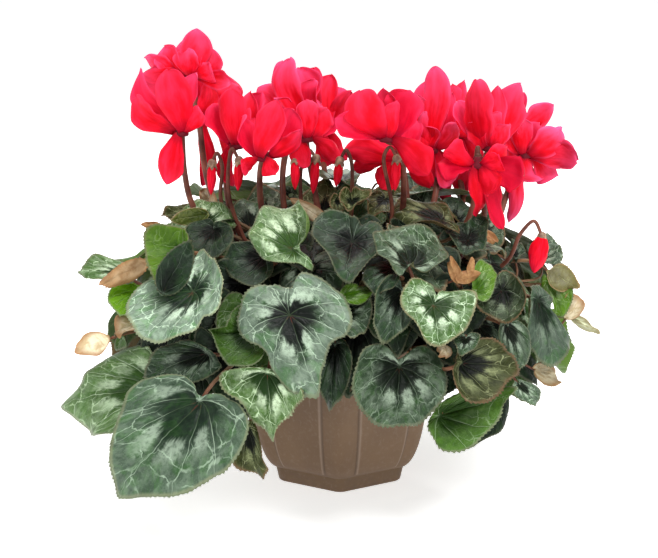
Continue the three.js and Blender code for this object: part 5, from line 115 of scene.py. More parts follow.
    ["leaf_41",[-176.5,75.6,124.7],[-20.7,-10.3,-64.9],[-18.8,-34.7,-4.5],[17.4,33.7,-5.2],[7.8,1.4,-4.0,2.2,4,1.81],[1.006,0.0,0.941,0.141,0.857,0.277,0.766,0.405,0.655,0.521,0.542,0.624,0.433,0.725,0.325,0.833,0.202,0.943,0.053,1.02,-0.111,1.025,-0.249,0.937,-0.346,0.788,-0.399,0.621,-0.405,0.457,-0.373,0.305,-0.308,0.174,-0.167,0.074,-0.044,0.0,-0.165,-0.073,-0.306,-0.173,-0.377,-0.308,-0.418,-0.471,-0.414,-0.645,-0.354,-0.806,-0.247,-0.93,-0.106,-0.987,0.05,-0.968,0.194,-0.905,0.322,-0.827,0.444,-0.743,0.563,-0.649,0.676,-0.537,0.775,-0.41,0.853,-0.276,0.933,-0.14]],
    ["small_leaf_35",[-168.5,30.8,146.6],[-22.5,-7.8,-52.0],[-15.8,-27.3,-10.6],[12.5,35.7,0.4],[5.9,1.8,1.1,2.2,5,0.39],[0.996,0.0,0.91,0.135,0.814,0.259,0.735,0.382,0.66,0.512,0.582,0.651,0.489,0.789,0.372,0.905,0.231,0.978,0.074,0.994,-0.079,0.954,-0.203,0.865,-0.297,0.75,-0.361,0.622,-0.382,0.478,-0.357,0.326,-0.295,0.186,-0.162,0.078,-0.041,0.0,-0.166,-0.08,-0.306,-0.193,-0.368,-0.336,-0.387,-0.485,-0.359,-0.619,-0.292,-0.738,-0.2,-0.853,-0.079,-0.946,0.074,-0.989,0.229,-0.97,0.367,-0.893,0.482,-0.778,0.579,-0.648,0.669,-0.519,0.759,-0.394,0.845,-0.269,0.933,-0.138]],
    ["small_leaf_36",[22.8,173.8,77.9],[24.2,-8.7,-58.0],[-36.9,7.5,0.4],[44.3,-1.8,-9.1],[5.4,0.5,3.5,2.2,4,2.75],[0.956,0.0,0.886,0.133,0.82,0.265,0.762,0.401,0.684,0.538,0.586,0.665,0.474,0.776,0.352,0.873,0.217,0.955,0.065,1.006,-0.095,1.0,-0.229,0.914,-0.322,0.771,-0.374,0.61,-0.38,0.45,-0.353,0.303,-0.299,0.178,-0.168,0.077,-0.044,0.0,-0.174,-0.08,-0.316,-0.188,-0.373,-0.32,-0.393,-0.465,-0.375,-0.613,-0.317,-0.759,-0.223,-0.892,-0.092,-0.974,0.063,-0.98,0.211,-0.93,0.343,-0.852,0.467,-0.764,0.589,-0.668,0.705,-0.554,0.802,-0.422,0.867,-0.28,0.919,-0.138]],
    ["inner_leaf_01",[-14.1,-8.9,216.7],[40.3,3.0,-6.6],[-2.2,21.3,-6.5],[1.6,-22.3,-4.9],[6.4,3.0,-3.1,1.8,4,5.12],[1.014,0.0,0.927,0.141,0.82,0.269,0.721,0.388,0.627,0.507,0.541,0.637,0.452,0.777,0.341,0.912,0.201,1.01,0.037,1.036,-0.124,0.984,-0.253,0.874,-0.349,0.74,-0.414,0.601,-0.432,0.453,-0.4,0.302,-0.323,0.17,-0.169,0.07,-0.046,0.0,-0.171,-0.071,-0.331,-0.174,-0.418,-0.316,-0.457,-0.48,-0.435,-0.633,-0.356,-0.756,-0.246,-0.852,-0.116,-0.921,0.034,-0.955,0.188,-0.947,0.333,-0.891,0.461,-0.793,0.569,-0.671,0.665,-0.538,0.756,-0.406,0.843,-0.276,0.937,-0.142]],
    ["inner_leaf_02",[-2.0,-9.1,218.0],[-24.9,35.4,-11.4],[-21.5,-14.6,0.7],[21.5,14.2,-2.8],[6.8,1.8,-1.5,1.8,5,1.15],[0.98,0.0,0.895,0.133,0.815,0.261,0.75,0.391,0.671,0.523,0.577,0.648,0.471,0.761,0.352,0.861,0.222,0.947,0.073,1.006,-0.087,1.011,-0.223,0.934,-0.318,0.792,-0.369,0.626,-0.372,0.458,-0.34,0.305,-0.285,0.177,-0.161,0.077,-0.042,0.0,-0.17,-0.081,-0.31,-0.192,-0.367,-0.329,-0.388,-0.477,-0.369,-0.626,-0.31,-0.771,-0.215,-0.902,-0.084,-0.98,0.071,-0.978,0.215,-0.917,0.34,-0.83,0.458,-0.74,0.578,-0.649,0.699,-0.544,0.808,-0.421,0.885,-0.284,0.945,-0.141]],
    ["inner_leaf_03",[6.0,-14.0,215.8],[35.6,-3.1,-11.3],[2.4,20.1,1.4],[-3.5,-19.1,-7.2],[4.0,2.8,1.7,1.8,4,3.48],[1.076,0.244,1.066,0.413,1.021,0.577,0.952,0.732,0.863,0.877,0.754,1.008,0.629,1.122,0.488,1.217,0.325,1.262,0.159,1.231,0.012,1.146,-0.109,1.027,-0.207,0.889,-0.283,0.737,-0.329,0.573,-0.332,0.404,-0.308,0.235,-0.319,0.067,-0.388,-0.089,-0.465,-0.24,-0.519,-0.401,-0.539,-0.57,-0.516,-0.738,-0.446,-0.892,-0.318,-1.001,-0.156,-1.049,0.013,-1.035,0.163,-0.958,0.294,-0.848,0.413,-0.727,0.526,-0.6,0.636,-0.47,0.744,-0.339,0.85,-0.205,0.95,-0.068,1.034,0.08]],
    ["inner_leaf_04",[0.6,16.6,213.7],[46.3,15.1,-10.4],[-10.1,29.0,-5.8],[9.5,-29.2,-0.8],[7.6,0.1,0.2,1.8,4,0.58],[1.014,0.0,0.961,0.147,0.871,0.287,0.776,0.416,0.673,0.539,0.571,0.661,0.465,0.781,0.344,0.888,0.202,0.96,0.046,0.977,-0.107,0.937,-0.234,0.852,-0.337,0.745,-0.413,0.624,-0.441,0.482,-0.413,0.326,-0.333,0.182,-0.173,0.074,-0.045,-0.0,-0.165,-0.071,-0.31,-0.17,-0.386,-0.304,-0.423,-0.462,-0.41,-0.619,-0.343,-0.759,-0.242,-0.881,-0.111,-0.972,0.048,-1.012,0.21,-0.994,0.355,-0.917,0.474,-0.796,0.566,-0.656,0.645,-0.516,0.724,-0.388,0.811,-0.267,0.918,-0.14]],
    ["inner_leaf_05",[17.0,-28.7,212.5],[-38.6,-8.3,-8.1],[6.2,-22.3,-9.0],[-5.6,24.4,-1.1],[3.9,1.3,-0.2,1.8,4,4.56],[1.0,0.0,0.975,0.134,0.91,0.255,0.83,0.366,0.747,0.476,0.662,0.584,0.572,0.687,0.471,0.78,0.359,0.859,0.242,0.93,0.121,0.995,-0.009,1.038,-0.143,1.019,-0.25,0.935,-0.311,0.814,-0.298,0.678,-0.252,0.549,-0.205,0.42,-0.162,0.29,-0.122,0.159,-0.086,0.026,-0.059,-0.108,-0.041,-0.244,-0.034,-0.382,-0.03,-0.519,-0.013,-0.655,0.059,-0.767,0.19,-0.805,0.327,-0.809,0.458,-0.772,0.564,-0.685,0.653,-0.581,0.738,-0.473,0.822,-0.365,0.902,-0.253,0.967,-0.133]],
    ["inner_leaf_06",[-6.6,17.4,213.6],[-40.3,16.9,-12.6],[-9.9,-24.1,-2.6],[11.4,21.9,-9.5],[6.0,2.7,1.0,1.8,5,0.18],[1.0,0.0,0.948,0.131,0.872,0.258,0.801,0.378,0.721,0.495,0.631,0.607,0.535,0.714,0.432,0.813,0.32,0.9,0.192,0.965,0.044,0.994,-0.082,0.947,-0.141,0.812,-0.174,0.669,-0.189,0.53,-0.182,0.388,-0.164,0.245,-0.11,0.112,-0.02,0.0,-0.11,-0.112,-0.164,-0.245,-0.182,-0.388,-0.189,-0.53,-0.174,-0.669,-0.141,-0.812,-0.082,-0.947,0.044,-0.994,0.192,-0.965,0.32,-0.9,0.432,-0.813,0.535,-0.714,0.631,-0.607,0.721,-0.495,0.801,-0.378,0.872,-0.258,0.948,-0.131]],
    ["inner_leaf_07",[38.2,-21.4,210.6],[-5.7,44.8,-7.0],[-24.0,-3.0,-3.8],[23.3,2.5,-4.4],[4.4,2.3,2.8,1.8,6,4.49],[1.0,0.0,0.975,0.134,0.91,0.255,0.83,0.366,0.747,0.476,0.662,0.584,0.572,0.687,0.471,0.78,0.359,0.859,0.242,0.93,0.121,0.995,-0.009,1.038,-0.143,1.019,-0.25,0.935,-0.311,0.814,-0.298,0.678,-0.252,0.549,-0.205,0.42,-0.162,0.29,-0.122,0.159,-0.086,0.026,-0.059,-0.108,-0.041,-0.244,-0.034,-0.382,-0.03,-0.519,-0.013,-0.655,0.059,-0.767,0.19,-0.805,0.327,-0.809,0.458,-0.772,0.564,-0.685,0.653,-0.581,0.738,-0.473,0.822,-0.365,0.902,-0.253,0.967,-0.133]],
    ["inner_leaf_08",[-19.2,-36.6,209.9],[-22.9,32.0,-5.8],[-14.2,-12.4,-15.8],[17.5,14.4,8.0],[5.9,1.8,-2.0,1.8,4,4.59],[1.05,0.0,0.957,0.147,0.843,0.278,0.743,0.4,0.648,0.522,0.555,0.647,0.454,0.77,0.334,0.877,0.195,0.951,0.04,0.982,-0.117,0.966,-0.255,0.9,-0.367,0.791,-0.439,0.648,-0.45,0.479,-0.402,0.308,-0.314,0.167,-0.163,0.068,-0.044,0.0,-0.167,-0.07,-0.325,-0.173,-0.409,-0.314,-0.447,-0.476,-0.428,-0.632,-0.357,-0.771,-0.253,-0.893,-0.118,-0.982,0.041,-1.008,0.198,-0.966,0.332,-0.87,0.442,-0.75,0.54,-0.63,0.643,-0.518,0.758,-0.408,0.871,-0.288,0.98,-0.151]],
    ["inner_leaf_09",[1.8,20.8,212.0],[10.0,42.0,-13.2],[-25.1,5.1,-3.9],[24.7,-7.0,-5.7],[6.4,2.8,0.1,1.8,5,4.2],[0.958,0.0,0.923,0.142,0.866,0.287,0.793,0.428,0.692,0.557,0.578,0.673,0.461,0.78,0.337,0.881,0.199,0.965,0.042,1.004,-0.117,0.975,-0.247,0.874,-0.341,0.737,-0.403,0.594,-0.424,0.451,-0.403,0.309,-0.337,0.179,-0.181,0.076,-0.048,0.0,-0.174,-0.073,-0.317,-0.169,-0.385,-0.296,-0.421,-0.448,-0.414,-0.611,-0.354,-0.764,-0.252,-0.891,-0.116,-0.969,0.041,-0.986,0.198,-0.959,0.343,-0.897,0.477,-0.808,0.593,-0.691,0.688,-0.554,0.76,-0.41,0.815,-0.27,0.883,-0.136]],
    ["inner_leaf_10",[-40.3,27.5,209.3],[-0.3,-41.0,-9.3],[24.4,-1.9,7.7],[-22.3,2.6,-13.9],[5.1,1.8,-2.0,1.8,4,1.67],[1.021,0.0,0.924,0.136,0.814,0.258,0.726,0.374,0.648,0.497,0.572,0.632,0.486,0.769,0.376,0.891,0.241,0.977,0.087,1.01,-0.071,0.984,-0.198,0.899,-0.292,0.774,-0.351,0.635,-0.367,0.481,-0.338,0.325,-0.278,0.185,-0.155,0.078,-0.038,0.0,-0.162,-0.081,-0.299,-0.199,-0.362,-0.348,-0.383,-0.503,-0.355,-0.642,-0.286,-0.761,-0.192,-0.868,-0.068,-0.946,0.083,-0.971,0.232,-0.94,0.364,-0.862,0.477,-0.755,0.578,-0.638,0.678,-0.521,0.78,-0.402,0.875,-0.278,0.966,-0.143]],
    ["inner_leaf_11",[2.4,-32.3,210.1],[22.0,-38.8,-22.2],[26.5,18.0,-7.4],[-27.9,-14.0,-3.7],[6.5,0.8,-1.4,1.8,4,0.38],[0.998,0.025,0.919,0.144,0.81,0.239,0.706,0.341,0.602,0.442,0.496,0.542,0.401,0.652,0.319,0.772,0.248,0.899,0.176,1.025,0.06,1.019,-0.003,0.889,-0.029,0.746,-0.039,0.601,-0.045,0.456,-0.051,0.311,-0.056,0.165,-0.062,0.02,-0.07,-0.125,-0.079,-0.27,-0.085,-0.415,-0.086,-0.561,-0.083,-0.706,-0.079,-0.851,-0.063,-0.996,0.017,-1.107,0.154,-1.073,0.249,-0.965,0.306,-0.831,0.348,-0.693,0.453,-0.596,0.592,-0.556,0.707,-0.472,0.779,-0.346,0.84,-0.214,0.928,-0.098]],
    ["inner_leaf_12",[36.4,7.7,207.7],[36.4,0.5,-18.5],[-1.9,26.4,-4.1],[-1.3,-26.3,-4.1],[6.9,1.0,-1.0,1.8,5,2.35],[0.986,-0.015,0.949,0.164,0.862,0.327,0.77,0.487,0.669,0.642,0.541,0.775,0.38,0.853,0.204,0.833,0.093,0.979,-0.057,1.033,-0.208,0.925,-0.333,0.791,-0.394,0.617,-0.433,0.437,-0.472,0.256,-0.513,0.076,-0.575,-0.098,-0.663,-0.261,-0.762,-0.417,-0.819,-0.58,-0.647,-0.52,-0.484,-0.433,-0.321,-0.345,-0.252,-0.362,-0.373,-0.502,-0.439,-0.668,-0.321,-0.808,-0.176,-0.922,-0.008,-0.999,0.172,-0.987,0.328,-0.888,0.467,-0.767,0.597,-0.635,0.716,-0.494,0.824,-0.344,0.923,-0.188]],
    ["inner_leaf_13",[-20.3,-27.1,207.0],[-31.2,-34.2,-19.3],[21.4,-16.8,-6.7],[-18.9,19.4,-5.3],[4.2,1.3,-3.4,1.8,6,3.12],[1.012,0.0,0.952,0.142,0.866,0.277,0.771,0.402,0.659,0.512,0.549,0.614,0.446,0.719,0.343,0.834,0.224,0.949,0.077,1.028,-0.086,1.031,-0.221,0.938,-0.312,0.786,-0.364,0.625,-0.376,0.467,-0.351,0.318,-0.294,0.184,-0.162,0.078,-0.04,-0.0,-0.16,-0.076,-0.29,-0.182,-0.355,-0.322,-0.392,-0.487,-0.385,-0.659,-0.324,-0.814,-0.219,-0.93,-0.082,-0.978,0.071,-0.955,0.212,-0.898,0.34,-0.827,0.463,-0.746,0.58,-0.65,0.687,-0.534,0.779,-0.406,0.855,-0.274,0.937,-0.14]],
    ["inner_leaf_14",[1.0,40.8,206.2],[-10.4,32.0,-17.4],[-19.8,-5.5,1.7],[19.8,3.7,-5.8],[6.3,0.8,0.2,1.8,5,1.4],[0.998,0.025,0.919,0.144,0.81,0.239,0.706,0.341,0.602,0.442,0.496,0.542,0.401,0.652,0.319,0.772,0.248,0.899,0.176,1.025,0.06,1.019,-0.003,0.889,-0.029,0.746,-0.039,0.601,-0.045,0.456,-0.051,0.311,-0.056,0.165,-0.062,0.02,-0.07,-0.125,-0.079,-0.27,-0.085,-0.415,-0.086,-0.561,-0.083,-0.706,-0.079,-0.851,-0.063,-0.996,0.017,-1.107,0.154,-1.073,0.249,-0.965,0.306,-0.831,0.348,-0.693,0.453,-0.596,0.592,-0.556,0.707,-0.472,0.779,-0.346,0.84,-0.214,0.928,-0.098]],
    ["inner_leaf_15",[39.7,-23.3,203.9],[0.9,-35.9,-13.8],[23.8,2.9,-7.5],[-24.9,0.5,-4.9],[5.5,1.0,0.6,1.8,4,0.06],[1.0,0.0,0.985,0.159,0.939,0.312,0.873,0.458,0.792,0.596,0.699,0.726,0.593,0.846,0.468,0.945,0.316,0.99,0.159,0.965,0.007,0.914,-0.148,0.877,-0.306,0.895,-0.456,0.89,-0.488,0.735,-0.476,0.576,-0.449,0.418,-0.414,0.262,-0.376,0.106,-0.343,-0.05,-0.323,-0.209,-0.323,-0.369,-0.333,-0.529,-0.337,-0.689,-0.313,-0.847,-0.231,-0.981,-0.085,-1.042,0.074,-1.032,0.223,-0.975,0.356,-0.887,0.475,-0.78,0.585,-0.664,0.693,-0.546,0.8,-0.426,0.896,-0.299,0.968,-0.156]],
    ["inner_leaf_16",[57.0,28.7,198.6],[-32.5,21.0,-3.9],[-12.2,-17.7,0.4],[10.4,15.0,-10.8],[4.8,0.1,-1.8,1.8,4,0.38],[1.076,0.244,1.066,0.413,1.021,0.577,0.952,0.732,0.863,0.877,0.754,1.008,0.629,1.122,0.488,1.217,0.325,1.262,0.159,1.231,0.012,1.146,-0.109,1.027,-0.207,0.889,-0.283,0.737,-0.329,0.573,-0.332,0.404,-0.308,0.235,-0.319,0.067,-0.388,-0.089,-0.465,-0.24,-0.519,-0.401,-0.539,-0.57,-0.516,-0.738,-0.446,-0.892,-0.318,-1.001,-0.156,-1.049,0.013,-1.035,0.163,-0.958,0.294,-0.848,0.413,-0.727,0.526,-0.6,0.636,-0.47,0.744,-0.339,0.85,-0.205,0.95,-0.068,1.034,0.08]],
    ["inner_leaf_17",[0.6,-45.6,205.6],[-16.6,-28.6,-22.0],[20.5,-6.9,-7.7],[-18.6,12.8,-3.8],[5.0,1.6,0.7,1.8,5,5.75],[1.05,0.0,0.957,0.147,0.843,0.278,0.743,0.4,0.648,0.522,0.555,0.647,0.454,0.77,0.334,0.877,0.195,0.951,0.04,0.982,-0.117,0.966,-0.255,0.9,-0.367,0.791,-0.439,0.648,-0.45,0.479,-0.402,0.308,-0.314,0.167,-0.163,0.068,-0.044,0.0,-0.167,-0.07,-0.325,-0.173,-0.409,-0.314,-0.447,-0.476,-0.428,-0.632,-0.357,-0.771,-0.253,-0.893,-0.118,-0.982,0.041,-1.008,0.198,-0.966,0.332,-0.87,0.442,-0.75,0.54,-0.63,0.643,-0.518,0.758,-0.408,0.871,-0.288,0.98,-0.151]],
    ["inner_leaf_18",[-22.8,33.7,202.9],[-28.4,33.3,-18.1],[-21.2,-18.8,-2.1],[22.1,17.4,-3.3],[5.8,0.0,-1.6,1.8,6,4.44],[1.021,0.0,0.924,0.136,0.814,0.258,0.726,0.374,0.648,0.497,0.572,0.632,0.486,0.769,0.376,0.891,0.241,0.977,0.087,1.01,-0.071,0.984,-0.198,0.899,-0.292,0.774,-0.351,0.635,-0.367,0.481,-0.338,0.325,-0.278,0.185,-0.155,0.078,-0.038,0.0,-0.162,-0.081,-0.299,-0.199,-0.362,-0.348,-0.383,-0.503,-0.355,-0.642,-0.286,-0.761,-0.192,-0.868,-0.068,-0.946,0.083,-0.971,0.232,-0.94,0.364,-0.862,0.477,-0.755,0.578,-0.638,0.678,-0.521,0.78,-0.402,0.875,-0.278,0.966,-0.143]],
    ["inner_leaf_19",[40.9,-16.0,205.0],[41.6,9.9,-24.3],[-6.1,30.5,1.0],[0.1,-28.9,-13.2],[4.5,0.3,0.1,1.8,5,1.86],[1.0,0.0,0.949,0.129,0.874,0.254,0.805,0.373,0.726,0.488,0.638,0.598,0.544,0.704,0.444,0.802,0.335,0.889,0.213,0.957,0.068,0.992,-0.059,0.954,-0.105,0.818,-0.129,0.674,-0.141,0.538,-0.137,0.398,-0.125,0.257,-0.088,0.122,-0.015,0.0,-0.088,-0.122,-0.125,-0.257,-0.137,-0.398,-0.141,-0.538,-0.129,-0.674,-0.105,-0.818,-0.059,-0.954,0.068,-0.992,0.213,-0.957,0.335,-0.889,0.444,-0.802,0.544,-0.704,0.638,-0.598,0.726,-0.488,0.805,-0.373,0.874,-0.254,0.949,-0.129]],
    ["inner_leaf_20",[-45.0,-14.8,204.2],[-15.9,-38.8,-23.7],[26.7,-13.9,3.7],[-20.8,16.8,-15.0],[6.1,2.4,1.0,1.8,5,5.34],[1.0,0.0,0.949,0.129,0.874,0.254,0.805,0.373,0.726,0.488,0.638,0.598,0.544,0.704,0.444,0.802,0.335,0.889,0.213,0.957,0.068,0.992,-0.059,0.954,-0.105,0.818,-0.129,0.674,-0.141,0.538,-0.137,0.398,-0.125,0.257,-0.088,0.122,-0.015,0.0,-0.088,-0.122,-0.125,-0.257,-0.137,-0.398,-0.141,-0.538,-0.129,-0.674,-0.105,-0.818,-0.059,-0.954,0.068,-0.992,0.213,-0.957,0.335,-0.889,0.444,-0.802,0.544,-0.704,0.638,-0.598,0.726,-0.488,0.805,-0.373,0.874,-0.254,0.949,-0.129]],
    ["inner_leaf_21",[10.4,45.4,203.8],[16.4,32.0,-23.9],[-21.1,10.4,-0.7],[19.5,-13.5,-5.8],[3.3,2.8,-2.2,1.8,6,1.67],[0.96,0.0,0.908,0.139,0.842,0.277,0.77,0.412,0.675,0.539,0.569,0.658,0.46,0.772,0.343,0.884,0.208,0.981,0.05,1.032,-0.113,1.006,-0.244,0.897,-0.335,0.745,-0.388,0.59,-0.402,0.441,-0.38,0.302,-0.321,0.176,-0.176,0.076,-0.047,0.0,-0.174,-0.075,-0.32,-0.176,-0.388,-0.308,-0.421,-0.463,-0.41,-0.623,-0.346,-0.769,-0.241,-0.885,-0.107,-0.95,0.046,-0.958,0.197,-0.927,0.339,-0.872,0.475,-0.796,0.599,-0.693,0.705,-0.564,0.786,-0.421,0.841,-0.277,0.901,-0.138]],
    ["inner_leaf_22",[-43.3,17.6,198.4],[-37.2,13.4,-14.2],[-6.6,-22.3,-5.5],[9.4,21.5,-6.4],[4.2,1.6,3.3,1.8,6,1.93],[1.076,0.244,1.066,0.413,1.021,0.577,0.952,0.732,0.863,0.877,0.754,1.008,0.629,1.122,0.488,1.217,0.325,1.262,0.159,1.231,0.012,1.146,-0.109,1.027,-0.207,0.889,-0.283,0.737,-0.329,0.573,-0.332,0.404,-0.308,0.235,-0.319,0.067,-0.388,-0.089,-0.465,-0.24,-0.519,-0.401,-0.539,-0.57,-0.516,-0.738,-0.446,-0.892,-0.318,-1.001,-0.156,-1.049,0.013,-1.035,0.163,-0.958,0.294,-0.848,0.413,-0.727,0.526,-0.6,0.636,-0.47,0.744,-0.339,0.85,-0.205,0.95,-0.068,1.034,0.08]],
    ["inner_leaf_23",[-53.1,-7.6,197.7],[-30.2,-11.9,-19.1],[9.0,-21.1,-1.3],[-7.5,21.7,-2.2],[5.6,0.9,0.2,1.8,4,4.48],[1.076,0.244,1.066,0.413,1.021,0.577,0.952,0.732,0.863,0.877,0.754,1.008,0.629,1.122,0.488,1.217,0.325,1.262,0.159,1.231,0.012,1.146,-0.109,1.027,-0.207,0.889,-0.283,0.737,-0.329,0.573,-0.332,0.404,-0.308,0.235,-0.319,0.067,-0.388,-0.089,-0.465,-0.24,-0.519,-0.401,-0.539,-0.57,-0.516,-0.738,-0.446,-0.892,-0.318,-1.001,-0.156,-1.049,0.013,-1.035,0.163,-0.958,0.294,-0.848,0.413,-0.727,0.526,-0.6,0.636,-0.47,0.744,-0.339,0.85,-0.205,0.95,-0.068,1.034,0.08]],
    ["inner_leaf_24",[54.8,-64.9,221.3],[11.1,-24.8,-24.4],[15.5,12.4,-5.8],[-18.9,-9.6,0.4],[3.5,2.5,4.5,1.8,5,4.05],[1.0,0.0,0.95,0.14,0.869,0.268,0.791,0.397,0.706,0.522,0.61,0.638,0.498,0.739,0.373,0.822,0.246,0.904,0.118,0.981,-0.031,0.96,-0.15,0.874,-0.216,0.742,-0.224,0.591,-0.214,0.441,-0.169,0.297,-0.138,0.15,-0.066,0.026,-0.033,-0.083,-0.098,-0.219,-0.146,-0.362,-0.183,-0.508,-0.196,-0.658,-0.191,-0.809,-0.158,-0.956,-0.11,-1.099,0.012,-1.121,0.122,-1.017,0.229,-0.911,0.342,-0.811,0.452,-0.708,0.558,-0.601,0.661,-0.49,0.759,-0.376,0.853,-0.258,0.945,-0.138]],
    ["inner_leaf_25",[58.8,47.7,212.3],[39.6,4.7,-25.6],[-9.1,23.6,-11.0],[4.3,-26.8,1.0],[4.9,2.7,0.5,1.8,4,3.41],[1.0,-0.0,0.963,0.145,0.889,0.276,0.801,0.397,0.707,0.515,0.612,0.631,0.511,0.743,0.403,0.847,0.285,0.94,0.149,0.998,0.068,0.89,0.092,0.742,0.146,0.602,0.18,0.457,0.146,0.313,0.013,0.297,-0.123,0.36,-0.245,0.292,-0.265,0.145,-0.248,-0.005,-0.243,-0.155,-0.252,-0.305,-0.261,-0.455,-0.258,-0.605,-0.229,-0.752,-0.153,-0.88,-0.025,-0.956,0.124,-0.962,0.265,-0.912,0.391,-0.831,0.505,-0.732,0.609,-0.624,0.708,-0.511,0.803,-0.395,0.895,-0.276,0.97,-0.146]],
    ["inner_leaf_26",[-25.9,-78.2,217.7],[3.9,-44.8,-20.2],[28.8,1.8,0.3],[-27.2,1.3,-9.4],[7.8,2.0,-1.0,1.8,4,0.92],[0.957,-0.082,0.897,0.046,0.791,0.143,0.678,0.234,0.566,0.325,0.45,0.41,0.322,0.478,0.184,0.515,0.04,0.507,-0.092,0.45,-0.195,0.351,-0.266,0.226,-0.317,0.091,-0.359,-0.047,-0.395,-0.187,-0.42,-0.329,-0.435,-0.473,-0.448,-0.617,-0.467,-0.76,-0.49,-0.902,-0.507,-1.045,-0.506,-1.19,-0.464,-1.326,-0.345,-1.389,-0.216,-1.326,-0.101,-1.239,0.012,-1.15,0.124,-1.059,0.233,-0.964,0.337,-0.864,0.435,-0.758,0.532,-0.651,0.628,-0.544,0.727,-0.439,0.824,-0.332,0.911,-0.216]],
    ["inner_leaf_27",[-33.1,73.0,207.5],[-26.2,19.8,-16.1],[-13.1,-15.7,1.0],[13.9,12.5,-8.1],[3.2,2.6,1.3,1.8,6,0.19],[1.026,0.0,0.985,0.147,0.899,0.288,0.798,0.414,0.682,0.525,0.569,0.628,0.464,0.733,0.355,0.841,0.231,0.936,0.084,0.99,-0.072,0.98,-0.2,0.897,-0.294,0.773,-0.359,0.64,-0.383,0.496,-0.363,0.343,-0.301,0.197,-0.163,0.081,-0.038,0.0,-0.153,-0.076,-0.275,-0.18,-0.338,-0.319,-0.374,-0.484,-0.366,-0.652,-0.307,-0.805,-0.207,-0.927,-0.073,-0.992,0.084,-0.992,0.234,-0.948,0.367,-0.869,0.483,-0.764,0.58,-0.641,0.664,-0.511,0.741,-0.385,0.823,-0.264,0.928,-0.139]],
    ["inner_leaf_28",[110.1,-52.7,208.6],[-24.8,42.4,6.6],[-23.3,-14.0,5.7],[21.2,14.1,-10.3],[4.8,0.7,1.9,1.8,6,4.93],[0.993,-0.013,0.879,0.107,0.743,0.207,0.611,0.311,0.473,0.409,0.349,0.523,0.275,0.673,0.233,0.835,0.136,0.973,0.002,1.074,-0.164,1.094,-0.328,1.068,-0.439,0.941,-0.537,0.805,-0.582,0.642,-0.587,0.475,-0.497,0.335,-0.373,0.221,-0.384,0.086,-0.46,-0.051,-0.424,-0.216,-0.398,-0.383,-0.362,-0.548,-0.297,-0.703,-0.204,-0.844,-0.092,-0.971,0.035,-1.081,0.194,-1.081,0.309,-0.96,0.366,-0.802,0.475,-0.691,0.642,-0.712,0.788,-0.632,0.896,-0.505,0.943,-0.343,0.987,-0.18]],
    ["inner_leaf_29",[34.6,78.7,219.0],[17.3,32.9,-33.2],[-27.2,7.3,-7.7],[26.3,-12.5,0.7],[5.4,1.8,-0.9,1.8,6,1.52],[0.96,0.0,0.908,0.139,0.842,0.277,0.77,0.412,0.675,0.539,0.569,0.658,0.46,0.772,0.343,0.884,0.208,0.981,0.05,1.032,-0.113,1.006,-0.244,0.897,-0.335,0.745,-0.388,0.59,-0.402,0.441,-0.38,0.302,-0.321,0.176,-0.176,0.076,-0.047,0.0,-0.174,-0.075,-0.32,-0.176,-0.388,-0.308,-0.421,-0.463,-0.41,-0.623,-0.346,-0.769,-0.241,-0.885,-0.107,-0.95,0.046,-0.958,0.197,-0.927,0.339,-0.872,0.475,-0.796,0.599,-0.693,0.705,-0.564,0.786,-0.421,0.841,-0.277,0.901,-0.138]],
    ["inner_leaf_30",[34.6,-81.9,217.9],[-5.6,-36.6,-32.1],[29.8,2.9,-9.2],[-30.7,0.4,4.7],[4.7,1.1,1.0,1.8,5,0.95],[0.98,0.0,0.895,0.133,0.815,0.261,0.75,0.391,0.671,0.523,0.577,0.648,0.471,0.761,0.352,0.861,0.222,0.947,0.073,1.006,-0.087,1.011,-0.223,0.934,-0.318,0.792,-0.369,0.626,-0.372,0.458,-0.34,0.305,-0.285,0.177,-0.161,0.077,-0.042,0.0,-0.17,-0.081,-0.31,-0.192,-0.367,-0.329,-0.388,-0.477,-0.369,-0.626,-0.31,-0.771,-0.215,-0.902,-0.084,-0.98,0.071,-0.978,0.215,-0.917,0.34,-0.83,0.458,-0.74,0.578,-0.649,0.699,-0.544,0.808,-0.421,0.885,-0.284,0.945,-0.141]],
    ["inner_leaf_31",[-80.1,43.3,211.6],[-21.8,15.7,-21.1],[-10.9,-18.9,-3.1],[12.1,18.3,1.0],[7.8,2.9,-2.0,1.8,4,4.26],[1.0,0.0,0.975,0.134,0.91,0.255,0.83,0.366,0.747,0.476,0.662,0.584,0.572,0.687,0.471,0.78,0.359,0.859,0.242,0.93,0.121,0.995,-0.009,1.038,-0.143,1.019,-0.25,0.935,-0.311,0.814,-0.298,0.678,-0.252,0.549,-0.205,0.42,-0.162,0.29,-0.122,0.159,-0.086,0.026,-0.059,-0.108,-0.041,-0.244,-0.034,-0.382,-0.03,-0.519,-0.013,-0.655,0.059,-0.767,0.19,-0.805,0.327,-0.809,0.458,-0.772,0.564,-0.685,0.653,-0.581,0.738,-0.473,0.822,-0.365,0.902,-0.253,0.967,-0.133]],
    ["inner_leaf_32",[93.3,24.8,219.1],[32.5,0.8,-26.8],[-5.7,23.3,-6.8],[2.0,-24.7,1.3],[6.2,0.4,1.1,1.8,6,1.19],[1.041,0.0,0.974,0.146,0.869,0.279,0.758,0.396,0.645,0.503,0.543,0.61,0.45,0.728,0.349,0.854,0.225,0.964,0.073,1.023,-0.087,1.007,-0.219,0.913,-0.313,0.777,-0.374,0.632,-0.392,0.481,-0.365,0.326,-0.299,0.185,-0.16,0.076,-0.039,0.0,-0.157,-0.074,-0.292,-0.18,-0.365,-0.326,-0.405,-0.496,-0.393,-0.664,-0.325,-0.805,-0.218,-0.91,-0.084,-0.963,0.069,-0.961,0.215,-0.922,0.348,-0.852,0.468,-0.756,0.572,-0.643,0.667,-0.52,0.757,-0.396,0.848,-0.272,0.953,-0.142]],
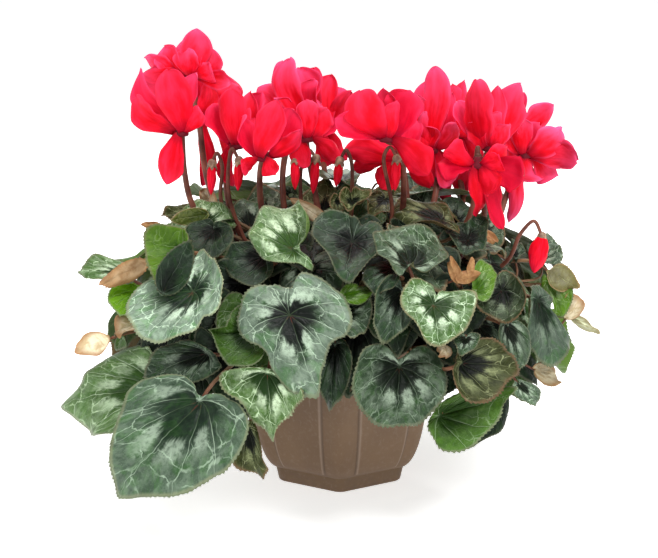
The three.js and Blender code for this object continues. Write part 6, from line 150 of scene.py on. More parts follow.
    ["inner_leaf_33",[-45.5,-77.8,213.5],[-33.1,-23.7,-26.2],[20.4,-19.6,-9.7],[-16.8,23.4,-0.4],[3.7,1.2,2.1,1.8,5,2.93],[0.956,0.0,0.886,0.133,0.82,0.265,0.762,0.401,0.684,0.538,0.586,0.665,0.474,0.776,0.352,0.873,0.217,0.955,0.065,1.006,-0.095,1.0,-0.229,0.914,-0.322,0.771,-0.374,0.61,-0.38,0.45,-0.353,0.303,-0.299,0.178,-0.168,0.077,-0.044,0.0,-0.174,-0.08,-0.316,-0.188,-0.373,-0.32,-0.393,-0.465,-0.375,-0.613,-0.317,-0.759,-0.223,-0.892,-0.092,-0.974,0.063,-0.98,0.211,-0.93,0.343,-0.852,0.467,-0.764,0.589,-0.668,0.705,-0.554,0.802,-0.422,0.867,-0.28,0.919,-0.138]],
    ["inner_leaf_34",[-9.3,98.4,216.4],[-16.0,27.6,-24.7],[-20.4,-9.7,2.0],[20.6,7.7,-4.9],[3.1,1.7,-2.5,1.8,5,0.99],[1.0,0.0,0.949,0.129,0.874,0.254,0.805,0.373,0.726,0.488,0.638,0.598,0.544,0.704,0.444,0.802,0.335,0.889,0.213,0.957,0.068,0.992,-0.059,0.954,-0.105,0.818,-0.129,0.674,-0.141,0.538,-0.137,0.398,-0.125,0.257,-0.088,0.122,-0.015,0.0,-0.088,-0.122,-0.125,-0.257,-0.137,-0.398,-0.141,-0.538,-0.129,-0.674,-0.105,-0.818,-0.059,-0.954,0.068,-0.992,0.213,-0.957,0.335,-0.889,0.444,-0.802,0.544,-0.704,0.638,-0.598,0.726,-0.488,0.805,-0.373,0.874,-0.254,0.949,-0.129]],
    ["inner_leaf_35",[-104.8,-8.9,219.4],[-28.9,5.1,-27.0],[-1.5,-25.7,-3.5],[7.2,25.8,-4.1],[5.8,1.0,-4.8,1.8,5,5.76],[1.0,0.0,0.985,0.159,0.939,0.312,0.873,0.458,0.792,0.596,0.699,0.726,0.593,0.846,0.468,0.945,0.316,0.99,0.159,0.965,0.007,0.914,-0.148,0.877,-0.306,0.895,-0.456,0.89,-0.488,0.735,-0.476,0.576,-0.449,0.418,-0.414,0.262,-0.376,0.106,-0.343,-0.05,-0.323,-0.209,-0.323,-0.369,-0.333,-0.529,-0.337,-0.689,-0.313,-0.847,-0.231,-0.981,-0.085,-1.042,0.074,-1.032,0.223,-0.975,0.356,-0.887,0.475,-0.78,0.585,-0.664,0.693,-0.546,0.8,-0.426,0.896,-0.299,0.968,-0.156]],
    ["inner_leaf_36",[-59.6,69.3,203.3],[-18.5,20.7,-25.5],[-13.8,-14.9,-2.9],[17.2,9.4,-5.6],[7.4,1.4,3.0,1.8,4,1.51],[1.023,0.0,0.925,0.139,0.813,0.263,0.721,0.38,0.638,0.503,0.559,0.638,0.471,0.777,0.359,0.902,0.22,0.988,0.061,1.016,-0.098,0.981,-0.227,0.89,-0.326,0.766,-0.39,0.626,-0.404,0.47,-0.369,0.312,-0.299,0.175,-0.161,0.073,-0.042,0.0,-0.168,-0.076,-0.319,-0.187,-0.395,-0.333,-0.423,-0.492,-0.396,-0.636,-0.321,-0.756,-0.22,-0.861,-0.093,-0.94,0.058,-0.971,0.211,-0.948,0.347,-0.873,0.465,-0.767,0.568,-0.648,0.669,-0.528,0.772,-0.407,0.87,-0.281,0.964,-0.145]],
    ["inner_leaf_37",[97.8,-13.4,207.1],[25.3,1.3,-26.1],[0.7,23.7,1.8],[-5.5,-22.9,-7.4],[5.7,2.2,1.3,1.8,4,0.3],[1.0,-0.0,0.973,0.157,0.905,0.301,0.828,0.442,0.737,0.573,0.62,0.682,0.501,0.789,0.379,0.892,0.236,0.964,0.082,1.005,-0.077,1.017,-0.23,0.972,-0.355,0.874,-0.42,0.729,-0.437,0.571,-0.416,0.412,-0.347,0.269,-0.24,0.15,-0.145,0.023,-0.188,-0.124,-0.289,-0.249,-0.369,-0.387,-0.408,-0.542,-0.395,-0.7,-0.351,-0.854,-0.24,-0.959,-0.082,-0.982,0.076,-1.005,0.231,-0.968,0.374,-0.897,0.498,-0.797,0.608,-0.68,0.713,-0.56,0.813,-0.435,0.901,-0.301,0.968,-0.156]],
    ["inner_leaf_38",[-82.8,-53.0,204.9],[-17.6,-28.0,-21.6],[19.7,-12.3,-0.7],[-18.4,13.6,-2.7],[4.6,1.7,-1.0,1.8,6,0.71],[1.0,0.0,0.947,0.134,0.87,0.262,0.797,0.385,0.714,0.504,0.622,0.618,0.524,0.726,0.418,0.825,0.301,0.911,0.168,0.972,0.018,0.994,-0.108,0.938,-0.178,0.805,-0.22,0.662,-0.236,0.52,-0.226,0.375,-0.201,0.232,-0.128,0.103,-0.025,0.0,-0.128,-0.103,-0.201,-0.232,-0.226,-0.375,-0.236,-0.52,-0.22,-0.662,-0.178,-0.805,-0.108,-0.938,0.018,-0.994,0.168,-0.972,0.301,-0.911,0.418,-0.825,0.524,-0.726,0.622,-0.618,0.714,-0.504,0.797,-0.385,0.87,-0.262,0.947,-0.134]],
    ["inner_leaf_39",[34.6,97.1,203.4],[-27.7,31.6,-18.1],[-20.9,-15.0,4.0],[19.8,11.5,-10.2],[4.7,2.5,-0.8,1.8,6,1.2],[0.988,0.07,0.942,0.194,0.868,0.304,0.779,0.403,0.682,0.493,0.579,0.577,0.47,0.653,0.353,0.717,0.228,0.759,0.096,0.763,-0.029,0.72,-0.121,0.626,-0.167,0.502,-0.167,0.37,-0.14,0.24,-0.118,0.109,-0.125,-0.023,-0.153,-0.153,-0.174,-0.284,-0.17,-0.417,-0.156,-0.549,-0.146,-0.682,-0.135,-0.814,-0.084,-0.935,0.019,-1.017,0.146,-1.054,0.268,-1.011,0.363,-0.919,0.458,-0.825,0.549,-0.729,0.631,-0.624,0.705,-0.514,0.779,-0.403,0.855,-0.294,0.927,-0.183,0.98,-0.062]],
    ["inner_leaf_40",[57.3,-96.0,219.0],[17.5,-31.6,-32.8],[20.6,17.5,-6.6],[-23.4,-14.5,1.2],[5.1,1.6,-0.5,1.8,6,5.81],[1.041,0.0,0.974,0.146,0.869,0.279,0.758,0.396,0.645,0.503,0.543,0.61,0.45,0.728,0.349,0.854,0.225,0.964,0.073,1.023,-0.087,1.007,-0.219,0.913,-0.313,0.777,-0.374,0.632,-0.392,0.481,-0.365,0.326,-0.299,0.185,-0.16,0.076,-0.039,0.0,-0.157,-0.074,-0.292,-0.18,-0.365,-0.326,-0.405,-0.496,-0.393,-0.664,-0.325,-0.805,-0.218,-0.91,-0.084,-0.963,0.069,-0.961,0.215,-0.922,0.348,-0.852,0.468,-0.756,0.572,-0.643,0.667,-0.52,0.757,-0.396,0.848,-0.272,0.953,-0.142]],
    ["inner_leaf_41",[-94.3,37.3,201.1],[-29.4,-12.4,-20.5],[4.0,-22.3,7.6],[0.4,20.5,-14.3],[7.9,2.8,-1.3,1.8,5,3.55],[0.998,0.025,0.919,0.144,0.81,0.239,0.706,0.341,0.602,0.442,0.496,0.542,0.401,0.652,0.319,0.772,0.248,0.899,0.176,1.025,0.06,1.019,-0.003,0.889,-0.029,0.746,-0.039,0.601,-0.045,0.456,-0.051,0.311,-0.056,0.165,-0.062,0.02,-0.07,-0.125,-0.079,-0.27,-0.085,-0.415,-0.086,-0.561,-0.083,-0.706,-0.079,-0.851,-0.063,-0.996,0.017,-1.107,0.154,-1.073,0.249,-0.965,0.306,-0.831,0.348,-0.693,0.453,-0.596,0.592,-0.556,0.707,-0.472,0.779,-0.346,0.84,-0.214,0.928,-0.098]],
    ["inner_leaf_42",[100.4,47.8,208.4],[26.3,13.9,-20.3],[-10.4,16.5,-2.6],[7.4,-18.4,-3.8],[6.8,0.3,1.3,1.8,5,3.01],[1.021,0.0,0.924,0.136,0.814,0.258,0.726,0.374,0.648,0.497,0.572,0.632,0.486,0.769,0.376,0.891,0.241,0.977,0.087,1.01,-0.071,0.984,-0.198,0.899,-0.292,0.774,-0.351,0.635,-0.367,0.481,-0.338,0.325,-0.278,0.185,-0.155,0.078,-0.038,0.0,-0.162,-0.081,-0.299,-0.199,-0.362,-0.348,-0.383,-0.503,-0.355,-0.642,-0.286,-0.761,-0.192,-0.868,-0.068,-0.946,0.083,-0.971,0.232,-0.94,0.364,-0.862,0.477,-0.755,0.578,-0.638,0.678,-0.521,0.78,-0.402,0.875,-0.278,0.966,-0.143]],
    ["inner_leaf_43",[-104.0,-41.2,204.4],[-33.6,19.4,-24.7],[-2.1,-21.1,-14.8],[7.7,23.2,7.1],[6.1,0.8,1.1,1.8,4,0.77],[0.96,0.0,0.908,0.139,0.842,0.277,0.77,0.412,0.675,0.539,0.569,0.658,0.46,0.772,0.343,0.884,0.208,0.981,0.05,1.032,-0.113,1.006,-0.244,0.897,-0.335,0.745,-0.388,0.59,-0.402,0.441,-0.38,0.302,-0.321,0.176,-0.176,0.076,-0.047,0.0,-0.174,-0.075,-0.32,-0.176,-0.388,-0.308,-0.421,-0.463,-0.41,-0.623,-0.346,-0.769,-0.241,-0.885,-0.107,-0.95,0.046,-0.958,0.197,-0.927,0.339,-0.872,0.475,-0.796,0.599,-0.693,0.705,-0.564,0.786,-0.421,0.841,-0.277,0.901,-0.138]],
    ["inner_leaf_44",[81.5,-84.9,202.7],[18.2,-24.6,-29.5],[17.0,18.2,-5.3],[-20.7,-14.6,-1.2],[5.8,1.7,1.1,1.8,6,1.85],[1.0,-0.0,0.963,0.145,0.889,0.276,0.801,0.397,0.707,0.515,0.612,0.631,0.511,0.743,0.403,0.847,0.285,0.94,0.149,0.998,0.068,0.89,0.092,0.742,0.146,0.602,0.18,0.457,0.146,0.313,0.013,0.297,-0.123,0.36,-0.245,0.292,-0.265,0.145,-0.248,-0.005,-0.243,-0.155,-0.252,-0.305,-0.261,-0.455,-0.258,-0.605,-0.229,-0.752,-0.153,-0.88,-0.025,-0.956,0.124,-0.962,0.265,-0.912,0.391,-0.831,0.505,-0.732,0.609,-0.624,0.708,-0.511,0.803,-0.395,0.895,-0.276,0.97,-0.146]],
    ["inner_leaf_45",[107.8,68.1,195.8],[-6.9,33.9,-15.0],[-20.3,-0.7,6.5],[17.3,-1.4,-11.6],[8.0,2.7,-1.7,1.8,5,1.25],[1.023,0.0,0.925,0.139,0.813,0.263,0.721,0.38,0.638,0.503,0.559,0.638,0.471,0.777,0.359,0.902,0.22,0.988,0.061,1.016,-0.098,0.981,-0.227,0.89,-0.326,0.766,-0.39,0.626,-0.404,0.47,-0.369,0.312,-0.299,0.175,-0.161,0.073,-0.042,0.0,-0.168,-0.076,-0.319,-0.187,-0.395,-0.333,-0.423,-0.492,-0.396,-0.636,-0.321,-0.756,-0.22,-0.861,-0.093,-0.94,0.058,-0.971,0.211,-0.948,0.347,-0.873,0.465,-0.767,0.568,-0.648,0.669,-0.528,0.772,-0.407,0.87,-0.281,0.964,-0.145]],
    ["inner_leaf_46",[-24.0,-115.3,201.4],[6.1,-37.2,-32.6],[26.7,1.1,3.0],[-24.4,5.2,-11.4],[3.4,1.6,-4.3,1.8,6,4.2],[1.026,0.0,0.985,0.147,0.899,0.288,0.798,0.414,0.682,0.525,0.569,0.628,0.464,0.733,0.355,0.841,0.231,0.936,0.084,0.99,-0.072,0.98,-0.2,0.897,-0.294,0.773,-0.359,0.64,-0.383,0.496,-0.363,0.343,-0.301,0.197,-0.163,0.081,-0.038,0.0,-0.153,-0.076,-0.275,-0.18,-0.338,-0.319,-0.374,-0.484,-0.366,-0.652,-0.307,-0.805,-0.207,-0.927,-0.073,-0.992,0.084,-0.992,0.234,-0.948,0.367,-0.869,0.483,-0.764,0.58,-0.641,0.664,-0.511,0.741,-0.385,0.823,-0.264,0.928,-0.139]],
    ["inner_leaf_47",[-64.7,-95.5,184.6],[6.6,-33.9,-22.6],[25.3,1.4,4.2],[-20.7,5.2,-15.2],[7.5,1.8,-2.1,1.8,6,0.84],[0.993,-0.013,0.879,0.107,0.743,0.207,0.611,0.311,0.473,0.409,0.349,0.523,0.275,0.673,0.233,0.835,0.136,0.973,0.002,1.074,-0.164,1.094,-0.328,1.068,-0.439,0.941,-0.537,0.805,-0.582,0.642,-0.587,0.475,-0.497,0.335,-0.373,0.221,-0.384,0.086,-0.46,-0.051,-0.424,-0.216,-0.398,-0.383,-0.362,-0.548,-0.297,-0.703,-0.204,-0.844,-0.092,-0.971,0.035,-1.081,0.194,-1.081,0.309,-0.96,0.366,-0.802,0.475,-0.691,0.642,-0.712,0.788,-0.632,0.896,-0.505,0.943,-0.343,0.987,-0.18]],
    ["inner_leaf_48",[-30.5,130.0,196.6],[-3.5,18.9,-33.7],[-24.6,-6.1,-1.2],[25.6,-1.3,-4.1],[3.7,2.3,-1.3,1.8,5,4.76],[0.956,0.0,0.886,0.133,0.82,0.265,0.762,0.401,0.684,0.538,0.586,0.665,0.474,0.776,0.352,0.873,0.217,0.955,0.065,1.006,-0.095,1.0,-0.229,0.914,-0.322,0.771,-0.374,0.61,-0.38,0.45,-0.353,0.303,-0.299,0.178,-0.168,0.077,-0.044,0.0,-0.174,-0.08,-0.316,-0.188,-0.373,-0.32,-0.393,-0.465,-0.375,-0.613,-0.317,-0.759,-0.223,-0.892,-0.092,-0.974,0.063,-0.98,0.211,-0.93,0.343,-0.852,0.467,-0.764,0.589,-0.668,0.705,-0.554,0.802,-0.422,0.867,-0.28,0.919,-0.138]],
    ["inner_leaf_49",[116.4,-83.5,199.2],[24.2,-8.5,-29.5],[6.3,19.5,-0.8],[-10.5,-17.3,-4.1],[4.9,2.9,1.2,1.8,5,4.5],[1.0,0.0,0.94,0.128,0.844,0.235,0.754,0.347,0.671,0.465,0.589,0.583,0.501,0.697,0.399,0.799,0.282,0.882,0.155,0.949,0.024,1.009,-0.115,1.046,-0.217,0.96,-0.246,0.819,-0.251,0.676,-0.239,0.532,-0.203,0.393,-0.144,0.262,-0.079,0.133,-0.037,-0.004,-0.057,-0.145,-0.107,-0.281,-0.146,-0.419,-0.166,-0.562,-0.176,-0.705,-0.171,-0.849,-0.063,-0.913,0.079,-0.895,0.201,-0.819,0.306,-0.72,0.41,-0.621,0.513,-0.52,0.614,-0.417,0.715,-0.315,0.82,-0.217,0.928,-0.121]],
    ["inner_leaf_50",[89.2,98.9,189.0],[1.7,23.9,-25.0],[-18.1,4.5,2.7],[15.7,-8.2,-7.3],[7.1,0.2,3.3,1.8,6,4.13],[1.014,0.0,0.961,0.147,0.871,0.287,0.776,0.416,0.673,0.539,0.571,0.661,0.465,0.781,0.344,0.888,0.202,0.96,0.046,0.977,-0.107,0.937,-0.234,0.852,-0.337,0.745,-0.413,0.624,-0.441,0.482,-0.413,0.326,-0.333,0.182,-0.173,0.074,-0.045,-0.0,-0.165,-0.071,-0.31,-0.17,-0.386,-0.304,-0.423,-0.462,-0.41,-0.619,-0.343,-0.759,-0.242,-0.881,-0.111,-0.972,0.048,-1.012,0.21,-0.994,0.355,-0.917,0.474,-0.796,0.566,-0.656,0.645,-0.516,0.724,-0.388,0.811,-0.267,0.918,-0.14]],
    ["inner_leaf_51",[13.8,-127.0,185.3],[-16.0,-30.1,-21.4],[19.0,-5.1,-7.1],[-19.7,7.8,2.8],[3.0,0.2,0.7,1.8,5,1.69],[1.0,0.0,0.949,0.129,0.874,0.254,0.805,0.373,0.726,0.488,0.638,0.598,0.544,0.704,0.444,0.802,0.335,0.889,0.213,0.957,0.068,0.992,-0.059,0.954,-0.105,0.818,-0.129,0.674,-0.141,0.538,-0.137,0.398,-0.125,0.257,-0.088,0.122,-0.015,0.0,-0.088,-0.122,-0.125,-0.257,-0.137,-0.398,-0.141,-0.538,-0.129,-0.674,-0.105,-0.818,-0.059,-0.954,0.068,-0.992,0.213,-0.957,0.335,-0.889,0.444,-0.802,0.544,-0.704,0.638,-0.598,0.726,-0.488,0.805,-0.373,0.874,-0.254,0.949,-0.129]],
    ["inner_leaf_52",[-93.1,87.5,191.2],[-18.1,26.3,-36.6],[-20.7,-19.6,-4.9],[25.9,11.3,-5.7],[4.2,2.3,1.0,1.8,4,2.16],[1.021,0.0,0.924,0.136,0.814,0.258,0.726,0.374,0.648,0.497,0.572,0.632,0.486,0.769,0.376,0.891,0.241,0.977,0.087,1.01,-0.071,0.984,-0.198,0.899,-0.292,0.774,-0.351,0.635,-0.367,0.481,-0.338,0.325,-0.278,0.185,-0.155,0.078,-0.038,0.0,-0.162,-0.081,-0.299,-0.199,-0.362,-0.348,-0.383,-0.503,-0.355,-0.642,-0.286,-0.761,-0.192,-0.868,-0.068,-0.946,0.083,-0.971,0.232,-0.94,0.364,-0.862,0.477,-0.755,0.578,-0.638,0.678,-0.521,0.78,-0.402,0.875,-0.278,0.966,-0.143]],
    ["inner_leaf_53",[129.8,-11.5,188.9],[27.0,15.8,-33.0],[-7.3,25.0,5.6],[1.6,-24.5,-11.1],[4.7,1.6,0.3,1.8,4,0.14],[0.998,0.025,0.919,0.144,0.81,0.239,0.706,0.341,0.602,0.442,0.496,0.542,0.401,0.652,0.319,0.772,0.248,0.899,0.176,1.025,0.06,1.019,-0.003,0.889,-0.029,0.746,-0.039,0.601,-0.045,0.456,-0.051,0.311,-0.056,0.165,-0.062,0.02,-0.07,-0.125,-0.079,-0.27,-0.085,-0.415,-0.086,-0.561,-0.083,-0.706,-0.079,-0.851,-0.063,-0.996,0.017,-1.107,0.154,-1.073,0.249,-0.965,0.306,-0.831,0.348,-0.693,0.453,-0.596,0.592,-0.556,0.707,-0.472,0.779,-0.346,0.84,-0.214,0.928,-0.098]],
    ["inner_leaf_54",[-110.7,-84.4,189.9],[-6.2,-28.4,-30.2],[24.7,-10.7,4.9],[-21.1,15.3,-11.0],[4.3,1.0,1.6,1.8,5,3.35],[1.0,0.0,0.959,0.138,0.891,0.265,0.809,0.383,0.719,0.496,0.625,0.606,0.529,0.713,0.428,0.815,0.312,0.901,0.173,0.929,0.048,0.862,-0.021,0.736,-0.045,0.595,-0.041,0.451,-0.031,0.307,-0.036,0.163,-0.075,0.025,-0.139,-0.105,-0.207,-0.232,-0.263,-0.365,-0.299,-0.504,-0.312,-0.647,-0.298,-0.791,-0.25,-0.926,-0.16,-1.037,-0.026,-1.078,0.111,-1.035,0.241,-0.972,0.371,-0.909,0.496,-0.838,0.607,-0.747,0.702,-0.638,0.786,-0.521,0.865,-0.401,0.939,-0.277,0.992,-0.143]],
    ["inner_leaf_55",[18.6,132.5,192.0],[-2.6,25.0,-42.1],[-26.6,-2.5,-0.6],[24.9,-5.8,-5.4],[7.6,1.3,0.3,1.8,5,0.36],[1.03,0.0,0.958,0.143,0.861,0.277,0.772,0.403,0.681,0.529,0.585,0.655,0.479,0.77,0.356,0.863,0.219,0.924,0.071,0.949,-0.078,0.938,-0.208,0.881,-0.313,0.785,-0.385,0.659,-0.406,0.503,-0.372,0.336,-0.3,0.187,-0.161,0.077,-0.04,0.0,-0.16,-0.076,-0.294,-0.184,-0.357,-0.323,-0.383,-0.475,-0.365,-0.623,-0.305,-0.765,-0.213,-0.902,-0.084,-1.005,0.077,-1.035,0.234,-0.988,0.364,-0.883,0.467,-0.751,0.553,-0.619,0.641,-0.498,0.74,-0.386,0.843,-0.271,0.952,-0.143]],
    ["inner_leaf_56",[-133.3,16.3,185.2],[-20.6,33.5,-31.2],[-9.7,-20.0,-16.3],[18.9,18.5,6.4],[5.6,1.0,2.3,1.8,4,1.25],[1.076,0.244,1.066,0.413,1.021,0.577,0.952,0.732,0.863,0.877,0.754,1.008,0.629,1.122,0.488,1.217,0.325,1.262,0.159,1.231,0.012,1.146,-0.109,1.027,-0.207,0.889,-0.283,0.737,-0.329,0.573,-0.332,0.404,-0.308,0.235,-0.319,0.067,-0.388,-0.089,-0.465,-0.24,-0.519,-0.401,-0.539,-0.57,-0.516,-0.738,-0.446,-0.892,-0.318,-1.001,-0.156,-1.049,0.013,-1.035,0.163,-0.958,0.294,-0.848,0.413,-0.727,0.526,-0.6,0.636,-0.47,0.744,-0.339,0.85,-0.205,0.95,-0.068,1.034,0.08]],
    ["inner_leaf_57",[-75.2,133.1,187.8],[15.5,26.0,-30.8],[-22.6,-0.0,-11.7],[24.1,-4.6,7.7],[7.5,2.4,2.3,1.8,6,0.0],[0.957,-0.082,0.897,0.046,0.791,0.143,0.678,0.234,0.566,0.325,0.45,0.41,0.322,0.478,0.184,0.515,0.04,0.507,-0.092,0.45,-0.195,0.351,-0.266,0.226,-0.317,0.091,-0.359,-0.047,-0.395,-0.187,-0.42,-0.329,-0.435,-0.473,-0.448,-0.617,-0.467,-0.76,-0.49,-0.902,-0.507,-1.045,-0.506,-1.19,-0.464,-1.326,-0.345,-1.389,-0.216,-1.326,-0.101,-1.239,0.012,-1.15,0.124,-1.059,0.233,-0.964,0.337,-0.864,0.435,-0.758,0.532,-0.651,0.628,-0.544,0.727,-0.439,0.824,-0.332,0.911,-0.216]],
    ["inner_leaf_58",[131.4,-52.5,181.9],[18.4,-9.2,-28.2],[7.9,19.4,-1.4],[-11.3,-17.7,-2.0],[6.6,0.8,0.3,1.8,5,2.86],[1.03,0.0,0.958,0.143,0.861,0.277,0.772,0.403,0.681,0.529,0.585,0.655,0.479,0.77,0.356,0.863,0.219,0.924,0.071,0.949,-0.078,0.938,-0.208,0.881,-0.313,0.785,-0.385,0.659,-0.406,0.503,-0.372,0.336,-0.3,0.187,-0.161,0.077,-0.04,0.0,-0.16,-0.076,-0.294,-0.184,-0.357,-0.323,-0.383,-0.475,-0.365,-0.623,-0.305,-0.765,-0.213,-0.902,-0.084,-1.005,0.077,-1.035,0.234,-0.988,0.364,-0.883,0.467,-0.751,0.553,-0.619,0.641,-0.498,0.74,-0.386,0.843,-0.271,0.952,-0.143]],
    ["inner_leaf_59",[-133.2,-46.2,183.7],[-19.9,-15.6,-34.3],[15.9,-22.8,0.3],[-5.3,25.6,-9.5],[7.6,2.0,-0.5,1.8,5,1.13],[1.0,0.0,0.949,0.129,0.874,0.254,0.805,0.373,0.726,0.488,0.638,0.598,0.544,0.704,0.444,0.802,0.335,0.889,0.213,0.957,0.068,0.992,-0.059,0.954,-0.105,0.818,-0.129,0.674,-0.141,0.538,-0.137,0.398,-0.125,0.257,-0.088,0.122,-0.015,0.0,-0.088,-0.122,-0.125,-0.257,-0.137,-0.398,-0.141,-0.538,-0.129,-0.674,-0.105,-0.818,-0.059,-0.954,0.068,-0.992,0.213,-0.957,0.335,-0.889,0.444,-0.802,0.544,-0.704,0.638,-0.598,0.726,-0.488,0.805,-0.373,0.874,-0.254,0.949,-0.129]],
    ["inner_leaf_60",[62.2,133.5,184.8],[22.0,15.0,-34.4],[-20.9,13.1,-8.3],[18.8,-16.4,4.9],[7.1,1.7,2.8,1.8,5,3.71],[1.023,0.0,0.925,0.139,0.813,0.263,0.721,0.38,0.638,0.503,0.559,0.638,0.471,0.777,0.359,0.902,0.22,0.988,0.061,1.016,-0.098,0.981,-0.227,0.89,-0.326,0.766,-0.39,0.626,-0.404,0.47,-0.369,0.312,-0.299,0.175,-0.161,0.073,-0.042,0.0,-0.168,-0.076,-0.319,-0.187,-0.395,-0.333,-0.423,-0.492,-0.396,-0.636,-0.321,-0.756,-0.22,-0.861,-0.093,-0.94,0.058,-0.971,0.211,-0.948,0.347,-0.873,0.465,-0.767,0.568,-0.648,0.669,-0.528,0.772,-0.407,0.87,-0.281,0.964,-0.145]],
    ["inner_leaf_61",[35.0,-131.5,177.6],[9.2,-24.9,-28.8],[19.8,9.5,-2.1],[-22.1,-4.4,-4.2],[6.5,3.0,-0.8,1.8,6,4.25],[1.014,0.0,0.927,0.141,0.82,0.269,0.721,0.388,0.627,0.507,0.541,0.637,0.452,0.777,0.341,0.912,0.201,1.01,0.037,1.036,-0.124,0.984,-0.253,0.874,-0.349,0.74,-0.414,0.601,-0.432,0.453,-0.4,0.302,-0.323,0.17,-0.169,0.07,-0.046,0.0,-0.171,-0.071,-0.331,-0.174,-0.418,-0.316,-0.457,-0.48,-0.435,-0.633,-0.356,-0.756,-0.246,-0.852,-0.116,-0.921,0.034,-0.955,0.188,-0.947,0.333,-0.891,0.461,-0.793,0.569,-0.671,0.665,-0.538,0.756,-0.406,0.843,-0.276,0.937,-0.142]],
    ["inner_leaf_62",[-120.8,72.2,180.7],[-11.8,15.6,-36.8],[-13.8,-21.9,-5.4],[18.4,18.4,1.7],[7.2,2.8,-1.5,1.8,5,0.56],[0.98,0.0,0.895,0.133,0.815,0.261,0.75,0.391,0.671,0.523,0.577,0.648,0.471,0.761,0.352,0.861,0.222,0.947,0.073,1.006,-0.087,1.011,-0.223,0.934,-0.318,0.792,-0.369,0.626,-0.372,0.458,-0.34,0.305,-0.285,0.177,-0.161,0.077,-0.042,0.0,-0.17,-0.081,-0.31,-0.192,-0.367,-0.329,-0.388,-0.477,-0.369,-0.626,-0.31,-0.771,-0.215,-0.902,-0.084,-0.98,0.071,-0.978,0.215,-0.917,0.34,-0.83,0.458,-0.74,0.578,-0.649,0.699,-0.544,0.808,-0.421,0.885,-0.284,0.945,-0.141]],
    ["inner_leaf_63",[144.9,19.6,182.3],[13.3,18.8,-39.1],[-10.7,20.2,5.9],[5.5,-21.4,-8.9],[4.3,2.8,0.7,1.8,4,4.41],[0.995,0.0,0.915,0.134,0.822,0.259,0.742,0.381,0.664,0.51,0.585,0.647,0.493,0.782,0.377,0.898,0.239,0.972,0.084,0.989,-0.069,0.951,-0.19,0.862,-0.281,0.748,-0.344,0.625,-0.368,0.485,-0.347,0.335,-0.289,0.193,-0.16,0.081,-0.039,0.0,-0.162,-0.082,-0.294,-0.196,-0.351,-0.339,-0.369,-0.487,-0.343,-0.622,-0.279,-0.742,-0.189,-0.857,-0.068,-0.95,0.084,-0.99,0.238,-0.971,0.375,-0.893,0.489,-0.776,0.582,-0.644,0.667,-0.512,0.752,-0.386,0.835,-0.263,0.926,-0.136]],
    ["inner_leaf_64",[-142.7,5.8,175.3],[-20.4,-16.0,-34.4],[6.8,-26.3,8.1],[0.1,26.3,-13.3],[5.2,2.2,0.8,1.8,6,0.24],[1.05,0.0,0.957,0.147,0.843,0.278,0.743,0.4,0.648,0.522,0.555,0.647,0.454,0.77,0.334,0.877,0.195,0.951,0.04,0.982,-0.117,0.966,-0.255,0.9,-0.367,0.791,-0.439,0.648,-0.45,0.479,-0.402,0.308,-0.314,0.167,-0.163,0.068,-0.044,0.0,-0.167,-0.07,-0.325,-0.173,-0.409,-0.314,-0.447,-0.476,-0.428,-0.632,-0.357,-0.771,-0.253,-0.893,-0.118,-0.982,0.041,-1.008,0.198,-0.966,0.332,-0.87,0.442,-0.75,0.54,-0.63,0.643,-0.518,0.758,-0.408,0.871,-0.288,0.98,-0.151]],
    ["inner_leaf_65",[74.9,-136.4,172.1],[7.2,-27.5,-33.9],[23.1,13.3,-6.4],[-26.2,-8.0,0.3],[3.3,2.0,1.5,1.8,4,4.58],[0.986,-0.015,0.949,0.164,0.862,0.327,0.77,0.487,0.669,0.642,0.541,0.775,0.38,0.853,0.204,0.833,0.093,0.979,-0.057,1.033,-0.208,0.925,-0.333,0.791,-0.394,0.617,-0.433,0.437,-0.472,0.256,-0.513,0.076,-0.575,-0.098,-0.663,-0.261,-0.762,-0.417,-0.819,-0.58,-0.647,-0.52,-0.484,-0.433,-0.321,-0.345,-0.252,-0.362,-0.373,-0.502,-0.439,-0.668,-0.321,-0.808,-0.176,-0.922,-0.008,-0.999,0.172,-0.987,0.328,-0.888,0.467,-0.767,0.597,-0.635,0.716,-0.494,0.824,-0.344,0.923,-0.188]],
    ["inner_leaf_66",[131.7,66.1,167.3],[27.6,-13.8,-34.9],[-2.9,27.2,-13.5],[-3.9,-29.6,7.9],[4.0,0.1,0.1,1.8,6,1.33],[1.0,0.0,0.947,0.134,0.87,0.262,0.797,0.385,0.714,0.504,0.622,0.618,0.524,0.726,0.418,0.825,0.301,0.911,0.168,0.972,0.018,0.994,-0.108,0.938,-0.178,0.805,-0.22,0.662,-0.236,0.52,-0.226,0.375,-0.201,0.232,-0.128,0.103,-0.025,0.0,-0.128,-0.103,-0.201,-0.232,-0.226,-0.375,-0.236,-0.52,-0.22,-0.662,-0.178,-0.805,-0.108,-0.938,0.018,-0.994,0.168,-0.972,0.301,-0.911,0.418,-0.825,0.524,-0.726,0.622,-0.618,0.714,-0.504,0.797,-0.385,0.87,-0.262,0.947,-0.134]],
    ["inner_leaf_67",[-69.6,-140.0,169.6],[-0.4,-27.6,-36.0],[23.6,-6.3,4.6],[-22.7,8.2,-6.3],[5.9,1.6,1.8,1.8,5,1.31],[1.076,0.244,1.066,0.413,1.021,0.577,0.952,0.732,0.863,0.877,0.754,1.008,0.629,1.122,0.488,1.217,0.325,1.262,0.159,1.231,0.012,1.146,-0.109,1.027,-0.207,0.889,-0.283,0.737,-0.329,0.573,-0.332,0.404,-0.308,0.235,-0.319,0.067,-0.388,-0.089,-0.465,-0.24,-0.519,-0.401,-0.539,-0.57,-0.516,-0.738,-0.446,-0.892,-0.318,-1.001,-0.156,-1.049,0.013,-1.035,0.163,-0.958,0.294,-0.848,0.413,-0.727,0.526,-0.6,0.636,-0.47,0.744,-0.339,0.85,-0.205,0.95,-0.068,1.034,0.08]],
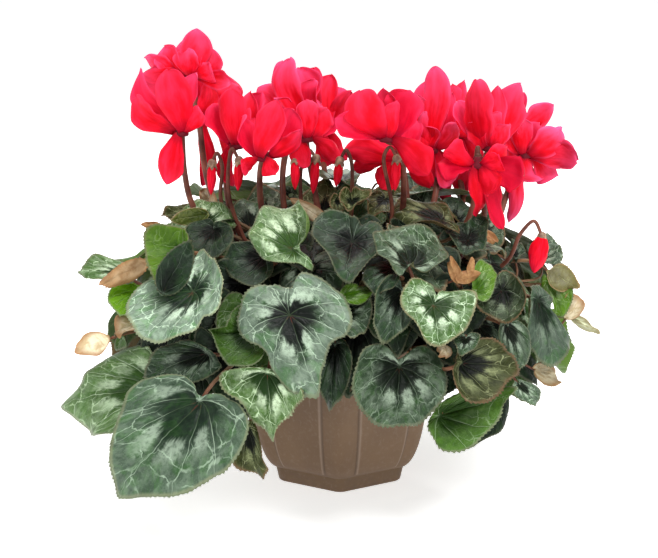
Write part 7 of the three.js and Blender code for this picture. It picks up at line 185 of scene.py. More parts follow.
    ["inner_leaf_68",[-115.3,-109.3,158.9],[-8.9,-24.5,-30.1],[20.1,-9.0,1.1],[-16.4,14.0,-7.4],[7.0,2.4,-0.5,1.8,5,1.02],[1.0,0.0,0.949,0.129,0.874,0.254,0.805,0.373,0.726,0.488,0.638,0.598,0.544,0.704,0.444,0.802,0.335,0.889,0.213,0.957,0.068,0.992,-0.059,0.954,-0.105,0.818,-0.129,0.674,-0.141,0.538,-0.137,0.398,-0.125,0.257,-0.088,0.122,-0.015,0.0,-0.088,-0.122,-0.125,-0.257,-0.137,-0.398,-0.141,-0.538,-0.129,-0.674,-0.105,-0.818,-0.059,-0.954,0.068,-0.992,0.213,-0.957,0.335,-0.889,0.444,-0.802,0.544,-0.704,0.638,-0.598,0.726,-0.488,0.805,-0.373,0.874,-0.254,0.949,-0.129]],
    ["inner_leaf_69",[6.6,151.2,155.6],[-0.2,19.8,-28.7],[-19.5,-3.2,-2.6],[19.6,-0.4,-0.5],[4.2,2.4,4.8,1.8,6,4.13],[0.993,-0.013,0.879,0.107,0.743,0.207,0.611,0.311,0.473,0.409,0.349,0.523,0.275,0.673,0.233,0.835,0.136,0.973,0.002,1.074,-0.164,1.094,-0.328,1.068,-0.439,0.941,-0.537,0.805,-0.582,0.642,-0.587,0.475,-0.497,0.335,-0.373,0.221,-0.384,0.086,-0.46,-0.051,-0.424,-0.216,-0.398,-0.383,-0.362,-0.548,-0.297,-0.703,-0.204,-0.844,-0.092,-0.971,0.035,-1.081,0.194,-1.081,0.309,-0.96,0.366,-0.802,0.475,-0.691,0.642,-0.712,0.788,-0.632,0.896,-0.505,0.943,-0.343,0.987,-0.18]],
    ["inner_leaf_70",[104.3,-125.6,160.9],[14.9,-12.2,-38.1],[16.5,23.6,-2.0],[-24.9,-12.6,-6.5],[6.8,0.2,-0.3,1.8,6,5.54],[1.0,-0.0,0.973,0.157,0.905,0.301,0.828,0.442,0.737,0.573,0.62,0.682,0.501,0.789,0.379,0.892,0.236,0.964,0.082,1.005,-0.077,1.017,-0.23,0.972,-0.355,0.874,-0.42,0.729,-0.437,0.571,-0.416,0.412,-0.347,0.269,-0.24,0.15,-0.145,0.023,-0.188,-0.124,-0.289,-0.249,-0.369,-0.387,-0.408,-0.542,-0.395,-0.7,-0.351,-0.854,-0.24,-0.959,-0.082,-0.982,0.076,-1.005,0.231,-0.968,0.374,-0.897,0.498,-0.797,0.608,-0.68,0.713,-0.56,0.813,-0.435,0.901,-0.301,0.968,-0.156]],
    ["inner_leaf_71",[124.0,84.3,155.4],[17.1,20.3,-35.4],[-16.6,20.9,3.6],[10.6,-23.6,-9.1],[4.6,0.1,-2.1,1.8,5,3.69],[1.021,0.0,0.924,0.136,0.814,0.258,0.726,0.374,0.648,0.497,0.572,0.632,0.486,0.769,0.376,0.891,0.241,0.977,0.087,1.01,-0.071,0.984,-0.198,0.899,-0.292,0.774,-0.351,0.635,-0.367,0.481,-0.338,0.325,-0.278,0.185,-0.155,0.078,-0.038,0.0,-0.162,-0.081,-0.299,-0.199,-0.362,-0.348,-0.383,-0.503,-0.355,-0.642,-0.286,-0.761,-0.192,-0.868,-0.068,-0.946,0.083,-0.971,0.232,-0.94,0.364,-0.862,0.477,-0.755,0.578,-0.638,0.678,-0.521,0.78,-0.402,0.875,-0.278,0.966,-0.143]],
    ["inner_leaf_72",[-30.4,-150.5,154.1],[-9.4,-17.9,-33.6],[25.1,-4.3,-5.5],[-22.8,11.1,0.2],[4.4,0.4,-1.6,1.8,4,4.45],[0.986,-0.015,0.949,0.164,0.862,0.327,0.77,0.487,0.669,0.642,0.541,0.775,0.38,0.853,0.204,0.833,0.093,0.979,-0.057,1.033,-0.208,0.925,-0.333,0.791,-0.394,0.617,-0.433,0.437,-0.472,0.256,-0.513,0.076,-0.575,-0.098,-0.663,-0.261,-0.762,-0.417,-0.819,-0.58,-0.647,-0.52,-0.484,-0.433,-0.321,-0.345,-0.252,-0.362,-0.373,-0.502,-0.439,-0.668,-0.321,-0.808,-0.176,-0.922,-0.008,-0.999,0.172,-0.987,0.328,-0.888,0.467,-0.767,0.597,-0.635,0.716,-0.494,0.824,-0.344,0.923,-0.188]],
    ["inner_leaf_73",[-79.4,141.9,153.8],[-17.3,16.7,-31.3],[-16.8,-17.2,-0.7],[20.0,10.9,-5.6],[5.1,1.8,1.6,1.8,4,5.45],[1.0,0.0,0.975,0.134,0.91,0.255,0.83,0.366,0.747,0.476,0.662,0.584,0.572,0.687,0.471,0.78,0.359,0.859,0.242,0.93,0.121,0.995,-0.009,1.038,-0.143,1.019,-0.25,0.935,-0.311,0.814,-0.298,0.678,-0.252,0.549,-0.205,0.42,-0.162,0.29,-0.122,0.159,-0.086,0.026,-0.059,-0.108,-0.041,-0.244,-0.034,-0.382,-0.03,-0.519,-0.013,-0.655,0.059,-0.767,0.19,-0.805,0.327,-0.809,0.458,-0.772,0.564,-0.685,0.653,-0.581,0.738,-0.473,0.822,-0.365,0.902,-0.253,0.967,-0.133]],
    ["inner_leaf_75",[-139.0,-68.3,150.9],[-16.8,-1.2,-33.1],[8.2,-18.8,-3.9],[-2.9,20.4,0.5],[7.9,1.3,-0.2,1.8,4,0.47],[0.96,0.0,0.908,0.139,0.842,0.277,0.77,0.412,0.675,0.539,0.569,0.658,0.46,0.772,0.343,0.884,0.208,0.981,0.05,1.032,-0.113,1.006,-0.244,0.897,-0.335,0.745,-0.388,0.59,-0.402,0.441,-0.38,0.302,-0.321,0.176,-0.176,0.076,-0.047,0.0,-0.174,-0.075,-0.32,-0.176,-0.388,-0.308,-0.421,-0.463,-0.41,-0.623,-0.346,-0.769,-0.241,-0.885,-0.107,-0.95,0.046,-0.958,0.197,-0.927,0.339,-0.872,0.475,-0.796,0.599,-0.693,0.705,-0.564,0.786,-0.421,0.841,-0.277,0.901,-0.138]],
    ["inner_leaf_76",[57.0,144.9,153.9],[16.0,22.7,-41.5],[-31.7,5.6,-10.3],[28.6,-15.3,2.3],[3.8,2.1,-3.1,1.8,6,1.21],[0.956,0.0,0.886,0.133,0.82,0.265,0.762,0.401,0.684,0.538,0.586,0.665,0.474,0.776,0.352,0.873,0.217,0.955,0.065,1.006,-0.095,1.0,-0.229,0.914,-0.322,0.771,-0.374,0.61,-0.38,0.45,-0.353,0.303,-0.299,0.178,-0.168,0.077,-0.044,0.0,-0.174,-0.08,-0.316,-0.188,-0.373,-0.32,-0.393,-0.465,-0.375,-0.613,-0.317,-0.759,-0.223,-0.892,-0.092,-0.974,0.063,-0.98,0.211,-0.93,0.343,-0.852,0.467,-0.764,0.589,-0.668,0.705,-0.554,0.802,-0.422,0.867,-0.28,0.919,-0.138]],
    ["inner_leaf_77",[-141.8,70.5,149.3],[-15.9,14.4,-34.9],[-13.9,-20.4,-2.6],[19.7,15.6,-3.2],[3.5,2.1,-1.1,1.8,6,3.18],[1.0,0.0,0.985,0.159,0.939,0.312,0.873,0.458,0.792,0.596,0.699,0.726,0.593,0.846,0.468,0.945,0.316,0.99,0.159,0.965,0.007,0.914,-0.148,0.877,-0.306,0.895,-0.456,0.89,-0.488,0.735,-0.476,0.576,-0.449,0.418,-0.414,0.262,-0.376,0.106,-0.343,-0.05,-0.323,-0.209,-0.323,-0.369,-0.333,-0.529,-0.337,-0.689,-0.313,-0.847,-0.231,-0.981,-0.085,-1.042,0.074,-1.032,0.223,-0.975,0.356,-0.887,0.475,-0.78,0.585,-0.664,0.693,-0.546,0.8,-0.426,0.896,-0.299,0.968,-0.156]],
    ["inner_leaf_78",[-29.3,159.6,149.5],[-2.4,22.8,-41.4],[-30.1,-8.0,-3.5],[30.8,-4.2,-5.0],[3.9,0.4,-3.0,1.8,5,5.89],[0.957,-0.082,0.897,0.046,0.791,0.143,0.678,0.234,0.566,0.325,0.45,0.41,0.322,0.478,0.184,0.515,0.04,0.507,-0.092,0.45,-0.195,0.351,-0.266,0.226,-0.317,0.091,-0.359,-0.047,-0.395,-0.187,-0.42,-0.329,-0.435,-0.473,-0.448,-0.617,-0.467,-0.76,-0.49,-0.902,-0.507,-1.045,-0.506,-1.19,-0.464,-1.326,-0.345,-1.389,-0.216,-1.326,-0.101,-1.239,0.012,-1.15,0.124,-1.059,0.233,-0.964,0.337,-0.864,0.435,-0.758,0.532,-0.651,0.628,-0.544,0.727,-0.439,0.824,-0.332,0.911,-0.216]],
    ["inner_leaf_79",[127.4,-100.7,146.3],[24.9,-10.8,-36.3],[12.8,24.3,1.0],[-17.2,-20.4,-6.2],[5.8,1.3,0.6,1.8,6,5.65],[1.023,0.0,0.925,0.139,0.813,0.263,0.721,0.38,0.638,0.503,0.559,0.638,0.471,0.777,0.359,0.902,0.22,0.988,0.061,1.016,-0.098,0.981,-0.227,0.89,-0.326,0.766,-0.39,0.626,-0.404,0.47,-0.369,0.312,-0.299,0.175,-0.161,0.073,-0.042,0.0,-0.168,-0.076,-0.319,-0.187,-0.395,-0.333,-0.423,-0.492,-0.396,-0.636,-0.321,-0.756,-0.22,-0.861,-0.093,-0.94,0.058,-0.971,0.211,-0.948,0.347,-0.873,0.465,-0.767,0.568,-0.648,0.669,-0.528,0.772,-0.407,0.87,-0.281,0.964,-0.145]],
    ["inner_leaf_80",[-165.1,-15.3,146.1],[-18.2,-0.6,-37.5],[5.3,-22.0,-3.0],[6.0,21.7,-4.0],[5.8,1.1,2.8,1.8,4,2.16],[1.014,0.0,0.961,0.147,0.871,0.287,0.776,0.416,0.673,0.539,0.571,0.661,0.465,0.781,0.344,0.888,0.202,0.96,0.046,0.977,-0.107,0.937,-0.234,0.852,-0.337,0.745,-0.413,0.624,-0.441,0.482,-0.413,0.326,-0.333,0.182,-0.173,0.074,-0.045,-0.0,-0.165,-0.071,-0.31,-0.17,-0.386,-0.304,-0.423,-0.462,-0.41,-0.619,-0.343,-0.759,-0.242,-0.881,-0.111,-0.972,0.048,-1.012,0.21,-0.994,0.355,-0.917,0.474,-0.796,0.566,-0.656,0.645,-0.516,0.724,-0.388,0.811,-0.267,0.918,-0.14]],
    ["inner_leaf_81",[106.9,120.4,145.4],[19.7,13.2,-39.4],[-21.4,20.8,-3.8],[17.9,-24.8,0.0],[4.9,2.6,-2.2,1.8,5,2.71],[0.995,0.0,0.915,0.134,0.822,0.259,0.742,0.381,0.664,0.51,0.585,0.647,0.493,0.782,0.377,0.898,0.239,0.972,0.084,0.989,-0.069,0.951,-0.19,0.862,-0.281,0.748,-0.344,0.625,-0.368,0.485,-0.347,0.335,-0.289,0.193,-0.16,0.081,-0.039,0.0,-0.162,-0.082,-0.294,-0.196,-0.351,-0.339,-0.369,-0.487,-0.343,-0.622,-0.279,-0.742,-0.189,-0.857,-0.068,-0.95,0.084,-0.99,0.238,-0.971,0.375,-0.893,0.489,-0.776,0.582,-0.644,0.667,-0.512,0.752,-0.386,0.835,-0.263,0.926,-0.136]],
    ["inner_leaf_83",[-105.2,125.8,143.7],[-28.9,5.0,-40.0],[-13.4,-29.4,5.2],[21.9,20.7,-14.3],[5.6,1.8,-2.1,1.8,4,5.28],[0.982,-0.034,0.94,0.097,0.856,0.209,0.762,0.312,0.667,0.415,0.571,0.516,0.472,0.614,0.367,0.706,0.252,0.786,0.126,0.843,-0.01,0.837,-0.102,0.734,-0.15,0.604,-0.168,0.465,-0.158,0.326,-0.124,0.191,-0.095,0.055,-0.121,-0.08,-0.195,-0.199,-0.261,-0.322,-0.293,-0.457,-0.303,-0.596,-0.298,-0.736,-0.28,-0.874,-0.234,-1.005,-0.11,-1.053,0.025,-1.018,0.148,-0.952,0.262,-0.871,0.369,-0.782,0.47,-0.685,0.564,-0.583,0.655,-0.477,0.746,-0.371,0.841,-0.268,0.931,-0.162]],
    ["inner_leaf_85",[-145.6,50.6,135.0],[-20.2,-22.1,-33.3],[3.9,-20.6,11.1],[-0.7,20.0,-13.2],[5.1,1.9,1.7,1.8,6,0.13],[0.956,0.0,0.886,0.133,0.82,0.265,0.762,0.401,0.684,0.538,0.586,0.665,0.474,0.776,0.352,0.873,0.217,0.955,0.065,1.006,-0.095,1.0,-0.229,0.914,-0.322,0.771,-0.374,0.61,-0.38,0.45,-0.353,0.303,-0.299,0.178,-0.168,0.077,-0.044,0.0,-0.174,-0.08,-0.316,-0.188,-0.373,-0.32,-0.393,-0.465,-0.375,-0.613,-0.317,-0.759,-0.223,-0.892,-0.092,-0.974,0.063,-0.98,0.211,-0.93,0.343,-0.852,0.467,-0.764,0.589,-0.668,0.705,-0.554,0.802,-0.422,0.867,-0.28,0.919,-0.138]],
    ["inner_leaf_88",[-109.0,-128.0,129.4],[-6.9,-12.5,-42.0],[26.6,-12.9,-1.4],[-17.8,22.7,-4.5],[3.6,2.4,1.0,1.8,6,2.37],[0.998,0.025,0.919,0.144,0.81,0.239,0.706,0.341,0.602,0.442,0.496,0.542,0.401,0.652,0.319,0.772,0.248,0.899,0.176,1.025,0.06,1.019,-0.003,0.889,-0.029,0.746,-0.039,0.601,-0.045,0.456,-0.051,0.311,-0.056,0.165,-0.062,0.02,-0.07,-0.125,-0.079,-0.27,-0.085,-0.415,-0.086,-0.561,-0.083,-0.706,-0.079,-0.851,-0.063,-0.996,0.017,-1.107,0.154,-1.073,0.249,-0.965,0.306,-0.831,0.348,-0.693,0.453,-0.596,0.592,-0.556,0.707,-0.472,0.779,-0.346,0.84,-0.214,0.928,-0.098]],
    ["inner_leaf_89",[-148.9,-81.5,121.2],[-5.2,-12.0,-42.1],[16.2,-17.1,2.7],[-13.7,18.9,-3.8],[6.4,1.1,-0.7,1.8,4,2.26],[0.982,-0.034,0.94,0.097,0.856,0.209,0.762,0.312,0.667,0.415,0.571,0.516,0.472,0.614,0.367,0.706,0.252,0.786,0.126,0.843,-0.01,0.837,-0.102,0.734,-0.15,0.604,-0.168,0.465,-0.158,0.326,-0.124,0.191,-0.095,0.055,-0.121,-0.08,-0.195,-0.199,-0.261,-0.322,-0.293,-0.457,-0.303,-0.596,-0.298,-0.736,-0.28,-0.874,-0.234,-1.005,-0.11,-1.053,0.025,-1.018,0.148,-0.952,0.262,-0.871,0.369,-0.782,0.47,-0.685,0.564,-0.583,0.655,-0.477,0.746,-0.371,0.841,-0.268,0.931,-0.162]],
    ["inner_leaf_90",[46.7,153.5,117.2],[8.1,6.9,-33.3],[-20.6,0.8,-5.0],[20.5,-3.1,4.3],[7.2,1.1,0.3,1.8,4,2.98],[1.0,0.0,0.94,0.128,0.844,0.235,0.754,0.347,0.671,0.465,0.589,0.583,0.501,0.697,0.399,0.799,0.282,0.882,0.155,0.949,0.024,1.009,-0.115,1.046,-0.217,0.96,-0.246,0.819,-0.251,0.676,-0.239,0.532,-0.203,0.393,-0.144,0.262,-0.079,0.133,-0.037,-0.004,-0.057,-0.145,-0.107,-0.281,-0.146,-0.419,-0.166,-0.562,-0.176,-0.705,-0.171,-0.849,-0.063,-0.913,0.079,-0.895,0.201,-0.819,0.306,-0.72,0.41,-0.621,0.513,-0.52,0.614,-0.417,0.715,-0.315,0.82,-0.217,0.928,-0.121]],
    ["inner_leaf_92",[153.5,63.4,114.9],[4.6,-17.0,-34.5],[-6.4,18.7,-10.4],[-0.6,-20.6,9.6],[4.6,0.1,1.8,1.8,4,3.88],[0.98,0.0,0.895,0.133,0.815,0.261,0.75,0.391,0.671,0.523,0.577,0.648,0.471,0.761,0.352,0.861,0.222,0.947,0.073,1.006,-0.087,1.011,-0.223,0.934,-0.318,0.792,-0.369,0.626,-0.372,0.458,-0.34,0.305,-0.285,0.177,-0.161,0.077,-0.042,0.0,-0.17,-0.081,-0.31,-0.192,-0.367,-0.329,-0.388,-0.477,-0.369,-0.626,-0.31,-0.771,-0.215,-0.902,-0.084,-0.98,0.071,-0.978,0.215,-0.917,0.34,-0.83,0.458,-0.74,0.578,-0.649,0.699,-0.544,0.808,-0.421,0.885,-0.284,0.945,-0.141]],
    ["inner_leaf_94",[-46.9,161.2,111.9],[5.5,16.7,-35.1],[-23.1,-4.9,-6.2],[24.9,-2.0,2.3],[3.6,2.3,-0.8,1.8,5,5.25],[1.0,-0.0,0.963,0.145,0.889,0.276,0.801,0.397,0.707,0.515,0.612,0.631,0.511,0.743,0.403,0.847,0.285,0.94,0.149,0.998,0.068,0.89,0.092,0.742,0.146,0.602,0.18,0.457,0.146,0.313,0.013,0.297,-0.123,0.36,-0.245,0.292,-0.265,0.145,-0.248,-0.005,-0.243,-0.155,-0.252,-0.305,-0.261,-0.455,-0.258,-0.605,-0.229,-0.752,-0.153,-0.88,-0.025,-0.956,0.124,-0.962,0.265,-0.912,0.391,-0.831,0.505,-0.732,0.609,-0.624,0.708,-0.511,0.803,-0.395,0.895,-0.276,0.97,-0.146]],
    ["inner_leaf_96",[-165.0,-30.2,111.6],[-14.7,1.6,-39.3],[9.7,-24.4,-5.2],[-3.8,25.9,2.3],[3.6,2.1,-0.2,1.8,4,0.79],[1.076,0.244,1.066,0.413,1.021,0.577,0.952,0.732,0.863,0.877,0.754,1.008,0.629,1.122,0.488,1.217,0.325,1.262,0.159,1.231,0.012,1.146,-0.109,1.027,-0.207,0.889,-0.283,0.737,-0.329,0.573,-0.332,0.404,-0.308,0.235,-0.319,0.067,-0.388,-0.089,-0.465,-0.24,-0.519,-0.401,-0.539,-0.57,-0.516,-0.738,-0.446,-0.892,-0.318,-1.001,-0.156,-1.049,0.013,-1.035,0.163,-0.958,0.294,-0.848,0.413,-0.727,0.526,-0.6,0.636,-0.47,0.744,-0.339,0.85,-0.205,0.95,-0.068,1.034,0.08]],
    ["inner_leaf_97",[96.1,136.4,105.5],[23.9,1.9,-27.5],[-13.8,12.9,-11.8],[11.4,-16.4,8.7],[6.8,2.7,-2.7,1.8,5,4.66],[1.0,0.0,0.947,0.134,0.87,0.262,0.797,0.385,0.714,0.504,0.622,0.618,0.524,0.726,0.418,0.825,0.301,0.911,0.168,0.972,0.018,0.994,-0.108,0.938,-0.178,0.805,-0.22,0.662,-0.236,0.52,-0.226,0.375,-0.201,0.232,-0.128,0.103,-0.025,0.0,-0.128,-0.103,-0.201,-0.232,-0.226,-0.375,-0.236,-0.52,-0.22,-0.662,-0.178,-0.805,-0.108,-0.938,0.018,-0.994,0.168,-0.972,0.301,-0.911,0.418,-0.825,0.524,-0.726,0.622,-0.618,0.714,-0.504,0.797,-0.385,0.87,-0.262,0.947,-0.134]],
    ["inner_leaf_98",[-121.8,117.6,106.2],[-14.2,-0.3,-33.3],[-13.2,-18.4,5.2],[17.0,13.0,-7.5],[5.5,2.2,-0.3,1.8,6,5.25],[0.998,0.025,0.919,0.144,0.81,0.239,0.706,0.341,0.602,0.442,0.496,0.542,0.401,0.652,0.319,0.772,0.248,0.899,0.176,1.025,0.06,1.019,-0.003,0.889,-0.029,0.746,-0.039,0.601,-0.045,0.456,-0.051,0.311,-0.056,0.165,-0.062,0.02,-0.07,-0.125,-0.079,-0.27,-0.085,-0.415,-0.086,-0.561,-0.083,-0.706,-0.079,-0.851,-0.063,-0.996,0.017,-1.107,0.154,-1.073,0.249,-0.965,0.306,-0.831,0.348,-0.693,0.453,-0.596,0.592,-0.556,0.707,-0.472,0.779,-0.346,0.84,-0.214,0.928,-0.098]],
    ["inner_leaf_99",[16.9,157.1,110.3],[-4.7,11.1,-47.6],[-31.5,-5.5,1.2],[31.0,-5.0,-4.7],[5.8,2.5,1.0,1.8,4,2.65],[0.998,0.025,0.919,0.144,0.81,0.239,0.706,0.341,0.602,0.442,0.496,0.542,0.401,0.652,0.319,0.772,0.248,0.899,0.176,1.025,0.06,1.019,-0.003,0.889,-0.029,0.746,-0.039,0.601,-0.045,0.456,-0.051,0.311,-0.056,0.165,-0.062,0.02,-0.07,-0.125,-0.079,-0.27,-0.085,-0.415,-0.086,-0.561,-0.083,-0.706,-0.079,-0.851,-0.063,-0.996,0.017,-1.107,0.154,-1.073,0.249,-0.965,0.306,-0.831,0.348,-0.693,0.453,-0.596,0.592,-0.556,0.707,-0.472,0.779,-0.346,0.84,-0.214,0.928,-0.098]],
    ["inner_leaf_100",[111.1,-130.4,99.8],[-14.7,-17.3,-28.0],[16.9,6.0,-12.9],[-21.0,1.6,9.2],[6.5,2.9,3.1,1.8,4,2.44],[1.05,0.0,0.957,0.147,0.843,0.278,0.743,0.4,0.648,0.522,0.555,0.647,0.454,0.77,0.334,0.877,0.195,0.951,0.04,0.982,-0.117,0.966,-0.255,0.9,-0.367,0.791,-0.439,0.648,-0.45,0.479,-0.402,0.308,-0.314,0.167,-0.163,0.068,-0.044,0.0,-0.167,-0.07,-0.325,-0.173,-0.409,-0.314,-0.447,-0.476,-0.428,-0.632,-0.357,-0.771,-0.253,-0.893,-0.118,-0.982,0.041,-1.008,0.198,-0.966,0.332,-0.87,0.442,-0.75,0.54,-0.63,0.643,-0.518,0.758,-0.408,0.871,-0.288,0.98,-0.151]],
    ["inner_leaf_101",[-167.3,29.0,101.6],[-6.6,4.5,-34.5],[3.8,-20.0,-3.9],[5.3,19.6,1.2],[3.8,2.8,-1.3,1.8,5,0.28],[1.0,0.0,0.959,0.138,0.891,0.265,0.809,0.383,0.719,0.496,0.625,0.606,0.529,0.713,0.428,0.815,0.312,0.901,0.173,0.929,0.048,0.862,-0.021,0.736,-0.045,0.595,-0.041,0.451,-0.031,0.307,-0.036,0.163,-0.075,0.025,-0.139,-0.105,-0.207,-0.232,-0.263,-0.365,-0.299,-0.504,-0.312,-0.647,-0.298,-0.791,-0.25,-0.926,-0.16,-1.037,-0.026,-1.078,0.111,-1.035,0.241,-0.972,0.371,-0.909,0.496,-0.838,0.607,-0.747,0.702,-0.638,0.786,-0.521,0.865,-0.401,0.939,-0.277,0.992,-0.143]],
    ["inner_leaf_102",[135.9,92.3,100.9],[16.9,-5.7,-34.4],[-14.1,17.7,-10.1],[12.0,-19.5,9.1],[6.8,1.4,1.4,1.8,5,5.25],[1.014,0.0,0.927,0.141,0.82,0.269,0.721,0.388,0.627,0.507,0.541,0.637,0.452,0.777,0.341,0.912,0.201,1.01,0.037,1.036,-0.124,0.984,-0.253,0.874,-0.349,0.74,-0.414,0.601,-0.432,0.453,-0.4,0.302,-0.323,0.17,-0.169,0.07,-0.046,0.0,-0.171,-0.071,-0.331,-0.174,-0.418,-0.316,-0.457,-0.48,-0.435,-0.633,-0.356,-0.756,-0.246,-0.852,-0.116,-0.921,0.034,-0.955,0.188,-0.947,0.333,-0.891,0.461,-0.793,0.569,-0.671,0.665,-0.538,0.756,-0.406,0.843,-0.276,0.937,-0.142]],
    ["inner_leaf_104",[-79.2,147.9,97.1],[0.6,13.0,-31.7],[-17.6,-13.0,-6.4],[21.2,5.8,2.5],[3.4,2.4,3.2,1.8,5,5.79],[1.0,-0.0,0.973,0.157,0.905,0.301,0.828,0.442,0.737,0.573,0.62,0.682,0.501,0.789,0.379,0.892,0.236,0.964,0.082,1.005,-0.077,1.017,-0.23,0.972,-0.355,0.874,-0.42,0.729,-0.437,0.571,-0.416,0.412,-0.347,0.269,-0.24,0.15,-0.145,0.023,-0.188,-0.124,-0.289,-0.249,-0.369,-0.387,-0.408,-0.542,-0.395,-0.7,-0.351,-0.854,-0.24,-0.959,-0.082,-0.982,0.076,-1.005,0.231,-0.968,0.374,-0.897,0.498,-0.797,0.608,-0.68,0.713,-0.56,0.813,-0.435,0.901,-0.301,0.968,-0.156]],
    ["inner_leaf_106",[-151.4,76.7,95.2],[8.5,22.5,-39.3],[-13.6,-16.5,-12.8],[20.0,11.6,10.4],[6.4,2.7,2.2,1.8,5,0.5],[0.977,0.0,0.909,0.138,0.832,0.271,0.753,0.402,0.655,0.525,0.55,0.64,0.444,0.752,0.332,0.867,0.202,0.973,0.046,1.037,-0.119,1.024,-0.255,0.921,-0.347,0.764,-0.397,0.598,-0.403,0.439,-0.375,0.295,-0.313,0.171,-0.171,0.073,-0.046,0.0,-0.173,-0.074,-0.322,-0.176,-0.393,-0.31,-0.429,-0.468,-0.419,-0.632,-0.355,-0.781,-0.248,-0.898,-0.111,-0.957,0.042,-0.952,0.188,-0.908,0.323,-0.844,0.454,-0.769,0.58,-0.675,0.695,-0.557,0.788,-0.421,0.855,-0.279,0.918,-0.139]],
    ["inner_leaf_m01",[-85.6,-120.0,161.2],[-27.1,-12.0,-40.6],[20.8,1.9,-14.4],[-21.3,5.8,12.4],[4.0,0.0,0.0,1.8,5,0.0],[1,0,0.93,0.16,0.8,0.4,0.62,0.66,0.4,0.86,0.12,0.985,-0.14,0.96,-0.34,0.8,-0.42,0.52,-0.34,0.26,-0.2,0.08,-0.17,-0.06,-0.3,-0.26,-0.42,-0.5,-0.36,-0.8,-0.14,-0.97,0.12,-0.985,0.4,-0.84,0.62,-0.64,0.8,-0.38,0.93,-0.16]],
    ["inner_leaf_m02",[-126.3,-95.0,151.5],[-30.4,0.0,-32.3],[16.2,1.3,-15.3],[-15.7,5.7,14.8],[4.0,0.0,0.0,1.8,5,0.0],[1,0,0.93,0.16,0.8,0.4,0.62,0.66,0.4,0.86,0.12,0.985,-0.14,0.96,-0.34,0.8,-0.42,0.52,-0.34,0.26,-0.2,0.08,-0.17,-0.06,-0.3,-0.26,-0.42,-0.5,-0.36,-0.8,-0.14,-0.97,0.12,-0.985,0.4,-0.84,0.62,-0.64,0.8,-0.38,0.93,-0.16]],
    ["inner_leaf_m03",[-89.0,-140.0,143.2],[17.6,-6.0,-54.5],[17.6,5.9,5.0],[-18.3,0.1,-5.9],[4.0,0.0,0.0,1.8,5,0.0],[1,0,0.93,0.16,0.8,0.4,0.62,0.66,0.4,0.86,0.12,0.985,-0.14,0.96,-0.34,0.8,-0.42,0.52,-0.34,0.26,-0.2,0.08,-0.17,-0.06,-0.3,-0.26,-0.42,-0.5,-0.36,-0.8,-0.14,-0.97,0.12,-0.985,0.4,-0.84,0.62,-0.64,0.8,-0.38,0.93,-0.16]],
    ["inner_leaf_m04",[11.2,-134.0,164.8],[-6.0,-12.0,-55.7],[26.9,3.0,-3.5],[-26.7,5.4,1.7],[4.0,0.0,0.0,1.8,5,0.0],[1,0,0.93,0.16,0.8,0.4,0.62,0.66,0.4,0.86,0.12,0.985,-0.14,0.96,-0.34,0.8,-0.42,0.52,-0.34,0.26,-0.2,0.08,-0.17,-0.06,-0.3,-0.26,-0.42,-0.5,-0.36,-0.8,-0.14,-0.97,0.12,-0.985,0.4,-0.84,0.62,-0.64,0.8,-0.38,0.93,-0.16]],
    ["inner_leaf_m05",[35.3,-130.0,166.9],[-3.1,-10.0,-34.6],[26.0,2.4,-3.0],[-25.7,5.5,0.7],[4.0,0.0,0.0,1.8,5,0.0],[1,0,0.93,0.16,0.8,0.4,0.62,0.66,0.4,0.86,0.12,0.985,-0.14,0.96,-0.34,0.8,-0.42,0.52,-0.34,0.26,-0.2,0.08,-0.17,-0.06,-0.3,-0.26,-0.42,-0.5,-0.36,-0.8,-0.14,-0.97,0.12,-0.985,0.4,-0.84,0.62,-0.64,0.8,-0.38,0.93,-0.16]],
    ["inner_leaf_m06",[88.0,-126.0,179.8],[-9.1,-10.0,-40.9],[23.7,0.5,-5.4],[-23.1,6.9,3.4],[4.0,0.0,0.0,1.8,5,0.0],[1,0,0.93,0.16,0.8,0.4,0.62,0.66,0.4,0.86,0.12,0.985,-0.14,0.96,-0.34,0.8,-0.42,0.52,-0.34,0.26,-0.2,0.08,-0.17,-0.06,-0.3,-0.26,-0.42,-0.5,-0.36,-0.8,-0.14,-0.97,0.12,-0.985,0.4,-0.84,0.62,-0.64,0.8,-0.38,0.93,-0.16]],
    ["inner_leaf_m07",[128.8,-95.0,136.2],[14.0,-10.0,-43.2],[21.2,2.7,6.2],[-20.5,4.1,-7.6],[4.0,0.0,0.0,1.8,5,0.0],[1,0,0.93,0.16,0.8,0.4,0.62,0.66,0.4,0.86,0.12,0.985,-0.14,0.96,-0.34,0.8,-0.42,0.52,-0.34,0.26,-0.2,0.08,-0.17,-0.06,-0.3,-0.26,-0.42,-0.5,-0.36,-0.8,-0.14,-0.97,0.12,-0.985,0.4,-0.84,0.62,-0.64,0.8,-0.38,0.93,-0.16]],
    ["inner_leaf_m08",[-8.2,-120.0,178.4],[4.5,-10.0,-44.2],[25.9,4.6,1.6],[-25.9,3.5,-3.4],[4.0,0.0,0.0,1.8,5,0.0],[1,0,0.93,0.16,0.8,0.4,0.62,0.66,0.4,0.86,0.12,0.985,-0.14,0.96,-0.34,0.8,-0.42,0.52,-0.34,0.26,-0.2,0.08,-0.17,-0.06,-0.3,-0.26,-0.42,-0.5,-0.36,-0.8,-0.14,-0.97,0.12,-0.985,0.4,-0.84,0.62,-0.64,0.8,-0.38,0.93,-0.16]],
    ["inner_leaf_m09",[-76.7,-110.0,187.7],[-13.5,-10.0,-32.8],[22.9,3.1,-10.4],[-23.5,4.6,8.3],[4.0,0.0,0.0,1.8,5,0.0],[1,0,0.93,0.16,0.8,0.4,0.62,0.66,0.4,0.86,0.12,0.985,-0.14,0.96,-0.34,0.8,-0.42,0.52,-0.34,0.26,-0.2,0.08,-0.17,-0.06,-0.3,-0.26,-0.42,-0.5,-0.36,-0.8,-0.14,-0.97,0.12,-0.985,0.4,-0.84,0.62,-0.64,0.8,-0.38,0.93,-0.16]],
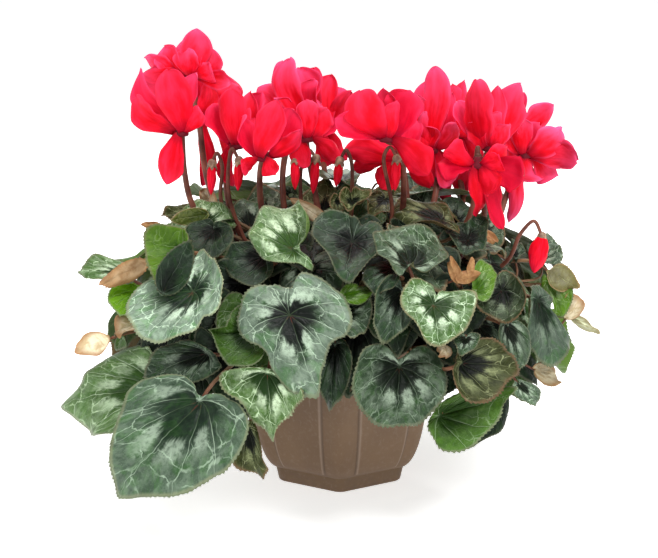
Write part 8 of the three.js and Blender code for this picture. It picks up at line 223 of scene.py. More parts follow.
    ["inner_leaf_m10",[67.9,-105.0,204.5],[1.3,-10.0,-27.4],[24.2,2.3,0.3],[-23.6,4.9,-2.9],[4.0,0.0,0.0,1.8,5,0.0],[1,0,0.93,0.16,0.8,0.4,0.62,0.66,0.4,0.86,0.12,0.985,-0.14,0.96,-0.34,0.8,-0.42,0.52,-0.34,0.26,-0.2,0.08,-0.17,-0.06,-0.3,-0.26,-0.42,-0.5,-0.36,-0.8,-0.14,-0.97,0.12,-0.985,0.4,-0.84,0.62,-0.64,0.8,-0.38,0.93,-0.16]],
    ["inner_leaf_m11",[109.9,-115.0,157.5],[11.5,-5.0,-26.3],[18.5,3.2,7.5],[-18.1,3.1,-8.5],[4.0,0.0,0.0,1.8,5,0.0],[1,0,0.93,0.16,0.8,0.4,0.62,0.66,0.4,0.86,0.12,0.985,-0.14,0.96,-0.34,0.8,-0.42,0.52,-0.34,0.26,-0.2,0.08,-0.17,-0.06,-0.3,-0.26,-0.42,-0.5,-0.36,-0.8,-0.14,-0.97,0.12,-0.985,0.4,-0.84,0.62,-0.64,0.8,-0.38,0.93,-0.16]],
    ["inner_leaf_m12",[-136.8,-80.0,168.7],[-15.1,0.0,-36.5],[14.8,2.8,-6.1],[-14.8,2.4,6.1],[4.0,0.0,0.0,1.8,5,0.0],[1,0,0.93,0.16,0.8,0.4,0.62,0.66,0.4,0.86,0.12,0.985,-0.14,0.96,-0.34,0.8,-0.42,0.52,-0.34,0.26,-0.2,0.08,-0.17,-0.06,-0.3,-0.26,-0.42,-0.5,-0.36,-0.8,-0.14,-0.97,0.12,-0.985,0.4,-0.84,0.62,-0.64,0.8,-0.38,0.93,-0.16]],
    ["inner_leaf_m13",[84.7,-120.0,137.6],[-7.5,-6.0,-33.1],[19.7,0.3,-4.5],[-19.1,5.9,3.3],[4.0,0.0,0.0,1.8,5,0.0],[1,0,0.93,0.16,0.8,0.4,0.62,0.66,0.4,0.86,0.12,0.985,-0.14,0.96,-0.34,0.8,-0.42,0.52,-0.34,0.26,-0.2,0.08,-0.17,-0.06,-0.3,-0.26,-0.42,-0.5,-0.36,-0.8,-0.14,-0.97,0.12,-0.985,0.4,-0.84,0.62,-0.64,0.8,-0.38,0.93,-0.16]],
    ["inner_leaf_m14",[126.1,-80.0,128.0],[9.7,-6.0,-32.8],[19.4,2.4,5.3],[-18.9,3.9,-6.3],[4.0,0.0,0.0,1.8,5,0.0],[1,0,0.93,0.16,0.8,0.4,0.62,0.66,0.4,0.86,0.12,0.985,-0.14,0.96,-0.34,0.8,-0.42,0.52,-0.34,0.26,-0.2,0.08,-0.17,-0.06,-0.3,-0.26,-0.42,-0.5,-0.36,-0.8,-0.14,-0.97,0.12,-0.985,0.4,-0.84,0.62,-0.64,0.8,-0.38,0.93,-0.16]],
    ["inner_leaf_t1",[-58.2,5.0,214.9],[-8.9,20.0,30.5],[-24.0,1.3,-7.9],[24.5,5.4,3.6],[4.0,0.0,0.0,1.8,5,0.0],[1,0,0.93,0.16,0.8,0.4,0.62,0.66,0.4,0.86,0.12,0.985,-0.14,0.96,-0.34,0.8,-0.42,0.52,-0.34,0.26,-0.2,0.08,-0.17,-0.06,-0.3,-0.26,-0.42,-0.5,-0.36,-0.8,-0.14,-0.97,0.12,-0.985,0.4,-0.84,0.62,-0.64,0.8,-0.38,0.93,-0.16]],
    ["inner_leaf_t2",[-14.9,10.0,219.1],[6.7,20.0,29.0],[-23.8,4.0,2.8],[23.1,2.4,-7.0],[4.0,0.0,0.0,1.8,5,0.0],[1,0,0.93,0.16,0.8,0.4,0.62,0.66,0.4,0.86,0.12,0.985,-0.14,0.96,-0.34,0.8,-0.42,0.52,-0.34,0.26,-0.2,0.08,-0.17,-0.06,-0.3,-0.26,-0.42,-0.5,-0.36,-0.8,-0.14,-0.97,0.12,-0.985,0.4,-0.84,0.62,-0.64,0.8,-0.38,0.93,-0.16]],
    ["inner_leaf_t3",[13.5,5.0,220.0],[-3.1,20.0,27.1],[-25.6,3.3,-5.4],[26.1,3.4,0.5],[4.0,0.0,0.0,1.8,5,0.0],[1,0,0.93,0.16,0.8,0.4,0.62,0.66,0.4,0.86,0.12,0.985,-0.14,0.96,-0.34,0.8,-0.42,0.52,-0.34,0.26,-0.2,0.08,-0.17,-0.06,-0.3,-0.26,-0.42,-0.5,-0.36,-0.8,-0.14,-0.97,0.12,-0.985,0.4,-0.84,0.62,-0.64,0.8,-0.38,0.93,-0.16]],
    ["inner_leaf_t4",[38.6,10.0,220.8],[7.3,20.0,24.7],[-23.6,4.9,3.0],[23.0,1.1,-7.7],[4.0,0.0,0.0,1.8,5,0.0],[1,0,0.93,0.16,0.8,0.4,0.62,0.66,0.4,0.86,0.12,0.985,-0.14,0.96,-0.34,0.8,-0.42,0.52,-0.34,0.26,-0.2,0.08,-0.17,-0.06,-0.3,-0.26,-0.42,-0.5,-0.36,-0.8,-0.14,-0.97,0.12,-0.985,0.4,-0.84,0.62,-0.64,0.8,-0.38,0.93,-0.16]],
    ["inner_leaf_t5",[66.8,5.0,220.0],[5.9,20.0,23.7],[-23.7,5.2,1.6],[23.4,0.7,-6.5],[4.0,0.0,0.0,1.8,5,0.0],[1,0,0.93,0.16,0.8,0.4,0.62,0.66,0.4,0.86,0.12,0.985,-0.14,0.96,-0.34,0.8,-0.42,0.52,-0.34,0.26,-0.2,0.08,-0.17,-0.06,-0.3,-0.26,-0.42,-0.5,-0.36,-0.8,-0.14,-0.97,0.12,-0.985,0.4,-0.84,0.62,-0.64,0.8,-0.38,0.93,-0.16]],
    ["inner_leaf_t6",[-89.9,5.0,213.2],[-10.6,35.0,14.3],[-17.6,-1.2,-10.0],[19.3,4.0,4.5],[4.0,0.0,0.0,1.8,5,0.0],[1,0,0.93,0.16,0.8,0.4,0.62,0.66,0.4,0.86,0.12,0.985,-0.14,0.96,-0.34,0.8,-0.42,0.52,-0.34,0.26,-0.2,0.08,-0.17,-0.06,-0.3,-0.26,-0.42,-0.5,-0.36,-0.8,-0.14,-0.97,0.12,-0.985,0.4,-0.84,0.62,-0.64,0.8,-0.38,0.93,-0.16]],
    ["inner_leaf_t7",[93.1,0.0,214.2],[8.0,20.0,20.2],[-23.3,5.9,3.4],[22.7,-0.3,-8.7],[4.0,0.0,0.0,1.8,5,0.0],[1,0,0.93,0.16,0.8,0.4,0.62,0.66,0.4,0.86,0.12,0.985,-0.14,0.96,-0.34,0.8,-0.42,0.52,-0.34,0.26,-0.2,0.08,-0.17,-0.06,-0.3,-0.26,-0.42,-0.5,-0.36,-0.8,-0.14,-0.97,0.12,-0.985,0.4,-0.84,0.62,-0.64,0.8,-0.38,0.93,-0.16]],
    ["inner_leaf_t8",[-35.0,15.0,219.9],[-3.7,20.0,27.4],[-23.7,2.1,-4.8],[24.0,4.1,0.2],[4.0,0.0,0.0,1.8,5,0.0],[1,0,0.93,0.16,0.8,0.4,0.62,0.66,0.4,0.86,0.12,0.985,-0.14,0.96,-0.34,0.8,-0.42,0.52,-0.34,0.26,-0.2,0.08,-0.17,-0.06,-0.3,-0.26,-0.42,-0.5,-0.36,-0.8,-0.14,-0.97,0.12,-0.985,0.4,-0.84,0.62,-0.64,0.8,-0.38,0.93,-0.16]],
    ["inner_leaf_t9",[-110.4,-36.0,222.6],[-4.9,14.0,16.4],[-26.1,2.9,-10.3],[26.6,9.4,-0.1],[4.0,0.0,0.0,1.8,5,0.0],[1,0,0.93,0.16,0.8,0.4,0.62,0.66,0.4,0.86,0.12,0.985,-0.14,0.96,-0.34,0.8,-0.42,0.52,-0.34,0.26,-0.2,0.08,-0.17,-0.06,-0.3,-0.26,-0.42,-0.5,-0.36,-0.8,-0.14,-0.97,0.12,-0.985,0.4,-0.84,0.62,-0.64,0.8,-0.38,0.93,-0.16]],
    ["small_leaf_t10",[-102.7,-20.0,226.2],[-1.3,0.0,19.8],[-5.0,0.3,-0.3],[4.9,1.2,0.3],[4.0,0.0,0.0,1.8,5,0.0],[1,0,0.93,0.16,0.8,0.4,0.62,0.66,0.4,0.86,0.12,0.985,-0.14,0.96,-0.34,0.8,-0.42,0.52,-0.34,0.26,-0.2,0.08,-0.17,-0.06,-0.3,-0.26,-0.42,-0.5,-0.36,-0.8,-0.14,-0.97,0.12,-0.985,0.4,-0.84,0.62,-0.64,0.8,-0.38,0.93,-0.16]],
    ["inner_leaf_t11",[-74.0,-10.0,214.4],[-5.8,20.0,21.6],[-19.4,0.6,-5.8],[19.8,4.1,1.5],[4.0,0.0,0.0,1.8,5,0.0],[1,0,0.93,0.16,0.8,0.4,0.62,0.66,0.4,0.86,0.12,0.985,-0.14,0.96,-0.34,0.8,-0.42,0.52,-0.34,0.26,-0.2,0.08,-0.17,-0.06,-0.3,-0.26,-0.42,-0.5,-0.36,-0.8,-0.14,-0.97,0.12,-0.985,0.4,-0.84,0.62,-0.64,0.8,-0.38,0.93,-0.16]],
    ["inner_leaf_t12",[118.7,-10.0,209.4],[8.4,20.0,13.1],[-17.2,4.7,3.9],[16.1,-1.3,-8.4],[4.0,0.0,0.0,1.8,5,0.0],[1,0,0.93,0.16,0.8,0.4,0.62,0.66,0.4,0.86,0.12,0.985,-0.14,0.96,-0.34,0.8,-0.42,0.52,-0.34,0.26,-0.2,0.08,-0.17,-0.06,-0.3,-0.26,-0.42,-0.5,-0.36,-0.8,-0.14,-0.97,0.12,-0.985,0.4,-0.84,0.62,-0.64,0.8,-0.38,0.93,-0.16]],
    ["inner_leaf_s1",[128.0,-20.0,150.0],[44.0,-4.0,-58.0],[-0.9,30.3,-2.8],[-7.6,-29.3,-3.8],[5.0,3.0,0.0,2.0,5,1.0],[1,0,0.93,0.16,0.8,0.4,0.62,0.66,0.4,0.86,0.12,0.985,-0.14,0.96,-0.34,0.8,-0.42,0.52,-0.34,0.26,-0.2,0.08,-0.17,-0.06,-0.3,-0.26,-0.42,-0.5,-0.36,-0.8,-0.14,-0.97,0.12,-0.985,0.4,-0.84,0.62,-0.64,0.8,-0.38,0.93,-0.16]],
    ["inner_leaf_s2",[120.0,28.0,140.0],[48.0,16.0,-56.0],[-12.4,28.9,-2.4],[4.3,-30.8,-5.1],[5.0,3.0,0.0,2.0,5,1.0],[1,0,0.93,0.16,0.8,0.4,0.62,0.66,0.4,0.86,0.12,0.985,-0.14,0.96,-0.34,0.8,-0.42,0.52,-0.34,0.26,-0.2,0.08,-0.17,-0.06,-0.3,-0.26,-0.42,-0.5,-0.36,-0.8,-0.14,-0.97,0.12,-0.985,0.4,-0.84,0.62,-0.64,0.8,-0.38,0.93,-0.16]],
    ["inner_leaf_s3",[112.0,4.0,118.0],[28.0,4.0,-56.0],[-5.4,29.0,-0.6],[-3.9,-28.9,-4.0],[5.0,3.0,0.0,2.0,5,1.0],[1,0,0.93,0.16,0.8,0.4,0.62,0.66,0.4,0.86,0.12,0.985,-0.14,0.96,-0.34,0.8,-0.42,0.52,-0.34,0.26,-0.2,0.08,-0.17,-0.06,-0.3,-0.26,-0.42,-0.5,-0.36,-0.8,-0.14,-0.97,0.12,-0.985,0.4,-0.84,0.62,-0.64,0.8,-0.38,0.93,-0.16]],
    ["inner_leaf_s4",[138.0,-50.0,168.0],[34.0,-10.0,-50.0],[9.3,23.6,1.6],[-15.3,-19.1,-6.6],[5.0,3.0,0.0,2.0,5,1.0],[1,0,0.93,0.16,0.8,0.4,0.62,0.66,0.4,0.86,0.12,0.985,-0.14,0.96,-0.34,0.8,-0.42,0.52,-0.34,0.26,-0.2,0.08,-0.17,-0.06,-0.3,-0.26,-0.42,-0.5,-0.36,-0.8,-0.14,-0.97,0.12,-0.985,0.4,-0.84,0.62,-0.64,0.8,-0.38,0.93,-0.16]],
    ["inner_leaf_s5",[130.0,60.0,165.0],[46.0,20.0,-53.0],[-14.1,24.5,-3.0],[7.3,-27.2,-3.9],[5.0,3.0,0.0,2.0,5,1.0],[1,0,0.93,0.16,0.8,0.4,0.62,0.66,0.4,0.86,0.12,0.985,-0.14,0.96,-0.34,0.8,-0.42,0.52,-0.34,0.26,-0.2,0.08,-0.17,-0.06,-0.3,-0.26,-0.42,-0.5,-0.36,-0.8,-0.14,-0.97,0.12,-0.985,0.4,-0.84,0.62,-0.64,0.8,-0.38,0.93,-0.16]],
    ["inner_leaf_s6",[100.0,-30.0,105.0],[24.0,-14.0,-47.0],[7.2,23.1,-3.2],[-13.9,-20.0,-1.2],[5.0,3.0,0.0,2.0,5,1.0],[1,0,0.93,0.16,0.8,0.4,0.62,0.66,0.4,0.86,0.12,0.985,-0.14,0.96,-0.34,0.8,-0.42,0.52,-0.34,0.26,-0.2,0.08,-0.17,-0.06,-0.3,-0.26,-0.42,-0.5,-0.36,-0.8,-0.14,-0.97,0.12,-0.985,0.4,-0.84,0.62,-0.64,0.8,-0.38,0.93,-0.16]],
    ["inner_leaf_s7",[96.0,48.0,112.0],[26.0,14.0,-52.0],[-15.0,21.7,-1.6],[7.6,-25.1,-3.0],[5.0,3.0,0.0,2.0,5,1.0],[1,0,0.93,0.16,0.8,0.4,0.62,0.66,0.4,0.86,0.12,0.985,-0.14,0.96,-0.34,0.8,-0.42,0.52,-0.34,0.26,-0.2,0.08,-0.17,-0.06,-0.3,-0.26,-0.42,-0.5,-0.36,-0.8,-0.14,-0.97,0.12,-0.985,0.4,-0.84,0.62,-0.64,0.8,-0.38,0.93,-0.16]],
    ["fold_leaf_05",[-131.8,-142.0,189.0],[19.8,10.0,37.2],[-11.4,4.0,5.0],[10.6,3.8,-6.7],[2.0,0,0,0.6,3,1.0],[1,0,0.95,0.25,0.86,0.5,0.72,0.76,0.54,0.95,0.36,1.0,0.2,0.86,0.08,0.6,0.0,0.28,-0.03,0,0.0,-0.28,0.08,-0.6,0.2,-0.86,0.36,-1.0,0.54,-0.95,0.72,-0.76,0.86,-0.5,0.95,-0.25]],
    ["small_leaf_t13",[-152.5,-67.0,196.3],[-38.2,-2.0,-19.0],[3.6,1.7,-7.5],[-3.5,3.8,6.7],[2.0,0,0,1.2,4,1.0],[1,0,0.95,0.25,0.86,0.5,0.72,0.76,0.54,0.95,0.36,1.0,0.2,0.86,0.08,0.6,0.0,0.28,-0.03,0,0.0,-0.28,0.08,-0.6,0.2,-0.86,0.36,-1.0,0.54,-0.95,0.72,-0.76,0.86,-0.5,0.95,-0.25]],
    ["small_leaf_t14",[-183.3,-75.0,135.7],[-30.9,20.0,-14.6],[4.2,-0.4,-9.3],[-2.0,3.7,9.3],[3.0,0,0,1.2,4,1.0],[1,0,0.95,0.25,0.86,0.5,0.72,0.76,0.54,0.95,0.36,1.0,0.2,0.86,0.08,0.6,0.0,0.28,-0.03,0,0.0,-0.28,0.08,-0.6,0.2,-0.86,0.36,-1.0,0.54,-0.95,0.72,-0.76,0.86,-0.5,0.95,-0.25]],
    ["small_leaf_t15",[88.3,-128.0,193.4],[-8.2,-4.0,21.5],[-4.5,3.4,-1.1],[4.1,3.4,2.2],[3.0,0,0,1.0,4,1.0],[1,0,0.95,0.25,0.86,0.5,0.72,0.76,0.54,0.95,0.36,1.0,0.2,0.86,0.08,0.6,0.0,0.28,-0.03,0,0.0,-0.28,0.08,-0.6,0.2,-0.86,0.36,-1.0,0.54,-0.95,0.72,-0.76,0.86,-0.5,0.95,-0.25]],
    ["small_leaf_t16",[85.9,-129.0,195.9],[18.8,2.0,4.9],[-1.5,4.8,3.7],[1.2,2.4,-5.6],[3.0,0,0,1.0,4,1.0],[1,0,0.95,0.25,0.86,0.5,0.72,0.76,0.54,0.95,0.36,1.0,0.2,0.86,0.08,0.6,0.0,0.28,-0.03,0,0.0,-0.28,0.08,-0.6,0.2,-0.86,0.36,-1.0,0.54,-0.95,0.72,-0.76,0.86,-0.5,0.95,-0.25]],
    ["small_leaf_t17",[95.7,-128.0,198.0],[2.9,3.0,15.4],[-2.6,1.7,0.2],[2.9,1.0,-0.7],[2.0,0,0,1.0,4,1.0],[1,0,0.95,0.25,0.86,0.5,0.72,0.76,0.54,0.95,0.36,1.0,0.2,0.86,0.08,0.6,0.0,0.28,-0.03,0,0.0,-0.28,0.08,-0.6,0.2,-0.86,0.36,-1.0,0.54,-0.95,0.72,-0.76,0.86,-0.5,0.95,-0.25]],
    ["small_leaf_t19",[-106.4,-34.0,228.8],[-30.4,-10.0,-3.9],[0.6,0.8,-7.2],[-1.8,3.1,6.4],[3.0,0,0,1.2,4,1.0],[1,0,0.95,0.25,0.86,0.5,0.72,0.76,0.54,0.95,0.36,1.0,0.2,0.86,0.08,0.6,0.0,0.28,-0.03,0,0.0,-0.28,0.08,-0.6,0.2,-0.86,0.36,-1.0,0.54,-0.95,0.72,-0.76,0.86,-0.5,0.95,-0.25]],
    ["small_leaf_t20",[-142.3,-40.0,219.3],[-16.8,-6.0,3.6],[-1.0,0.7,-3.5],[-0.1,2.1,3.1],[3.0,0,0,1.0,4,1.0],[1,0,0.95,0.25,0.86,0.5,0.72,0.76,0.54,0.95,0.36,1.0,0.2,0.86,0.08,0.6,0.0,0.28,-0.03,0,0.0,-0.28,0.08,-0.6,0.2,-0.86,0.36,-1.0,0.54,-0.95,0.72,-0.76,0.86,-0.5,0.95,-0.25]],
    ["small_leaf_t21",[-8.2,-56.0,224.7],[-31.8,10.0,19.1],[-2.9,1.4,-5.6],[3.6,3.2,4.3],[3.0,0,0,1.2,4,1.0],[1,0,0.95,0.25,0.86,0.5,0.72,0.76,0.54,0.95,0.36,1.0,0.2,0.86,0.08,0.6,0.0,0.28,-0.03,0,0.0,-0.28,0.08,-0.6,0.2,-0.86,0.36,-1.0,0.54,-0.95,0.72,-0.76,0.86,-0.5,0.95,-0.25]],
    ["small_leaf_t18",[168.6,-36.0,182.2],[27.7,21.0,-18.2],[3.9,3.6,10.0],[-6.7,1.0,-9.1],[3.0,0,0,1.2,4,1.0],[1,0,0.95,0.25,0.86,0.5,0.72,0.76,0.54,0.95,0.36,1.0,0.2,0.86,0.08,0.6,0.0,0.28,-0.03,0,0.0,-0.28,0.08,-0.6,0.2,-0.86,0.36,-1.0,0.54,-0.95,0.72,-0.76,0.86,-0.5,0.95,-0.25]],
]
# Flower: name, mouth, petals [tip x,y,z, width, turn, bow, twist, place round the mouth], two points of the stalk.
FLOWERS = [
    ["flower_01",[-126.1,-40.0,295.7],[[-135.1,-55.0,346.5,36.4,-21,8.0,10,302],[-159.7,-49.0,324.3,28.9,21,6.0,15,195],[-159.4,-16.0,344.1,26.4,-10,5.0,-10,118],[-116.7,-28.0,341.9,25.0,60,5.0,10,51],[-135.7,-48.0,255.4,23.6,13,4.0,8,253],[-109.2,-48.0,317.1,17.0,-16,5.0,10,305]],[[-118.3,-27.0,232.4],[-124.6,-31.0,260.0]]],
    ["flower_02",[-123.2,24.0,334.3],[[-117.5,24.0,372.7,30.2,-6,5.0,10,279],[-146.3,28.0,358.6,31.5,33,5.0,0,204],[-104.3,30.0,355.2,27.5,-38,5.0,0,341],[-134.4,51.0,362.1,27.1,-17,5.0,10,121],[-110.9,51.0,360.4,26.8,14,5.0,0,63],[-125.2,15.0,356.2,26.0,3,5.0,12,265],[-104.5,19.0,341.2,24.0,-26,5.0,10,312],[-164.6,24.0,334.3,28.0,26,5.0,10,201],[-92.0,26.0,325.8,23.0,-26,5.0,10,336],[-136.2,30.0,337.0,22.0,22,5.0,12,218],[-163.1,28.0,347.1,27.0,30,5.0,10,197]],[[-106.3,8.2,237.2],[-118.2,33.0,295.1]]],
    ["flower_03",[-115.5,42.0,299.1],[[-85.2,36.0,324.9,30.7,-12,5.0,10,294],[-99.5,51.0,335.3,28.9,26,5.0,0,13],[-118.8,60.0,339.6,27.6,-20,5.0,10,120],[-130.1,51.0,326.9,22.8,-16,5.0,0,176],[-100.9,66.0,311.8,27.9,31,5.0,0,64],[-96.8,44.0,259.6,22.0,-26,5.0,10,323],[-110.4,28.0,329.0,26.0,-6,5.0,12,280],[-116.4,40.0,239.6,17.0,2,4.0,8,267]],[[-105.5,18.1,231.3],[-113.4,51.0,269.0]]],
    ["flower_04",[-84.5,-12.0,281.7],[[-86.5,-21.0,328.6,32.0,1,7.0,10,269],[-63.2,-6.0,323.2,33.4,33,6.0,-10,27],[-103.1,-6.0,314.3,31.6,-35,6.0,10,155],[-69.1,-24.0,302.6,13.0,-16,4.0,25,327],[-90.1,-9.0,249.2,24.1,30,4.0,8,216],[-73.3,-14.0,325.6,23.0,-21,5.0,10,302],[-75.7,-16.0,315.3,23.0,-12,5.0,14,294]],[[-90.2,-11.6,229.7],[-90.9,-3.0,276.4]]],
    ["flower_05",[-60.7,-56.0,278.1],[[-49.7,-68.0,323.1,28.5,17,7.0,10,244],[-36.3,-52.0,314.4,27.4,31,6.0,-10,39],[-31.5,-60.0,299.8,23.3,-19,5.0,0,349],[-76.4,-48.0,309.3,31.0,-33,6.0,10,167],[-51.2,-62.0,264.8,21.3,-10,3.5,10,291],[-76.4,-58.0,267.3,15.0,30,4.0,8,229]],[[-62.8,-35.8,232.4],[-62.7,-47.0,270.4]]],
    ["flower_06",[-33.8,12.0,298.4],[[-42.4,8.0,350.2,29.0,-2,7.0,10,273],[-67.6,18.0,324.9,24.3,19,6.0,0,208],[-24.7,21.0,332.9,29.9,36,6.0,0,24],[-50.0,39.0,344.6,28.1,-22,6.0,0,131],[-33.3,42.0,341.0,28.3,8,6.0,0,77],[-14.8,16.0,312.0,22.0,-19,5.0,10,328],[-52.4,6.0,319.5,22.0,22,5.0,10,230]],[[-46.3,1.6,229.9],[-44.9,21.0,273.1]]],
    ["flower_07",[-16.7,50.0,286.2],[[-20.8,47.0,339.8,39.9,25,7.0,10,232],[-7.3,58.0,333.0,27.6,-6,6.0,0,301],[10.4,44.0,319.1,23.8,-22,5.0,20,348],[-33.8,62.0,324.2,28.6,-33,5.0,0,138],[-2.9,77.0,322.8,30.5,11,6.0,0,74],[6.5,54.0,259.9,26.0,-26,5.0,12,333],[-14.1,50.0,253.6,20.0,-6,4.0,8,279],[-33.5,42.0,312.6,22.0,26,5.0,10,235]],[[-9.8,22.5,226.2],[-15.0,59.0,267.9]]],
    ["flower_08",[-27.4,-26.0,289.2],[[-27.2,-32.0,320.2,24.4,-11,5.0,0,286],[-44.2,-23.0,309.7,26.2,-33,5.0,0,174],[-11.4,-23.0,312.9,23.3,-19,5.0,0,351],[-2.6,-17.0,301.0,21.5,22,5.0,0,67],[-29.9,-26.0,265.7,20.5,22,3.5,8,236],[-0.1,-20.0,270.6,22.0,-26,5.0,10,340]],[[-18.0,-19.3,229.4],[-24.4,-17.0,266.0]]],
    ["flower_09",[36.1,-62.0,293.8],[[14.7,-74.0,332.1,39.0,23,8.0,12,235],[33.9,-50.0,331.4,26.3,8,6.0,0,93],[54.6,-56.0,329.6,34.1,35,6.0,-10,4],[68.3,-74.0,267.4,35.6,-26,10.0,15,312],[-3.6,-65.0,309.7,24.9,-22,5.0,15,179],[42.6,-66.0,323.7,22.0,-15,5.0,12,288]],[[50.3,-39.1,237.0],[44.3,-53.0,287.1]]],
    ["flower_10",[47.8,-16.0,271.6],[[3.1,-19.0,278.5,27.0,22,5.0,0,249],[9.7,-13.0,263.0,23.7,40,4.0,0,201],[27.9,2.0,297.1,28.4,-24,5.0,0,127],[58.9,2.0,302.0,27.3,18,5.0,0,63],[65.6,-4.0,264.1,29.9,36,5.0,0,11],[73.5,-12.0,246.4,23.0,-26,4.0,8,335],[32.6,-14.0,248.3,23.0,26,4.0,8,223]],[[54.0,-13.8,228.4],[51.6,-7.0,260.4]]],
    ["flower_11",[76.9,8.0,275.7],[[77.1,2.0,344.2,26.6,12,7.0,10,251],[62.5,11.0,320.7,22.8,16,6.0,0,187],[90.8,16.0,321.8,31.0,33,6.0,0,5],[75.4,35.0,330.0,26.0,-3,6.0,0,95],[81.0,11.0,240.9,21.1,-18,3.5,0,304],[68.7,2.0,306.9,20.0,13,5.0,12,249],[67.2,2.0,295.4,23.0,16,5.0,12,246],[93.5,4.0,298.5,25.0,-26,6.0,12,310],[90.0,10.0,246.1,23.0,-26,4.0,8,313]],[[77.0,-0.6,230.3],[81.0,17.0,265.2]]],
    ["flower_12",[100.2,50.0,279.4],[[94.9,47.0,325.6,24.8,14,6.0,10,248],[110.9,54.0,318.1,23.3,-19,5.0,0,315],[87.5,59.0,314.3,26.2,-33,5.0,0,153],[106.1,77.0,319.4,28.9,26,5.0,0,48],[93.4,74.0,292.0,24.0,4,5.0,0,101],[107.6,54.0,226.9,20.0,-21,4.0,8,302],[107.1,52.0,328.5,20.0,-17,5.0,8,296],[95.1,58.0,220.9,23.0,21,4.0,6,237],[116.5,58.0,310.9,22.0,-26,5.0,0,334],[116.0,56.0,249.2,25.0,-26,5.0,12,328],[109.1,48.0,296.7,25.0,-17,6.0,10,296]],[[101.6,22.5,217.7],[103.3,59.0,250.5]]],
    ["flower_13",[119.6,-24.0,281.6],[[108.4,-36.0,337.1,37.8,26,8.0,12,227],[127.6,-21.0,330.2,22.0,-2,6.0,0,293],[140.6,-18.0,333.1,32.5,-22,6.0,-10,351],[95.8,-12.0,318.1,31.0,-33,6.0,0,139],[136.6,-3.0,310.7,28.4,24,6.0,0,70],[125.2,-32.0,310.7,23.0,-2,5.0,14,283],[101.8,-30.0,300.9,26.0,25,6.0,16,231],[132.8,-30.0,302.5,24.0,-17,6.0,12,301]],[[104.6,-18.2,220.9],[112.3,-15.0,253.4]]],
    ["flower_14",[141.8,34.0,282.3],[[177.9,34.0,310.1,24.9,-22,5.0,12,328],[169.7,37.0,291.2,22.0,0,5.0,0,281],[156.0,48.0,318.7,24.0,-2,5.0,0,93],[136.3,52.0,313.3,27.6,-30,5.0,0,151],[163.4,61.0,300.4,29.9,36,5.0,0,45],[137.3,40.0,222.3,20.0,16,4.0,6,246],[149.0,28.0,299.0,24.0,-8,5.0,10,288],[153.9,32.0,261.4,26.0,-22,5.0,12,304],[127.7,38.0,255.4,24.0,26,5.0,8,220]],[[124.5,13.7,210.8],[134.0,43.0,261.5]]],
    ["flower_15",[151.9,6.0,271.8],[[181.2,3.0,295.3,30.2,-16,7.0,10,295],[196.0,2.0,269.0,31.8,-24,7.0,-10,344],[180.0,12.0,251.7,31.0,33,6.0,0,33],[167.7,18.0,295.2,26.5,-12,6.0,0,108],[165.0,12.0,250.9,23.8,22,4.0,0,246],[143.1,8.0,212.7,17.0,21,4.0,8,238],[194.3,-4.0,265.8,29.0,-26,5.0,8,328],[179.6,-8.0,291.8,32.0,-26,6.0,10,313],[145.6,-4.0,304.3,24.0,5,5.0,12,256],[136.8,8.0,293.1,24.0,26,5.0,12,223],[148.3,10.0,242.8,24.0,11,5.0,10,253]],[[126.2,-1.7,209.4],[142.2,15.0,244.5]]],
    ["flower_16",[106.6,-68.0,274.3],[[81.0,-80.0,263.7,36.7,-26,7.0,-10,178],[129.2,-71.0,287.2,26.9,-15,6.0,0,304],[141.4,-77.0,266.3,41.2,-26,8.0,10,352],[126.9,-65.0,222.4,24.9,28,4.0,10,40],[108.3,-68.0,232.5,24.0,24,4.0,0,242],[79.4,-76.0,284.8,27.0,30,5.0,12,221],[115.6,-76.0,252.1,27.0,-13,6.0,14,291],[121.8,-82.0,285.6,25.0,-10,6.0,14,297]],[[112.7,-42.4,221.3],[112.0,-59.0,248.5]]],
]
# Bud: calyx, tip, points of the stalk.
BUDS = [
    [[-103.1,-26.0,269.0],[-104.3,-27.0,243.1],[[-95.9,-22.8,234.2],[-95.2,-25.0,267.2],[-99.0,-26.0,277.1]]],
    [[-80.9,-34.0,272.6],[-82.0,-35.0,247.7],[[-88.1,-29.2,235.3],[-88.9,-33.0,272.4],[-86.3,-34.0,281.4]]],
    [[-36.3,-26.0,273.0],[-36.4,-27.0,247.2],[[-45.5,-22.8,235.0],[-43.6,-25.0,272.9],[-40.3,-26.0,281.1]]],
    [[-19.5,-20.0,272.2],[-22.0,-21.0,242.9],[[-31.8,-18.0,237.5],[-30.9,-19.0,266.3],[-25.1,-20.0,278.7]]],
    [[-0.1,-24.0,271.1],[-3.3,-25.0,249.3],[[9.7,-21.2,242.1],[8.7,-23.0,271.0],[4.7,-24.0,279.2]]],
    [[44.5,-52.0,276.7],[43.1,-53.0,250.6],[[41.3,-43.6,229.7],[34.3,-51.0,278.2],[38.9,-52.0,285.4]]],
    [[154.1,-95.0,222.7],[148.7,-96.0,193.9],[[129.2,-78.0,198.7],[138.1,-94.0,224.9],[147.6,-95.0,234.4]]],
]
